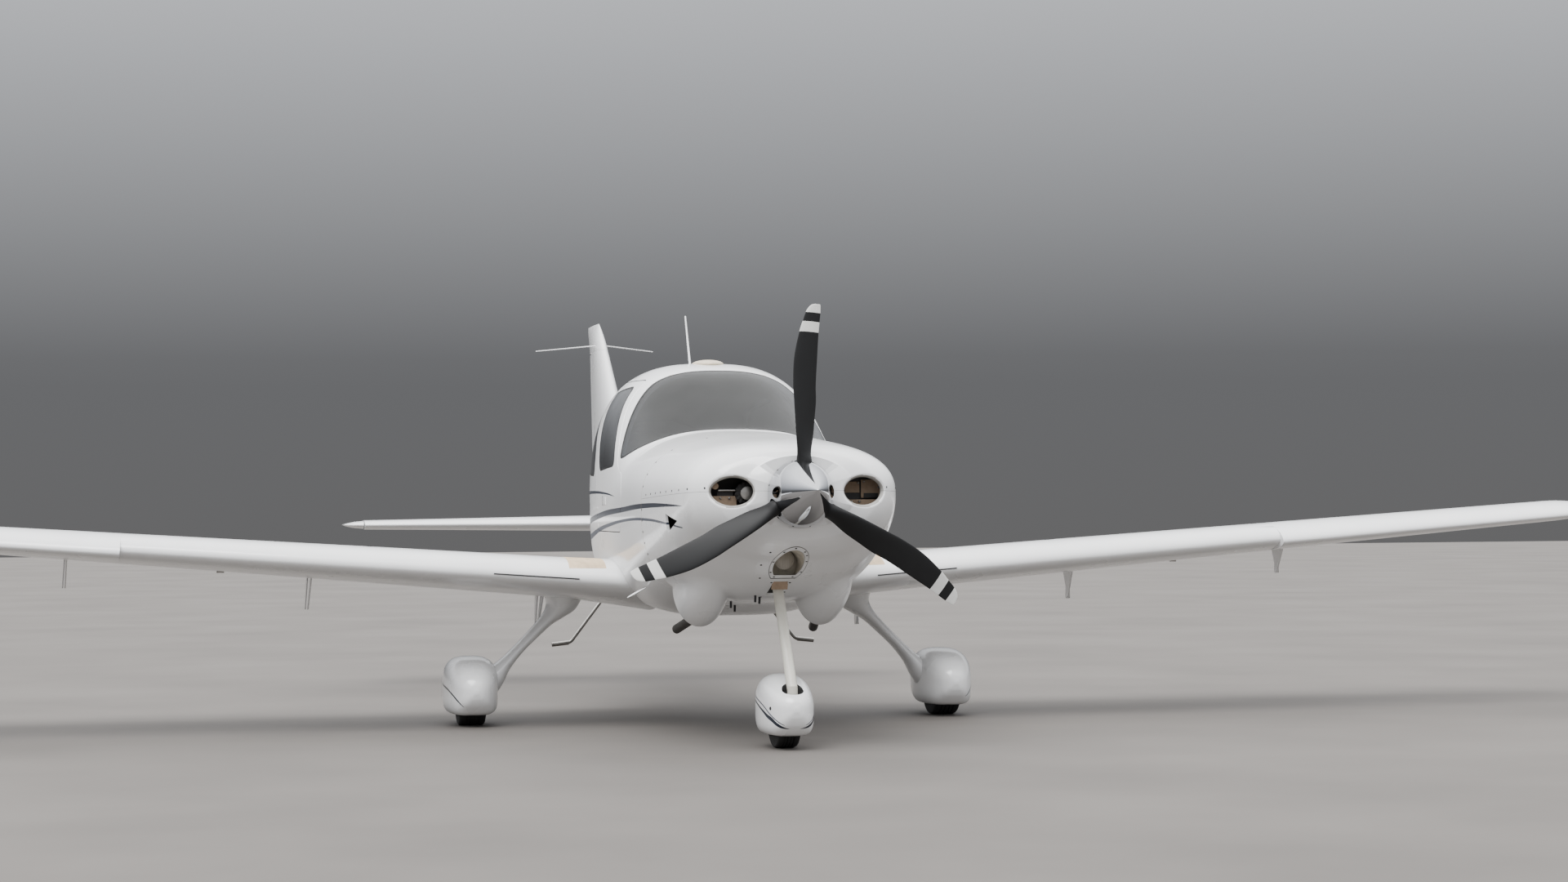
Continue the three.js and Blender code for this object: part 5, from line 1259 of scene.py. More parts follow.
# Propeller
# A polished metal spinner over the hub, and three dark composite blades with pale bands near their tips. It
# turns about a thrust line that points up a little.
THRUST_TILT = math.radians(2.5)
SPINNER_RADIUS = 0.178
SPINNER_REACH = 0.355
SPINNER_BASE = 0.058
SPINNER_WALL = 0.004
FIRST_BLADE_LEAN = math.radians(3.3)
BLADE_HOLE = 0.052
BLADE_ROOT = 0.073
BAND_START = 0.854
BAND_DARK = (0.909, 0.958)
BLADE_TIP = (0.957, 1.005)
BLADE_SECTIONS = np.array(
    [
        # radius, chord, thickness, pitch in degrees, forward shift of the middle of the chord
        [73, 86, 86, 40, 0],
        [165, 84, 84, 40, 0],
        [215, 96, 54, 38, 2],
        [300, 122, 34, 33, 3],
        [405, 135, 26, 28, 7],
        [490, 143, 21, 24, 10],
        [573, 142, 18.5, 20.5, 17],
        [715, 139, 14, 17, 16],
        [854, 113, 10.5, 14, 2],
        [909, 98, 9, 12, -8],
        [957, 85, 8, 11, -17],
        [985, 68, 6.5, 11, -25],
        [1000, 50, 5.5, 11, -33],
        [1005, 30, 4, 11, -40],
    ]
) * [MM, MM, MM, 1, MM]
hub_turn = Matrix.Translation((0, PROPELLER_Y, HUB_HEIGHT)) @ Matrix.Rotation(-THRUST_TILT, 4, "X")


def spinner_profile(inside, length):
    """The spinner's outline: the radius falls from the base to a point as (1 - t ** 1.7) ** 0.9."""
    t = 1 - np.linspace(1, 0, 60) ** 1.6
    radius = (SPINNER_RADIUS - inside) * (1 - np.minimum(t, 1) ** 1.7) ** 0.9
    return np.stack([np.maximum(radius, 0.0004), SPINNER_BASE - t * length], axis=1)


def turned(mesh, *more):
    """Carry a mesh from the thrust line's own frame to the aircraft's."""
    matrix = hub_turn
    for step in more:
        matrix = matrix @ step
    mesh.transform(matrix)
    return mesh


spinner_length = SPINNER_REACH + SPINNER_BASE
spinner_room = spinner_profile(SPINNER_WALL, spinner_length - 1.5 * SPINNER_WALL)
spinner_room = np.concatenate([[[spinner_room[0, 0], SPINNER_BASE + 0.02]], spinner_room])
spinner_steps = [("DIFFERENCE", loft_mesh("spinner_room", lathe_rings(spinner_room, 96)))]
blade_turns = [Matrix.Rotation(FIRST_BLADE_LEAN + k * math.tau / 3, 4, "Y") for k in range(3)]
for blade_turn in blade_turns:
    hole = round_bar("hole", (0, 0, 0.06), (0, 0, 0.26), BLADE_HOLE, count=64)
    hole.transform(blade_turn)
    spinner_steps.append(("DIFFERENCE", hole))
spinner_outside = loft_mesh("spinner", lathe_rings(spinner_profile(0, spinner_length), 160))
spinner = turned(carve(spinner_outside, *spinner_steps))
chrome = new_material(
    "polished_metal", (0.50, 0.51, 0.53), 0.05, stain=0.15, spread=0.05, bump=0.01, metallic=1.0
)[0]
add_piece("spinner_shell", spinner, "propeller", [chrome], ["spinner"], angle=35)


def blade_rings(radius, count):
    """Sections of the blade: an oval that is fuller towards its leading edge, turned by the pitch."""
    chord, thick, pitch, shift = (curve_value(BLADE_SECTIONS, key, radius)[:, None] for key in range(1, 5))
    turn = 2 * np.pi * np.arange(count)[None] / count
    fullness = 1 + 0.3 * np.cos(turn) * np.clip((radius[:, None] - 0.18) / 0.1, 0, 1)
    along = chord / 2 * np.cos(turn) + shift
    rise = thick / 2 * np.sin(turn) * fullness
    pitch = np.radians(pitch)
    x = -along * np.cos(pitch) + rise * np.sin(pitch)
    y = -along * np.sin(pitch) - rise * np.cos(pitch)
    return np.stack([x, y, np.broadcast_to(radius[:, None], x.shape)], axis=-1)


BLADE_WHITE = (0.66, 0.66, 0.64)
BLADE_DARK = (0.010, 0.0103, 0.011)
BLADE_SHEEN = 0.22
blade_finish, blade_tree, blade_shader, blade_tint = new_material("blade_finish", BLADE_DARK, 0.5, stain=0.3)
blade_shader.inputs["Specular IOR Level"].default_value = BLADE_SHEEN
hub_middle = {0: object_place(blade_tree), 1: (0, 0, HUB_HEIGHT)}
blade_off = add_node(blade_tree, "VectorMath", hub_middle, operation="SUBTRACT").outputs[0]
blade_flat = add_node(blade_tree, "VectorMath", {0: blade_off, 1: (1, 0, 1)}, operation="MULTIPLY").outputs[0]
blade_reach = add_node(blade_tree, "VectorMath", {0: blade_flat}, operation="LENGTH").outputs["Value"]
blade_white = math_node(blade_tree, "GREATER_THAN", blade_reach, BAND_START)
dark_middle, dark_half = sum(BAND_DARK) / 2, (BAND_DARK[1] - BAND_DARK[0]) / 2
blade_dark = math_node(blade_tree, "COMPARE", blade_reach, dark_middle, dark_half)
band = math_node(blade_tree, "SUBTRACT", blade_white, blade_dark, clamp=True)
blade_colour = mix_colours(blade_tree, band, (*BLADE_DARK, 1), (*BLADE_WHITE, 1))
blade_tree.links.new(blade_colour, blade_tint.inputs[0])
tip_round = (BLADE_TIP[1] - BLADE_TIP[0]) * np.sin(np.linspace(0.1, np.pi / 2, 16))
blade_radii = np.concatenate([np.linspace(BLADE_ROOT, BLADE_TIP[0], 70), BLADE_TIP[0] + tip_round])
for number, blade_turn in zip("123", blade_turns):
    blade = turned(loft_mesh("blade", blade_rings(blade_radii, 48)), blade_turn)
    node = "propeller_blade_" + number
    add_piece("blade_" + number, blade, "propeller", [blade_finish], [node], angle=40)

hub_profile = [
    (0.062, 0.245), (0.062, 0.066), (0.176, 0.066), (0.176, 0.0585), (0.072, 0.0585), (0.072, -0.10),
    (0.055, -0.106), (0.052, -0.14), (0.040, -0.15),
]
hub_parts = [loft_mesh("hub", lathe_rings(hub_profile, 64))]
for blade_turn in blade_turns:
    clamp_rings = lathe_rings([(0.050, 0.05), (0.050, 0.085), (0.046, 0.09), (0.046, 0.12)], 40, axis=2)
    clamp = loft_mesh("clamp", clamp_rings)
    clamp.transform(blade_turn)
    hub_parts.append(clamp)
hub = turned(joined("hub", hub_parts))
hub_metal = new_material("hub_metal", (0.30, 0.30, 0.31), 0.45, stain=0.35, scale=8, metallic=1.0)[0]
add_piece("propeller_hub_unit", hub, "propeller", [hub_metal], ["propeller_hub"])
screw_turn = np.radians(np.arange(15, 375, 30))
screw_out = np.stack([np.cos(screw_turn), 0 * screw_turn, np.sin(screw_turn)], axis=1)
screw_places = screw_out * (SPINNER_RADIUS - 0.0005) + (0, 0.044, 0)
spinner_screws = turned(screw_heads("screws", screw_places, screw_out, 0.005, 0.002, 10))
new_piece("spinner_screws", spinner_screws, "propeller", [screw_metal])

# Wings
# One-piece wings of composite skins on a carbon spar. The leading edge steps forward ahead of the ailerons,
# and the tips roll off in a quarter round with the navigation lights in their front corners.
DIHEDRAL = math.radians(4.2)
WING_ROOT = np.array([0.650, 0, 0.868])
TRAILING_EDGE = 0.0025
WING_START = -0.26
TIP_START = 4.830
WING_TIP = (5.850 - WING_ROOT[0]) / math.cos(DIHEDRAL)
WING_SECTIONS = np.array(
    [
        # u, leading edge, chord, upper, lower, pitch, cuff forward, cuff droop
        [-260, 1905, 1620, 0.098, 0.082, 3.6, 0, 0],
        [0, 1940, 1500, 0.1, 0.075, 3.5, 0, 0],
        [250, 1962, 1400, 0.101, 0.07, 3.4, 0, 0],
        [1500, 2030, 1262, 0.1, 0.066, 2.9, 0, 0],
        [2879, 2102, 1096, 0.098, 0.062, 2.3, 0, 0],
        [2880, 2102, 1096, 0.098, 0.062, 2.3, 48, 16],
        [4830, 2200, 885, 0.094, 0.056, 1.4, 40, 14],
    ]
) * [MM, MM, MM, 1, 1, 1, MM, MM]


def wing_row(u):
    """A section between the table's rows, on straight lines so that the taper has no waves in it."""
    return np.array([u, *[np.interp(u, WING_SECTIONS[:, 0], column) for column in WING_SECTIONS.T[1:]]])


def thickness(share):
    """Half thickness of a section along its chord: the usual four-figure polynomial, 1 at its fullest."""
    inner = 0.2969 * np.sqrt(share) - 0.126 * share - 0.3516 * share**2 + 0.2843 * share**3
    return 10 * (inner - 0.1015 * share**4)


def section_point(row, share, side):
    """Station and height of a section's upper or lower skin at a share of its chord."""
    lead, chord, upper, lower, pitch, reach, droop = row[1:8]
    depth = upper if side > 0 else lower
    nose = np.maximum(0, 1 - share / 0.25) ** 2
    s = lead + share * chord - nose * reach
    rise = side * chord * (depth * thickness(share) + TRAILING_EDGE * share)
    return s, rise - share * chord * np.tan(np.radians(pitch)) - nose * droop


CHORD_SHARES = (1 - np.cos(np.linspace(0, np.pi, 48))) / 2


def flat_ring(u, s, rise):
    """A ring of points in the plane at u, from their stations and heights."""
    return np.stack([np.full(len(s), u), s + PROPELLER_Y, rise], axis=1)


def section_ring(row):
    """A whole section as a ring of points: the upper skin forward to the nose, then the lower skin aft."""
    upper_s, upper_w = section_point(row, CHORD_SHARES[::-1], 1)
    lower_s, lower_w = section_point(row, CHORD_SHARES[1:], -1)
    return flat_ring(row[0], np.concatenate([upper_s, lower_s]), np.concatenate([upper_w, lower_w]))


def wing_rows(start, end, step=0.15):
    """Sections from start to end, with one at each of the table's own rows."""
    own = WING_SECTIONS[:, 0]
    inner = own[(own > start + 0.0005) & (own < end - 0.0005)]
    even = np.linspace(start, end, max(int((end - start) / step), 2))
    even = even[np.min(np.abs(even[:, None] - np.append(inner, -9)), axis=1) > 0.01]
    stations = np.unique(np.concatenate([[start, end], inner, even]))
    return [wing_row(u) for u in stations]


def tip_ring(t):
    """Past the aileron the section rolls off: its thickness as a quarter circle, its chord more slowly."""
    base = wing_row(TIP_START)
    shrink = np.sqrt(1 - (t * 0.985) ** 2)
    ease = 1 - 0.42 * (1 - shrink) ** 1.2
    row = base.copy()
    row[0] = TIP_START + (WING_TIP - TIP_START) * t
    row[1] = base[1] + base[2] * 0.62 * (1 - ease) + 0.060 * t
    row[2] = base[2] * ease
    row[3:5] *= shrink
    row[6:8] *= shrink
    return section_ring(row)


def to_wing(mesh):
    """Turn a mesh from the wing's own frame up by the dihedral about the root."""
    mesh.transform(Matrix.Translation(WING_ROOT) @ Matrix.Rotation(-DIHEDRAL, 4, "Y"))
    return mesh


FLAP = {"from": 0.130, "to": 3.240, "station": 2.960, "hinge_station": 3.000, "hinge": -0.341, "rise": 0.0293}
AILERON = {"from": 3.270, "to": 4.800, "station": 2.872, "clearance": 0.006}
BRACKETS = [0.340, 1.750, 3.190]
BRACKET_HALF = 0.004
# Corners of a fixed hanger and of the flap's arm beside it, from the hinge line
HANGER = [(-0.026, -0.006), (-0.008, -0.014), (0.012, -0.010), (0.014, 0.012)]
ARM = [(-0.016, 0.010), (-0.014, -0.012), (0.012, -0.014), (0.022, 0)]
ARM_STEP = 0.015
SIDE_GAP = 0.007
LAMP_REACH = 0.170
LIP = {"rear": 3.004, "thickness": 0.005, "slot": 0.007, "depth": 0.017}


def skin_height(row, station, side):
    """Height of a section's upper or lower skin at a station."""
    return section_point(row, (station - row[1]) / row[2], side)[1]


def hinge_at(row, station):
    """The middle and half the thickness of a section at a station."""
    top = skin_height(row, station, 1)
    bottom = skin_height(row, station, -1)
    return (top + bottom) / 2, (top - bottom) / 2


def surface_ring(row, station, count=14):
    """A moving surface's section: a round nose about its hinge line, then the skins to the trailing edge."""
    w, radius = hinge_at(row, station)
    share = (station - row[1]) / row[2]
    steps = share + np.linspace(0, 1, 10)[1:] * (1 - share)
    upper_s, upper_w = section_point(row, steps[::-1], 1)
    lower_s, lower_w = section_point(row, steps, -1)
    angle = np.pi / 2 + np.pi * np.arange(count) / (count - 1)
    nose_s = station + radius * 0.98 * np.cos(angle)
    nose_w = w + radius * 0.98 * np.sin(angle)
    rise = np.concatenate([upper_w, nose_w, lower_w])
    return flat_ring(row[0], np.concatenate([upper_s, nose_s, lower_s]), rise)


def surface_bay(first, last, station, clearance, count=48):
    """The room a moving surface turns in: a round trough about its hinge line, and all behind it."""
    rings = []
    for row in (first, last):
        w, radius = hinge_at(row, station)
        angle = np.linspace(np.pi / 2, 3 * np.pi / 2, count)
        s = station + (radius + clearance) * np.cos(angle)
        rise = w + (radius + clearance) * np.sin(angle)
        s = np.concatenate([s, [station + 0.9, station + 0.9]])
        rings.append(flat_ring(row[0], s, np.concatenate([rise, [-0.6, 0.6]])))
    return loft_mesh("bay", rings)


def upper_strip(start, end, front, rear, depth):
    """The space along the wing's upper skin between two stations, from above it to a depth below it."""
    rings = []
    for row in wing_rows(start, end):
        stations = np.array([front, rear, rear, front])
        rise = skin_height(row, stations, 1) + np.array([0.04, 0.04, -depth, -depth])
        rings.append(flat_ring(row[0], stations, rise))
    return loft_mesh("strip", rings)


def hinge_foot(u):
    """Height of the flap's hinge line, a straight line below the wing."""
    return FLAP["hinge"] + FLAP["rise"] * u


def bracket_plate(u, points):
    """A thin upright plate with rounded corners, in the plane of a wing section."""
    outline = rounded_outline(np.array(points), 0.012, 5)
    return side_prism("plate", outline, u - BRACKET_HALF, u + BRACKET_HALF)


wing_rings = [section_ring(row) for row in wing_rows(WING_START, TIP_START)]
tips = np.sin(np.linspace(0, np.pi / 2, 16)[1:])
whole_wing = loft_mesh("wing", [*wing_rings, *map(tip_ring, tips)])
lamp_from = TIP_START + (WING_TIP - TIP_START) * 0.55
lamp_to = wing_row(TIP_START)[1] + LAMP_REACH


def lamp_room(gap):
    """The corner of the wing tip that the navigation light fills."""
    return block("lamp_room", (lamp_from + gap, 1.9, -0.2), (WING_TIP + 0.05, lamp_to - gap, 0.2))


flap_start, flap_end = FLAP["from"] - SIDE_GAP, FLAP["to"] + SIDE_GAP
lip_ends = (flap_start - 0.001, flap_end + 0.001, FLAP["station"] - 0.04, LIP["rear"])
lip_room = upper_strip(*lip_ends, LIP["thickness"])
lip = carve(whole_wing.copy(), ("INTERSECT", lip_room))
body_stations = [*cowl_stations[::3], *np.arange(1.13, 1.8, 0.1), *np.arange(1.8, TAIL_END, 0.05)]
body_outside = loft_mesh("body", body_rings(body_stations, 160, -0.0003))
flap_bay = block("flap_bay", (flap_start, FLAP["station"] - 0.02, -0.6), (flap_end, 4.2, 0.6))
aileron_ends = (wing_row(AILERON["from"] - SIDE_GAP), wing_row(AILERON["to"] + SIDE_GAP))
aileron_bay = surface_bay(*aileron_ends, AILERON["station"], AILERON["clearance"])
wing_steps = [
    ("DIFFERENCE", flap_bay),
    ("DIFFERENCE", aileron_bay),
    ("DIFFERENCE", lamp_room(0)),
    ("UNION", lip),
]
flap_arms = []
hinge = FLAP["hinge_station"]


def under(row, station, deeper):
    """Height just inside a section's lower skin at a station."""
    return skin_height(row, station, -1) + deeper


for u in BRACKETS:
    foot = hinge_foot(u)
    row = wing_row(u)
    fore, aft, start, end = (FLAP["station"] + step for step in (-0.150, -0.024, 0.014, 0.130))
    hanger = [(hinge + s, foot + z) for s, z in HANGER]
    arm = [(hinge + s, foot + z) for s, z in ARM]
    hanger_outline = [(fore, under(row, fore, 0.012)), *hanger, (aft, under(row, aft, 0.012))]
    arm_outline = [(start, under(row, start, 0.008)), *arm, (end, under(row, end, 0.008))]
    wing_steps.append(("UNION", bracket_plate(u, hanger_outline)))
    flap_arms.append(("UNION", bracket_plate(u + ARM_STEP, arm_outline)))
wing = carve(to_wing(carve(whole_wing.copy(), *wing_steps)), ("DIFFERENCE", body_outside))
place_pair("wing_skin", wing, "airframe", [paint], ["wing_"])

# Wing fittings
# Dark stall strips on the inner leading edges, a gritty walkway beside each root, flush fuel caps, and pads
# under the wings and the tail to tie the aircraft down by.
dark_trim = new_material("dark_trim", (0.02, 0.02, 0.022), 0.6, stain=0.2, scale=8)[0]
STALL_STRIP = np.array([(0.010, 0.010), (-0.006, 0.001), (0.010, -0.010)])
WALKWAY = {"from": 0.09, "to": 0.31, "front": 2.00, "rear": 2.935}
FUEL_CAP = {"u": 1.45, "station": 2.36, "radius": 0.040}
strip_rings = []
for u in np.linspace(0.25, 0.75, 12):
    lead_s, lead_w = section_point(wing_row(u), 0.0, 1)
    strip_rings.append(flat_ring(u, STALL_STRIP[:, 0] + lead_s, STALL_STRIP[:, 1] + lead_w))
place_pair("stall_strip", to_wing(loft_mesh("strip", strip_rings)), "airframe", [dark_trim])
grit, grit_tree, grit_shader, _ = new_material("walkway_grit", (0.62, 0.48, 0.33), 0.85, stain=0.25, scale=5)
add_relief(grit_tree, grit_shader, add_noise(grit_tree, object_place(grit_tree), 900, 2), 0.6)
walk_rings = []
walk_stations = np.linspace(WALKWAY["front"], WALKWAY["rear"], 44)
for u in np.linspace(WALKWAY["from"], WALKWAY["to"], 8):
    top = skin_height(wing_row(u), walk_stations, 1)
    s = np.concatenate([walk_stations, walk_stations[::-1]])
    walk_rings.append(flat_ring(u, s, np.concatenate([top + 0.0008, top[::-1] - 0.004])))
place_pair("walkway", to_wing(loft_mesh("walkway", walk_rings)), "airframe", [grit])
u, s = FUEL_CAP["u"], FUEL_CAP["station"]
top = skin_height(wing_row(u), s, 1)
cap_radii = (FUEL_CAP["radius"], FUEL_CAP["radius"] - 0.002)
cap = station_bar("cap", (u, s, top - 0.006), (u, s, top + 0.0016), *cap_radii, 48)
tab = block("tab", (u - 0.015, s - 0.015, top), (u + 0.015, s + 0.032, top + 0.0032))
place_pair("fuel_cap", to_wing(joined("cap", [cap, tab])), "airframe", [screw_metal])
TIE_DOWN = [(2.9506, 2.48, 0.9439), (-2.9506, 2.48, 0.9439), (0.0, 6.6, 1.0444)]
pad_bars = [station_bar("pad", (x, s, z - 0.008), (x, s, z + 0.02), 0.022, 0.024) for x, s, z in TIE_DOWN]
add_piece("tie_down_pads", joined("pads", pad_bars), "airframe", [steel])

# Navigation lights
# Clear tinted covers, red to port and green to starboard, let flush into the wing tips.
def lens_material(name, colour):
    """Tinted clear plastic with a faint ribbing inside."""
    material, tree, shader, _ = new_material(name, colour, 0.08, stain=0.1, coat=1.0)
    add_relief(tree, shader, add_ribs(tree, 60, "Y"), 0.15)
    return material


light = to_wing(carve(whole_wing.copy(), ("INTERSECT", lamp_room(0.0006))))
for label, shape, slot, colour in (
    ("left", light, "red_lens", (0.45, 0.02, 0.02)),
    ("right", mirrored(light), "green_lens", (0.01, 0.22, 0.07)),
):
    lens = lens_material(slot, colour)
    add_piece("tip_light_" + label, shape, "airframe", [lens], ["navigation_light_" + label])


# Flaps and ailerons
# Long slotted flaps on three drop hinges each, and ailerons with round noses in a close trough outboard.
def flap_ring(row):
    """A flap's section: the wing's own skins aft of the slot, with a low rounded nose."""
    share = (FLAP["station"] - row[1]) / row[2]
    steps = share + np.linspace(0, 1, 16) ** 1.3 * (1 - share)
    top_s, top_w = section_point(row, steps, 1)
    low_s, low_w = section_point(row, steps, -1)
    depth = top_w[0] - low_w[0]
    angle = np.linspace(0, np.pi, 12)[1:-1]
    nose_s = FLAP["station"] - 0.014 * np.sin(angle)
    nose_w = low_w[0] + depth * (0.45 * (1 + np.cos(angle)) / 2)
    top_w[0] = low_w[0] + 0.45 * depth
    rise = np.concatenate([top_w[::-1], nose_w, low_w])
    return flat_ring(row[0], np.concatenate([top_s[::-1], nose_s, low_s]), rise)


slot_ends = (FLAP["from"] - 0.005, FLAP["to"] + 0.005, FLAP["station"] - 0.06, LIP["rear"] + LIP["slot"])
flap = carve(
    loft_mesh("flap", [flap_ring(row) for row in wing_rows(FLAP["from"], FLAP["to"])]),
    ("DIFFERENCE", upper_strip(*slot_ends, LIP["depth"])),
    *flap_arms,
)
place_pair("flap_skin", to_wing(flap), "flap_", [paint], ["flap_"])
aileron_rows = wing_rows(AILERON["from"], AILERON["to"])
aileron = loft_mesh("aileron", [surface_ring(row, AILERON["station"]) for row in aileron_rows])
place_pair("aileron_skin", to_wing(aileron), "aileron_", [paint], ["aileron_"])

# Tailplane and elevators
# A level tailplane that tapers on both edges, with horn-balanced elevators behind a straight hinge line.
TAIL_HEIGHT = 1.182
TAIL_SPAN = 3.930
TAIL_SECTIONS = np.array(
    [
        # u, leading edge, chord, upper, lower
        [60, 6030, 930, 0.062, 0.062],
        [1830, 6270, 610, 0.054, 0.054],
    ]
) * [MM, MM, MM, 1, 1]
ELEVATOR = {"from": 0.176, "station": 6.655, "clearance": 0.006}
HORN = {"from": 1.840, "to": TAIL_SPAN / 2}
# Share of the horn's span, then how far its nose goes back, its rear edge comes in, and its thickness falls
HORN_TABLE = (
    (0, 0.48, 0.86, 1), (0.060, 0.095, 0.170, 0.240), (0, 0.003, 0.015, 0.040), (1, 0.85, 0.55, 0.3),
)


def tail_row(u):
    """A tailplane section on straight lines between the two table rows, also past them."""
    share = (u - TAIL_SECTIONS[0, 0]) / (TAIL_SECTIONS[1, 0] - TAIL_SECTIONS[0, 0])
    row = TAIL_SECTIONS[0] * (1 - share) + TAIL_SECTIONS[1] * share
    return np.array([u, *row[1:], 0, 0, 0])


def to_tail(mesh):
    """Lift a mesh to the tailplane's height."""
    mesh.transform(Matrix.Translation((0, 0, TAIL_HEIGHT)))
    return mesh


tail_ends = np.linspace(0.06, HORN["from"] - SIDE_GAP, 12)
elevator_bay = surface_bay(tail_row(0), tail_row(HORN["to"]), ELEVATOR["station"], ELEVATOR["clearance"])
tailplane = loft_mesh("tailplane", [section_ring(tail_row(u)) for u in tail_ends])
tailplane = to_tail(carve(tailplane, ("DIFFERENCE", elevator_bay)))
tailplane = carve(tailplane, ("DIFFERENCE", body_outside))
place_pair("tailplane_skin", tailplane, "airframe", [paint], ["tailplane_"])


def horn_ring(t):
    """The balance horn's section, which sweeps back and thins towards the tip."""
    base = tail_row(HORN["from"])
    lead_back, rear_in, thin_share = (np.interp(t, HORN_TABLE[0], column) for column in HORN_TABLE[1:])
    lead = base[1] + lead_back
    chord = base[1] + base[2] - rear_in - lead
    thin = 0.05 * thin_share
    return section_ring([HORN["from"] + t * (HORN["to"] - HORN["from"]), lead, chord, thin, thin, 0, 0, 0])


elevator_rows = [tail_row(u) for u in np.linspace(ELEVATOR["from"], HORN["from"] + 0.001, 12)]
elevator = carve(
    loft_mesh("elevator", [surface_ring(row, ELEVATOR["station"]) for row in elevator_rows]),
    ("UNION", loft_mesh("horn", [horn_ring(t) for t in np.linspace(0, 1, 10)])),
)
place_pair("elevator_skin", to_tail(elevator), "elevator", [paint], ["elevator_"])

# Fin and rudder
# A swept fin faired into the tail's top, with a thin rod out of each side near its top, a cap over the
# rudder's upper end, and a rudder on a raked hinge.
FIN_SECTIONS = np.array(
    [
        # height, leading edge, trailing edge, half thickness as a share of the chord
        [1380, 5560, 7330, 0.05],
        [1640, 5640, 7362, 0.05],
        [1760, 5830, 7378, 0.052],
        [1900, 6010, 7396, 0.055],
        [2490, 6760, 7474, 0.062],
    ]
) * [MM, MM, MM, 1]
FIN_TOP = 2.700
CAP_START = 2.491
CAP_REAR = 7.565
RUDDER_LOW = {"z": 1.010, "station": 7.012, "rear": 7.290}
RUDDER_HIGH = {"z": 2.478, "station": 7.196, "rear": 7.472}
RUDDER_CLEARANCE = 0.007
ROD = {"root": (0, 6.93, 2.530), "out": 0.455, "end": (7.265, 2.5), "radii": (0.0045, 0.0035)}


def fin_row(z):
    """A fin section at a height, from smooth curves through the table."""
    lead, rear, thin = (float(curve_value(FIN_SECTIONS, key, np.array(z))) for key in (1, 2, 3))
    return np.array([z, lead, rear - lead, thin, thin, 0, 0, 0])


def hinge_station(z):
    """Station of the rudder's raked hinge line at a height."""
    share = (z - RUDDER_LOW["z"]) / (RUDDER_HIGH["z"] - RUDDER_LOW["z"])
    return RUDDER_LOW["station"] + share * (RUDDER_HIGH["station"] - RUDDER_LOW["station"])


def upright(mesh):
    """Stand a mesh up: its u becomes height, and its w points to starboard."""
    mesh.transform(Matrix(((0, 0, -1, 0), (0, 1, 0, 0), (1, 0, 0, 0), (0, 0, 0, 1))))
    return mesh


def rudder_ring(z, rear):
    """A rudder section: a round nose about the hinge, then hollow-ground sides to a thin trailing edge."""
    station = hinge_station(z)
    radius = min(hinge_at(fin_row(max(z, FIN_SECTIONS[0, 0])), station)[1], 0.062)
    radius *= np.interp(z, [1.15, 1.25], [0.86, 1])
    angle = np.linspace(np.pi / 2, 3 * np.pi / 2, 18)
    nose = np.stack([station + radius * np.cos(angle), radius * np.sin(angle)], axis=1)
    share = np.linspace(0, 1, 8)[1:]
    back = station + share * (rear - station)
    half = radius * (1 - share) ** 1.05 * (1 - 0.24 * np.sin(np.pi * share)) + 0.003 * share
    sides = np.stack([back, -half], axis=1)
    return flat_ring(z, *np.concatenate([nose, sides, sides[::-1] * [1, -1]]).T)


fin_heights = np.concatenate([np.linspace(1.38, 1.95, 30), np.linspace(2.0, 2.49, 12)])
fin_bay = []
for z in (RUDDER_LOW["z"] - 0.2, RUDDER_HIGH["z"] + 0.014):
    station = hinge_station(z)
    radius = hinge_at(fin_row(max(z, FIN_SECTIONS[0, 0])), station)[1] + RUDDER_CLEARANCE
    angle = np.linspace(np.pi / 2, 3 * np.pi / 2, 40)
    arc = np.stack([station + radius * np.cos(angle), radius * np.sin(angle)], axis=1)
    arc = np.concatenate([arc, [[8.2, -radius - 0.04], [8.2, radius + 0.04]]])
    fin_bay.append(flat_ring(z, *arc.T))
rods = [station_bar("rod", ROD["root"], (way * ROD["out"], *ROD["end"]), *ROD["radii"]) for way in (-1, 1)]
fin = carve(
    upright(loft_mesh("fin", [section_ring(fin_row(z)) for z in fin_heights])),
    ("DIFFERENCE", upright(loft_mesh("fin_bay", fin_bay))),
    ("DIFFERENCE", body_outside),
    *[("UNION", rod) for rod in rods],
)
add_piece("fin_skin", fin, "airframe", [paint], ["fin"])


def cap_ring(t):
    """The cap over the fin: the section keeps its sweep and rounds off to the top."""
    _, lead, chord, upper, lower, *rest = fin_row(CAP_START - 0.001)
    shrink = np.sqrt(1 - (t * 0.97) ** 2)
    rear = lead + chord + (CAP_REAR - lead - chord) * min(1, t * 1.25)
    front = lead + (FIN_TOP - CAP_START + 0.001) * t * 1.15 + 0.03 * t * t
    height = CAP_START + (FIN_TOP - CAP_START - 0.001) * t
    return section_ring([height, front, rear - front, upper * shrink, lower * shrink, *rest])


fin_cap = upright(loft_mesh("fin_cap", [cap_ring(t) for t in np.sin(np.linspace(0, np.pi / 2, 18))]))
add_piece("fin_cap_skin", fin_cap, "airframe", [paint], ["fin_cap"])
rudder_rows = np.linspace(RUDDER_LOW["z"], RUDDER_HIGH["z"], 30)
rudder_ends = [[end[key] for end in (RUDDER_LOW, RUDDER_HIGH)] for key in ("z", "rear")]
rudder_rear = np.interp(rudder_rows, *rudder_ends)
rudder = upright(loft_mesh("rudder", [rudder_ring(z, rear) for z, rear in zip(rudder_rows, rudder_rear)]))
add_piece("rudder_skin", rudder, "rudder", [paint], ["rudder"])

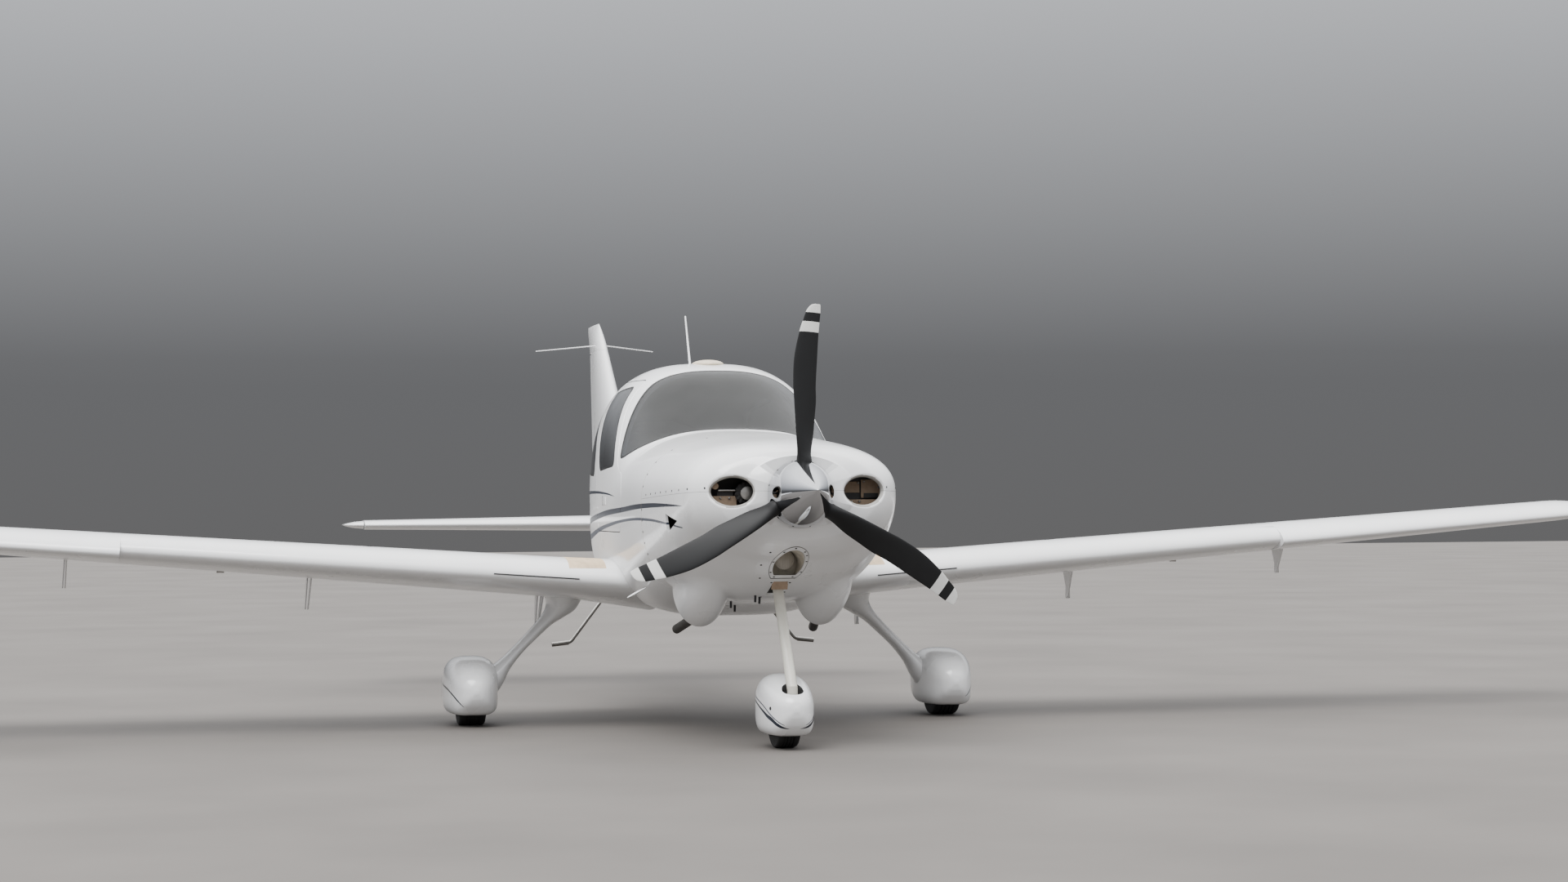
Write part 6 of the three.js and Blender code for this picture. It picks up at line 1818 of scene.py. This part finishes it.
# Main landing gear
# A faired composite leg sweeps down from each wing root to a wheel in a teardrop pant. The leg's foot widens
# into a flange on the pant's inboard side.
WHEEL_X = 1.470
MAIN_AXLE = 2.620
MAIN_TYRE = {"radius": 0.190, "half": 0.080, "rim": 0.078, "well": 0.203, "well_half": 0.096}
LEG_SECTIONS = np.array(
    [
        # x, station, z, half length along the aircraft, half thickness
        [895, 2640, 830, 225, 130],
        [920, 2640, 735, 190, 105],
        [952, 2638, 680, 150, 66],
        [1000, 2634, 628, 118, 42],
        [1080, 2630, 548, 96, 34],
        [1180, 2626, 448, 92, 32],
        [1262, 2622, 360, 104, 42],
        [1320, 2620, 290, 120, 62],
        [1362, 2620, 232, 120, 66],
        [1402, 2620, 166, 104, 60],
    ]
) * MM
PANT_SECTIONS = np.array(
    [
        # station from the axle, half width, middle, top, bottom, exponent
        [-345, 14, 214, 226, 202, 2],
        [-335, 46, 216, 262, 168, 2.1],
        [-305, 84, 218, 306, 124, 2.3],
        [-240, 122, 222, 354, 78, 2.6],
        [-130, 150, 226, 394, 68, 2.9],
        [0, 163, 229, 412, 66, 3],
        [130, 156, 232, 408, 68, 3],
        [290, 124, 239, 376, 96, 2.7],
        [440, 80, 249, 328, 150, 2.4],
        [570, 36, 258, 286, 218, 2.1],
        [620, 8, 262, 270, 254, 2],
    ]
) * [MM, MM, MM, MM, MM, 1]
# How much squarer a pant's sections are below their middle, and how far its inner faces reach from the axle
PANT_FOOT = 1.7
ROOM_REACH = (-0.285, 0.23)
ROOM_DEPTH = 0.06
LEG_FIT = 0.0004
AXLE_HOLE = 0.02
AXLE_RADIUS = 0.018


def pant_rings(table, x, station):
    """Superellipse sections along a wheel pant, squarer below, closer together towards its blunt nose."""
    nose, shoulder, tail = table[[0, 3, -1], 0]
    front = nose + (shoulder - nose) * np.linspace(0, 1, 26) ** 2
    ahead = np.concatenate([front, np.linspace(shoulder, tail, 50)[1:]])
    half, middle, top, bottom, power = (curve_value(table, key, ahead)[:, None] for key in range(1, 6))
    turn = 2 * np.pi * np.arange(72)[None] / 72
    high = np.where(np.sin(turn) >= 0, top - middle, middle - bottom)
    power = np.where(np.sin(turn) >= 0, power, power * PANT_FOOT)
    angle = np.arctan2(np.sin(turn) * high, np.cos(turn) * half)
    radius = superellipse(half, high, power, angle)
    y = np.broadcast_to((station + ahead + PROPELLER_Y)[:, None], radius.shape)
    return np.stack([x + radius * np.cos(angle), y, middle + radius * np.sin(angle)], axis=-1)


def mark_inside(mesh, table, x, station):
    """Give the faces that lie well inside a pant's superellipse sections the second material."""
    centres = read_vectors(mesh.polygons, "center")
    s = centres[:, 1] - PROPELLER_Y - station
    half, middle, top, bottom, power = (curve_value(table, key, s) for key in range(1, 6))
    rise = centres[:, 2] - middle
    high = np.where(rise >= 0, top - middle, middle - bottom)
    power = np.where(rise >= 0, power, power * PANT_FOOT)
    depth = 1 - (np.abs(centres[:, 0] - x) / half) ** power - (np.abs(rise) / high) ** power
    inside = (depth > ROOM_DEPTH) & (s > ROOM_REACH[0]) & (s < ROOM_REACH[1])
    mesh.polygons.foreach_set("material_index", inside.astype(np.int32))


def pant_paint(name, middle_x, rows, outboard):
    """White paint with stripes that sweep back round a pant's nose. A stripe's height is given over the
    station plus the distance out from the pant's middle plane."""
    finish, tree, shader, tint = new_material(name, WHITE, GLOSS, coat=COAT)
    where = add_node(tree, "SeparateXYZ", {0: object_place(tree)}).outputs
    across = math_node(tree, "SUBTRACT", math_node(tree, "ABSOLUTE", where["X"]), middle_x)
    station = math_node(tree, "SUBTRACT", where["Y"], PROPELLER_Y)
    swept = math_node(tree, "ADD", station, math_node(tree, "ABSOLUTE", across))
    stripes = []
    for colour, places in rows:
        mask = stripe_mask(tree, swept, where["Z"], places, places[0][0] - 0.05, 1.2)
        if outboard:
            mask = math_node(tree, "MULTIPLY", mask, math_node(tree, "GREATER_THAN", across, 0.02))
        stripes.append((colour, mask))
    add_stripes(tree, shader, tint, stripes)
    return finish


def leg_rings(grow=0.0):
    """Sections across the leg from root to foot: an oval, longer behind than ahead, square to the leg."""
    along = np.concatenate([[0], np.cumsum(np.hypot(*np.diff(LEG_SECTIONS[:, [0, 2]], axis=0).T))])
    table = np.column_stack([along, LEG_SECTIONS])
    rows = np.linspace(0, along[-1], 70)
    x, station, z, half, thick = (curve_value(table, key, rows) for key in range(1, 6))
    step_x, step_z = np.gradient(x), np.gradient(z)
    long = np.hypot(step_x, step_z)
    turn = 2 * np.pi * np.arange(56)[None] / 56
    out = (thick[:, None] + grow) * np.sin(turn)
    aft = (half[:, None] + grow) * np.cos(turn) * np.where(np.cos(turn) > 0, 1.15, 0.85)
    across_x = x[:, None] - (step_z / long)[:, None] * out
    across_z = z[:, None] + (step_x / long)[:, None] * out
    return np.stack([across_x, station[:, None] + aft + PROPELLER_Y, across_z], axis=-1)


def wheel_room(table, x, station):
    """The space a wheel needs inside its pant: a drum about the axle, narrower where it opens below."""
    low, high = x - table["well_half"], x + table["well_half"]
    ends = ((low, station, table["radius"]), (high, station, table["radius"]))
    drum = station_bar("drum", *ends, table["well"], count=96)
    side = table["half"] + 0.014
    long = table["well"] + 0.1
    steps = [("DIFFERENCE", block("foot", (low, station - long, -0.1), (high, station + long, 0.148)))]
    for z_low, z_high in ((0, 0.1), (0.09, 0.15)):
        reach = math.sqrt(table["well"] ** 2 - (table["radius"] - z_high) ** 2)
        below = block("below", (x - side, station - reach, z_low), (x + side, station + reach, z_high))
        steps.append(("UNION", below))
    return carve(drum, *steps)


rubber = new_material("tyre_rubber", (0.018, 0.018, 0.018), 0.75, stain=0.35, bump=0.3, scale=6)[0]
alloy = new_material("cast_alloy", (0.55, 0.56, 0.57), 0.4, stain=0.3, scale=5, metallic=1.0)[0]
room = wheel_room(MAIN_TYRE, WHEEL_X, MAIN_AXLE)
inboard, middle, outboard = (
    (WHEEL_X + step, MAIN_AXLE, MAIN_TYRE["radius"]) for step in (-0.116, 0, 0.062)
)
hole_start = (WHEEL_X - 0.13, MAIN_AXLE, MAIN_TYRE["radius"])
pant = carve(
    loft_mesh("pant", pant_rings(PANT_SECTIONS, WHEEL_X, MAIN_AXLE)),
    ("DIFFERENCE", room),
    ("DIFFERENCE", loft_mesh("leg_room", leg_rings(LEG_FIT))),
    ("DIFFERENCE", station_bar("axle_hole", hole_start, middle, AXLE_HOLE)),
)
main_stripe = [
    # station swept back, height and width
    (2.390, 0.125, 0.0), (2.406, 0.136, 0.008), (2.446, 0.160, 0.012), (2.56, 0.205, 0.012),
    (2.75, 0.240, 0.013), (3.20, 0.262, 0.0),
]
main_pant_paint = pant_paint("main_pant_paint", WHEEL_X, [(STRIPE_NAVY, main_stripe)], True)
place_pair("main_pant", pant, "airframe", [main_pant_paint, well_dark], ["wheel_pant_"])
for label, way in (("left", 1), ("right", -1)):
    mark_inside(bpy.data.objects["main_pant_" + label].data, PANT_SECTIONS, way * WHEEL_X, MAIN_AXLE)
leg = carve(
    loft_mesh("leg", leg_rings()),
    ("DIFFERENCE", to_wing(loft_mesh("wing_solid", wing_rings))),
    ("DIFFERENCE", block("above", (0.6, 2.0, 0.83), (1.4, 3.2, 1.4))),
    ("DIFFERENCE", body_outside),
    ("DIFFERENCE", room),
    ("UNION", station_bar("axle", inboard, outboard, AXLE_RADIUS)),
)
place_pair("main_leg", leg, "airframe", [paint], ["gear_leg_"])


SHOULDER = 0.012
DISC_HALF = 0.015


def both_sides(right):
    """A wheel's whole section from its right half, as rows of radius and offset along the axle."""
    right = np.array(right)
    return np.concatenate([right, right[::-1] * [1, -1]])


def tyre_profile(table):
    """The tyre's section: sidewalls bulge from the rim and roll over shoulders to a flat grooved tread."""
    radius, half, rim = table["radius"], table["half"], table["rim"]
    wall = np.linspace(0, 1, 16)
    side_radius = rim + (radius - SHOULDER - rim) * wall
    side_half = half * (0.74 + 0.26 * np.sin(np.pi * np.clip(wall * 1.05, 0, 1) * 0.62) ** 0.8)
    shoulder = np.linspace(0, np.pi / 2, 7)[1:]
    shoulder_radius = radius - SHOULDER + SHOULDER * np.sin(shoulder)
    shoulder_half = side_half[-1] - 0.020 * (1 - np.cos(shoulder))
    half_tread = shoulder_half[-1]
    tread = []
    for groove in (0.62, 0.22):
        centre = half_tread * groove
        tread += [(radius, centre + 0.004), (radius - 0.005, centre + 0.003)]
        tread += [(radius - 0.005, centre - 0.003), (radius, centre - 0.004)]
    curves = np.stack([[*side_radius, *shoulder_radius], [*side_half, *shoulder_half]], axis=1)
    return both_sides([*curves, *tread])


def rim_profile(table, bore):
    """The wheel's section: two flanges, a dished disc between them and a hub about the axle."""
    edge = table["half"] * 0.7
    rim = table["rim"] - 0.0005
    hub = edge * 0.8
    disc = (bore + 0.02, DISC_HALF), (rim - 0.016, DISC_HALF)
    return both_sides([(bore, hub), (bore + 0.018, hub), *disc, (rim - 0.004, edge), (rim, edge)])


def add_wheel(label, table, place, bore, nodes, body):
    """Place a tyre and a wheel: each is its section's closed profile carried round the axle."""
    for kind, profile, finish, node in (
        ("tyre_", tyre_profile(table), rubber, nodes[0]),
        ("rim_", rim_profile(table, bore), alloy, nodes[1]),
    ):
        mesh = closed_loop(kind, lathe_rings(profile, 96, axis=0) + stationed(place))
        add_piece(kind + label, mesh, body, [finish], [node])


for label, x in (("left", WHEEL_X), ("right", -WHEEL_X)):
    nodes = ("main_tyre_" + label, "main_wheel_" + label)
    add_wheel(label, MAIN_TYRE, (x, MAIN_AXLE, MAIN_TYRE["radius"]), AXLE_HOLE, nodes, nodes[1])

# Nose landing gear
# A raked tube runs down from the firewall to a castoring fork, whose faired wheel trails behind the pivot.
NOSE_AXLE = 0.500
PIVOT = 0.288
LEG_FOOT = 0.262
NOSE_TYRE = {"radius": 0.178, "half": 0.062, "rim": 0.064, "well": 0.190, "well_half": 0.096}
NOSE_LEG_RADIUS = 0.029
NOSE_LEG_PATH = [(0, PIVOT, LEG_FOOT + 0.062), (0, 0.792, 1.085), (0, FIREWALL + 0.02, 1.085)]
NOSE_BORE = 0.016
NOSE_PANT_SECTIONS = np.array(
    [
        # station from the axle, half width, middle, top, bottom, exponent
        [-312, 14, 222, 236, 210, 2],
        [-303, 44, 222, 268, 176, 2.1],
        [-275, 80, 221, 300, 128, 2.3],
        [-212, 114, 220, 334, 82, 2.5],
        [-110, 136, 220, 372, 73, 2.7],
        [0, 143, 222, 396, 72, 2.8],
        [120, 134, 226, 391, 74, 2.8],
        [250, 104, 232, 352, 106, 2.5],
        [380, 60, 242, 304, 170, 2.3],
        [470, 20, 250, 268, 232, 2],
        [485, 7, 252, 258, 246, 2],
    ]
) * [MM, MM, MM, MM, MM, 1]


def pivot_bar(name, low, high, radius, end_radius=None, count=32):
    """An upright bar on the caster's pivot, between two heights from the leg's foot."""
    foot, top = (0, PIVOT, LEG_FOOT + low), (0, PIVOT, LEG_FOOT + high)
    return station_bar(name, foot, top, radius, end_radius, count)


nose_path = smooth_path(stationed(NOSE_LEG_PATH))
nose_leg = carve(
    bent_bar("nose_leg", nose_path, NOSE_LEG_RADIUS, (1.0, 0, 0), 40),
    ("UNION", pivot_bar("housing", 0, 0.084, 0.03, 0.027)),
    ("DIFFERENCE", pivot_bar("socket", -0.01, 0.034, 0.014)),
)
leg_paint = new_material("leg_paint", (0.68, 0.66, 0.58), 0.4, stain=0.15, coat=0.3)[0]
add_piece("nose_strut", nose_leg, "airframe", [leg_paint], ["nose_gear_leg"])
yoke_room = block("yoke_room", (-0.094, PIVOT - 0.018, 0.15), (0.094, NOSE_AXLE - 0.06, LEG_FOOT + 0.006))
nose_pant = carve(
    loft_mesh("nose_pant", pant_rings(NOSE_PANT_SECTIONS, 0, NOSE_AXLE)),
    ("DIFFERENCE", wheel_room(NOSE_TYRE, 0, NOSE_AXLE)),
    ("DIFFERENCE", yoke_room),
    ("DIFFERENCE", pivot_bar("pivot_room", 0.15 - LEG_FOOT, 0.06, 0.06)),
    ("DIFFERENCE", pivot_bar("leg_room", 0.04, 0.5 - LEG_FOOT, 0.058, count=64)),
)
nose_stripes = [
    # colour, then station swept back, height and width
    (
        STRIPE_NAVY,
        [
            (0.262, 0.120, 0.002), (0.30, 0.129, 0.013), (0.34, 0.1417, 0.021), (0.405, 0.1686, 0.024),
            (0.465, 0.1834, 0.022), (0.53, 0.204, 0.017), (0.612, 0.2264, 0.013), (0.75, 0.253, 0.013),
            (0.95, 0.266, 0.013), (1.10, 0.268, 0.0),
        ],
    ),
    (
        STRIPE_SLATE,
        [
            (0.28, 0.141, 0.002), (0.3016, 0.1481, 0.006), (0.3614, 0.1709, 0.008), (0.4375, 0.2004, 0.009),
            (0.5294, 0.2347, 0.009), (0.6566, 0.2619, 0.009), (0.85, 0.284, 0.009), (1.06, 0.292, 0.0),
        ],
    ),
]
nose_finishes = [pant_paint("nose_pant_paint", 0.0, nose_stripes, False), well_dark]
add_piece("nose_fairing", nose_pant, "nose_caster", nose_finishes, ["nose_pant"])
mark_inside(nose_pant, NOSE_PANT_SECTIONS, 0.0, NOSE_AXLE)
PLUG_PLACE = (-0.1178, 0.3013, 0.2275)
PLUG_OUTWARD = (-0.92, -0.38, 0.06)
plug = screw_heads("plug", stationed([PLUG_PLACE]), np.array([PLUG_OUTWARD]), 0.010, 0.002, 16)
new_piece("nose_pant_plug", plug, "nose_caster", [screw_metal])
FORK_ARM = NOSE_TYRE["well_half"] - 0.016
yoke_low = (-FORK_ARM - 0.006, PIVOT - 0.014, LEG_FOOT - 0.036)
yoke_high = (FORK_ARM + 0.006, PIVOT + 0.014, LEG_FOOT - 0.010)
axle_place = np.array([0, NOSE_AXLE, NOSE_TYRE["radius"]])
fork_parts = [
    pivot_bar("head", -0.038, -0.006, 0.034),
    pivot_bar("pin", -0.02, 0.030, 0.012),
    block("yoke", yoke_low, yoke_high),
    station_bar("axle", axle_place - [FORK_ARM, 0, 0], axle_place + [FORK_ARM, 0, 0], 0.0136),
]
for way in (1, -1):
    arm_top = (way * FORK_ARM, PIVOT, LEG_FOOT - 0.023)
    inner, end, outer = (axle_place + [way * (FORK_ARM + step), 0, 0] for step in (-0.008, 0, 0.008))
    fork_parts += [station_bar("arm", arm_top, end, 0.011), station_bar("boss", inner, outer, 0.024)]
add_piece("caster_fork", joined("fork", fork_parts), "nose_caster", [steel], ["nose_fork"])
add_wheel("nose", NOSE_TYRE, axle_place, NOSE_BORE, ("nose_tyre", "nose_wheel"), "nose_wheel")

# Steps and antennas
# Bent steel steps behind the wings, a whip antenna on a foot and a low round one on the cabin's roof, and a
# small white vane that stands out of the starboard side below the door's front edge.
STEP_PATH = [(0.455, 3.545, 0.800), (0.735, 3.505, 0.443), (0.855, 3.505, 0.430)]
TREAD = ((0.748, 3.505, 0.4415), (0.8555, 3.505, 0.430), 0.0145)
VANE = {"place": (-0.636, 1.52, 0.817), "sizes": (0.062, 0.022, 0.006), "slope": math.radians(-28)}
step = carve(
    bent_bar("step", smooth_path(stationed(STEP_PATH), 70, 5), 0.011, (0, 1.0, 0), 24),
    ("UNION", station_bar("tread", *TREAD)),
    ("DIFFERENCE", body_outside),
)
place_pair("step", step, "airframe", [steel], ["boarding_step_"])


def ellipsoid_mesh(name, centre, sizes, rows=24, count=48):
    """An ellipsoid as rings along the aircraft."""
    turn = np.linspace(-POLE, POLE, rows)[:, None]
    ring = 2 * np.pi * np.arange(count)[None] / count
    x = centre[0] + sizes[0] * np.cos(turn) * np.cos(ring)
    y = np.broadcast_to(centre[1] + PROPELLER_Y + sizes[1] * np.sin(turn), x.shape)
    z = centre[2] + sizes[2] * np.cos(turn) * np.sin(ring)
    return loft_mesh(name, np.stack([x, y, z], axis=-1))


whip = carve(
    station_bar("whip", (0, 3.180, 2.100), (-0.010, 3.330, 2.520), 0.008, 0.005),
    ("UNION", ellipsoid_mesh("foot", (0, 3.185, 2.152), (0.030, 0.060, 0.022))),
    ("DIFFERENCE", body_outside),
)
add_piece("whip_antenna", whip, "airframe", [paint], ["radio_antenna"])
puck = carve(ellipsoid_mesh("puck", (0, 2.640, 2.176), (0.098, 0.150, 0.030)), ("DIFFERENCE", body_outside))
cream = new_material("antenna_cream", (0.64, 0.56, 0.43), 0.4, stain=0.2, scale=4)[0]
add_piece("roof_antenna", puck, "airframe", [cream], ["gps_antenna"])
vane = ellipsoid_mesh("vane", (0, -PROPELLER_Y, 0), VANE["sizes"])
vane.transform(Matrix.Translation(tuple(stationed(VANE["place"]))) @ Matrix.Rotation(VANE["slope"], 4, "Y"))
add_piece("side_vane", vane, "airframe", [paint])

# Cabin floor and instrument panel
# A carpeted floor and bulkhead, and under the windscreen a dark padded glareshield over a panel with two
# wide displays, a small standby one, and rows of knobs.
carpet, carpet_tree, carpet_shader, _ = new_material("carpet", (0.10, 0.095, 0.085), 0.95, stain=0.4, scale=5)
pile = add_noise(carpet_tree, object_place(carpet_tree), 700, 3)
add_relief(carpet_tree, carpet_shader, pile, 0.9, 0.002)
bpy.data.objects["cabin_floor"].material_slots[0].material = carpet
panel_side = [
    [1.560, 1.640], [1.590, 1.668], [1.960, 1.640], [1.985, 1.590],
    [1.935, 1.560], [1.895, 1.210], [1.840, 1.210], [1.800, 1.560],
]
behind_doors = loft_mesh("behind_doors", body_rings(CAVITY, 96, WALL + 0.013))
shield = carve(
    side_prism("panel", rounded_outline(panel_side, 0.024), -0.9, 0.9),
    ("INTERSECT", behind_doors),
)
vinyl = new_material("dark_vinyl", (0.035, 0.035, 0.037), 0.75, stain=0.3, scale=6, bump=0.4)[0]
add_piece("glareshield", shield, "airframe", [vinyl], ["instrument_panel"])
# x and z of each display's sides
DISPLAYS = [(-0.43, -0.13, 1.335, 1.530), (0.13, 0.43, 1.335, 1.530), (-0.075, 0.075, 1.40, 1.52)]
DISPLAY_PROUD = 0.006


def panel_face(z):
    """Station of the panel's leaning face at a height."""
    return 1.895 + (z - 1.21) * 0.1143


def on_panel(x_low, x_high, z_low, z_high):
    """A flat box on the panel's leaning face."""
    low, high = panel_face(z_low), panel_face(z_high)
    back = [(low - 0.01, z_low), (low + DISPLAY_PROUD, z_low)]
    outline = [*back, (high + DISPLAY_PROUD, z_high), (high - 0.01, z_high)]
    return side_prism("display", np.array(outline), x_low, x_high)


screens = joined("screens", [on_panel(*sides) for sides in DISPLAYS])
screen_glass = new_material("screen_glass", (0.012, 0.014, 0.018), 0.12, stain=0.2, scale=4, coat=0.8)[0]
add_piece("displays", screens, "airframe", [screen_glass])
knob_rows = ((-0.42, -0.14, 8), (-0.06, 0.06, 4), (0.14, 0.42, 8))
knob_x = np.concatenate([np.linspace(*row) for row in knob_rows])
knob_z = np.where(np.abs(knob_x) < 0.1, 1.365, 1.305)
knob_places = stationed(np.stack([knob_x, panel_face(knob_z), knob_z], axis=1))
knobs = screw_heads("knobs", knob_places, np.broadcast_to((0, 1.0, 0), knob_places.shape), 0.008, 0.014, 14)
new_piece("panel_knobs", knobs, "airframe", [black_metal_and_shade])

# Seats
# Two front seats and a rear bench: a padded leather cushion on a trimmed base, a padded back on a hard shell
# and a headrest on two posts. The pads are blown up as cloth from slightly smaller blocks.
PAD_CAP = 0.020
PRESSURE = 4
CLOTH_FRAMES = 20
leather, leather_tree, leather_shader, _ = new_material(
    "leather", (0.36, 0.31, 0.24), 0.55, stain=0.3, scale=4
)
grain_place = {"Vector": object_place(leather_tree), "Scale": 350}
grain = add_node(leather_tree, "TexVoronoi", grain_place).outputs["Distance"]
add_relief(leather_tree, leather_shader, grain, 0.3)


def blown_pad(mesh, voxel):
    """Remesh a block evenly, swell it as cloth under pressure, and cap how far each point moved."""
    scene = bpy.context.scene
    block_object = bpy.data.objects.new("pad_block", mesh)
    scene.collection.objects.link(block_object)
    remesh = block_object.modifiers.new("remesh", "REMESH")
    remesh.mode = "VOXEL"
    remesh.voxel_size = voxel
    start = bpy.data.meshes.new_from_object(block_object.evaluated_get(bpy.context.evaluated_depsgraph_get()))
    bpy.data.objects.remove(block_object)
    pad = bpy.data.objects.new("pad", start.copy())
    scene.collection.objects.link(pad)
    cloth = pad.modifiers.new("cloth", "CLOTH")
    cloth.settings.use_pressure = True
    cloth.settings.uniform_pressure_force = PRESSURE
    cloth.settings.effector_weights.gravity = 0
    cloth.settings.quality = 4
    cloth.collision_settings.use_collision = False
    for frame_number in range(1, CLOTH_FRAMES + 1):
        scene.frame_set(frame_number)
    swollen = bpy.data.meshes.new_from_object(pad.evaluated_get(bpy.context.evaluated_depsgraph_get()))
    bpy.data.objects.remove(pad)
    scene.frame_set(1)
    before = read_vectors(start.vertices, "co")
    move = read_vectors(swollen.vertices, "co") - before
    far = np.linalg.norm(move, axis=1, keepdims=True)
    after = before + move * np.minimum(1, PAD_CAP / np.maximum(far, 1e-9))
    start.vertices.foreach_set("co", after.ravel())
    return start


def sewn(mesh, seams, depth=0.006, width=0.007):
    """Draw a pad's skin in along upright seams, each given by its x, as a smooth groove."""
    points = read_vectors(mesh.vertices, "co")
    normals = read_vectors(mesh.vertices, "normal")
    pull = sum(np.exp(-(((points[:, 0] - x) / width) ** 2)) for x in seams)
    mesh.vertices.foreach_set("co", (points - normals * (depth * pull)[:, None]).ravel())
    return mesh


def pad_block(outline, x_low, x_high, inset=0.012):
    """A block for a pad: a side outline with round corners, drawn in all round."""
    side_view = rounded_outline(inset_outline(np.array(outline), inset), 0.03, 6)
    return side_prism("pad", side_view, x_low + inset, x_high - inset)


def add_pad(name, mesh, replaced=()):
    """Place a pad, shaded smooth, with one subdivision."""
    piece = new_piece(name, mesh, "airframe", [leather], replaced)
    mesh.polygons.foreach_set("use_smooth", np.ones(len(mesh.polygons), dtype=bool))
    finer = piece.modifiers.new("finer", "SUBSURF")
    finer.levels = 1
    finer.render_levels = 1


def headrest_side(station, z):
    """A headrest's side outline from its lower front corner."""
    corners = ((0, 0), (0.020, 0.190), (0.100, 0.190), (0.085, -0.010))
    return [(station + ahead, z + up) for ahead, up in corners]


def seat_base(name, shell_side, pan_side, low, high, posts, post_low, post_high):
    """A seat's hard back shell and pan, and the posts of its headrests."""
    parts = [
        side_prism("shell", rounded_outline(shell_side, 0.012, 5), low, high),
        side_prism("pan", rounded_outline(pan_side, 0.02, 5), low + 0.005, high - 0.005),
    ]
    parts += [station_bar("post", (x, *post_low), (x, *post_high), 0.006, count=14) for x in posts]
    return joined(name, parts)


base_side = [(2.234, 0.985), (2.232, 1.090), (2.290, 1.128), (2.676, 1.080), (2.672, 0.952)]
back_side = [(2.640, 1.070), (2.792, 1.585), (2.838, 1.585), (2.704, 1.050)]
front_pads = {
    "cushion": sewn(blown_pad(pad_block(base_side, 0.070, 0.540), 0.007), (0.19, 0.305, 0.42)),
    "backrest": sewn(blown_pad(pad_block(back_side, 0.070, 0.540, 0.008), 0.007), (0.19, 0.42)),
    "headrest": blown_pad(pad_block(headrest_side(2.815, 1.585), 0.178, 0.432, 0.010), 0.007),
}
for label in ("left", "right"):
    for kind, mesh in front_pads.items():
        replaced = ["front_seat_" + label] if kind == "cushion" else []
        add_pad("front_" + kind + "_" + label, mesh if label == "left" else mirrored(mesh), replaced)
shell_side = [[2.712, 1.02], [2.846, 1.592], [2.874, 1.592], [2.752, 1.015]]
pan_side = [[2.250, 0.8610], [2.242, 0.982], [2.668, 0.950], [2.668, 0.8610]]
posts = ((0.25, 0.36), (2.862, 1.575), (2.868, 1.62))
front_base = seat_base("front_base", shell_side, pan_side, 0.080, 0.530, *posts)
place_pair("front_base", front_base, "airframe", [vinyl])
rear_base_side = [(3.234, 0.985), (3.232, 1.100), (3.290, 1.138), (3.578, 1.090), (3.574, 0.960)]
rear_back_side = [(3.542, 1.070), (3.690, 1.545), (3.738, 1.545), (3.606, 1.050)]
bench_seams = (-0.32, -0.16, 0.0, 0.16, 0.32)
rear_cushion = blown_pad(pad_block(rear_base_side, -0.465, 0.465), 0.009)
add_pad("rear_cushion", sewn(rear_cushion, bench_seams), ["rear_seat"])
rear_backrest = blown_pad(pad_block(rear_back_side, -0.465, 0.465, 0.008), 0.009)
add_pad("rear_backrest", sewn(rear_backrest, bench_seams))
rear_headrest = blown_pad(pad_block(headrest_side(3.700, 1.545), 0.123, 0.377, 0.010), 0.007)
add_pad("rear_headrest_left", rear_headrest)
add_pad("rear_headrest_right", mirrored(rear_headrest))
rear_shell = [[3.612, 1.02], [3.746, 1.552], [3.774, 1.552], [3.652, 1.015]]
rear_pan = [[3.250, 0.8610], [3.242, 0.982], [3.570, 0.955], [3.570, 0.8610]]
rear_posts = ((-0.3, -0.2, 0.2, 0.3), (3.762, 1.535), (3.764, 1.58))
rear_base = seat_base("rear_base", rear_shell, rear_pan, -0.455, 0.455, *rear_posts)
add_piece("rear_base", rear_base, "airframe", [vinyl])
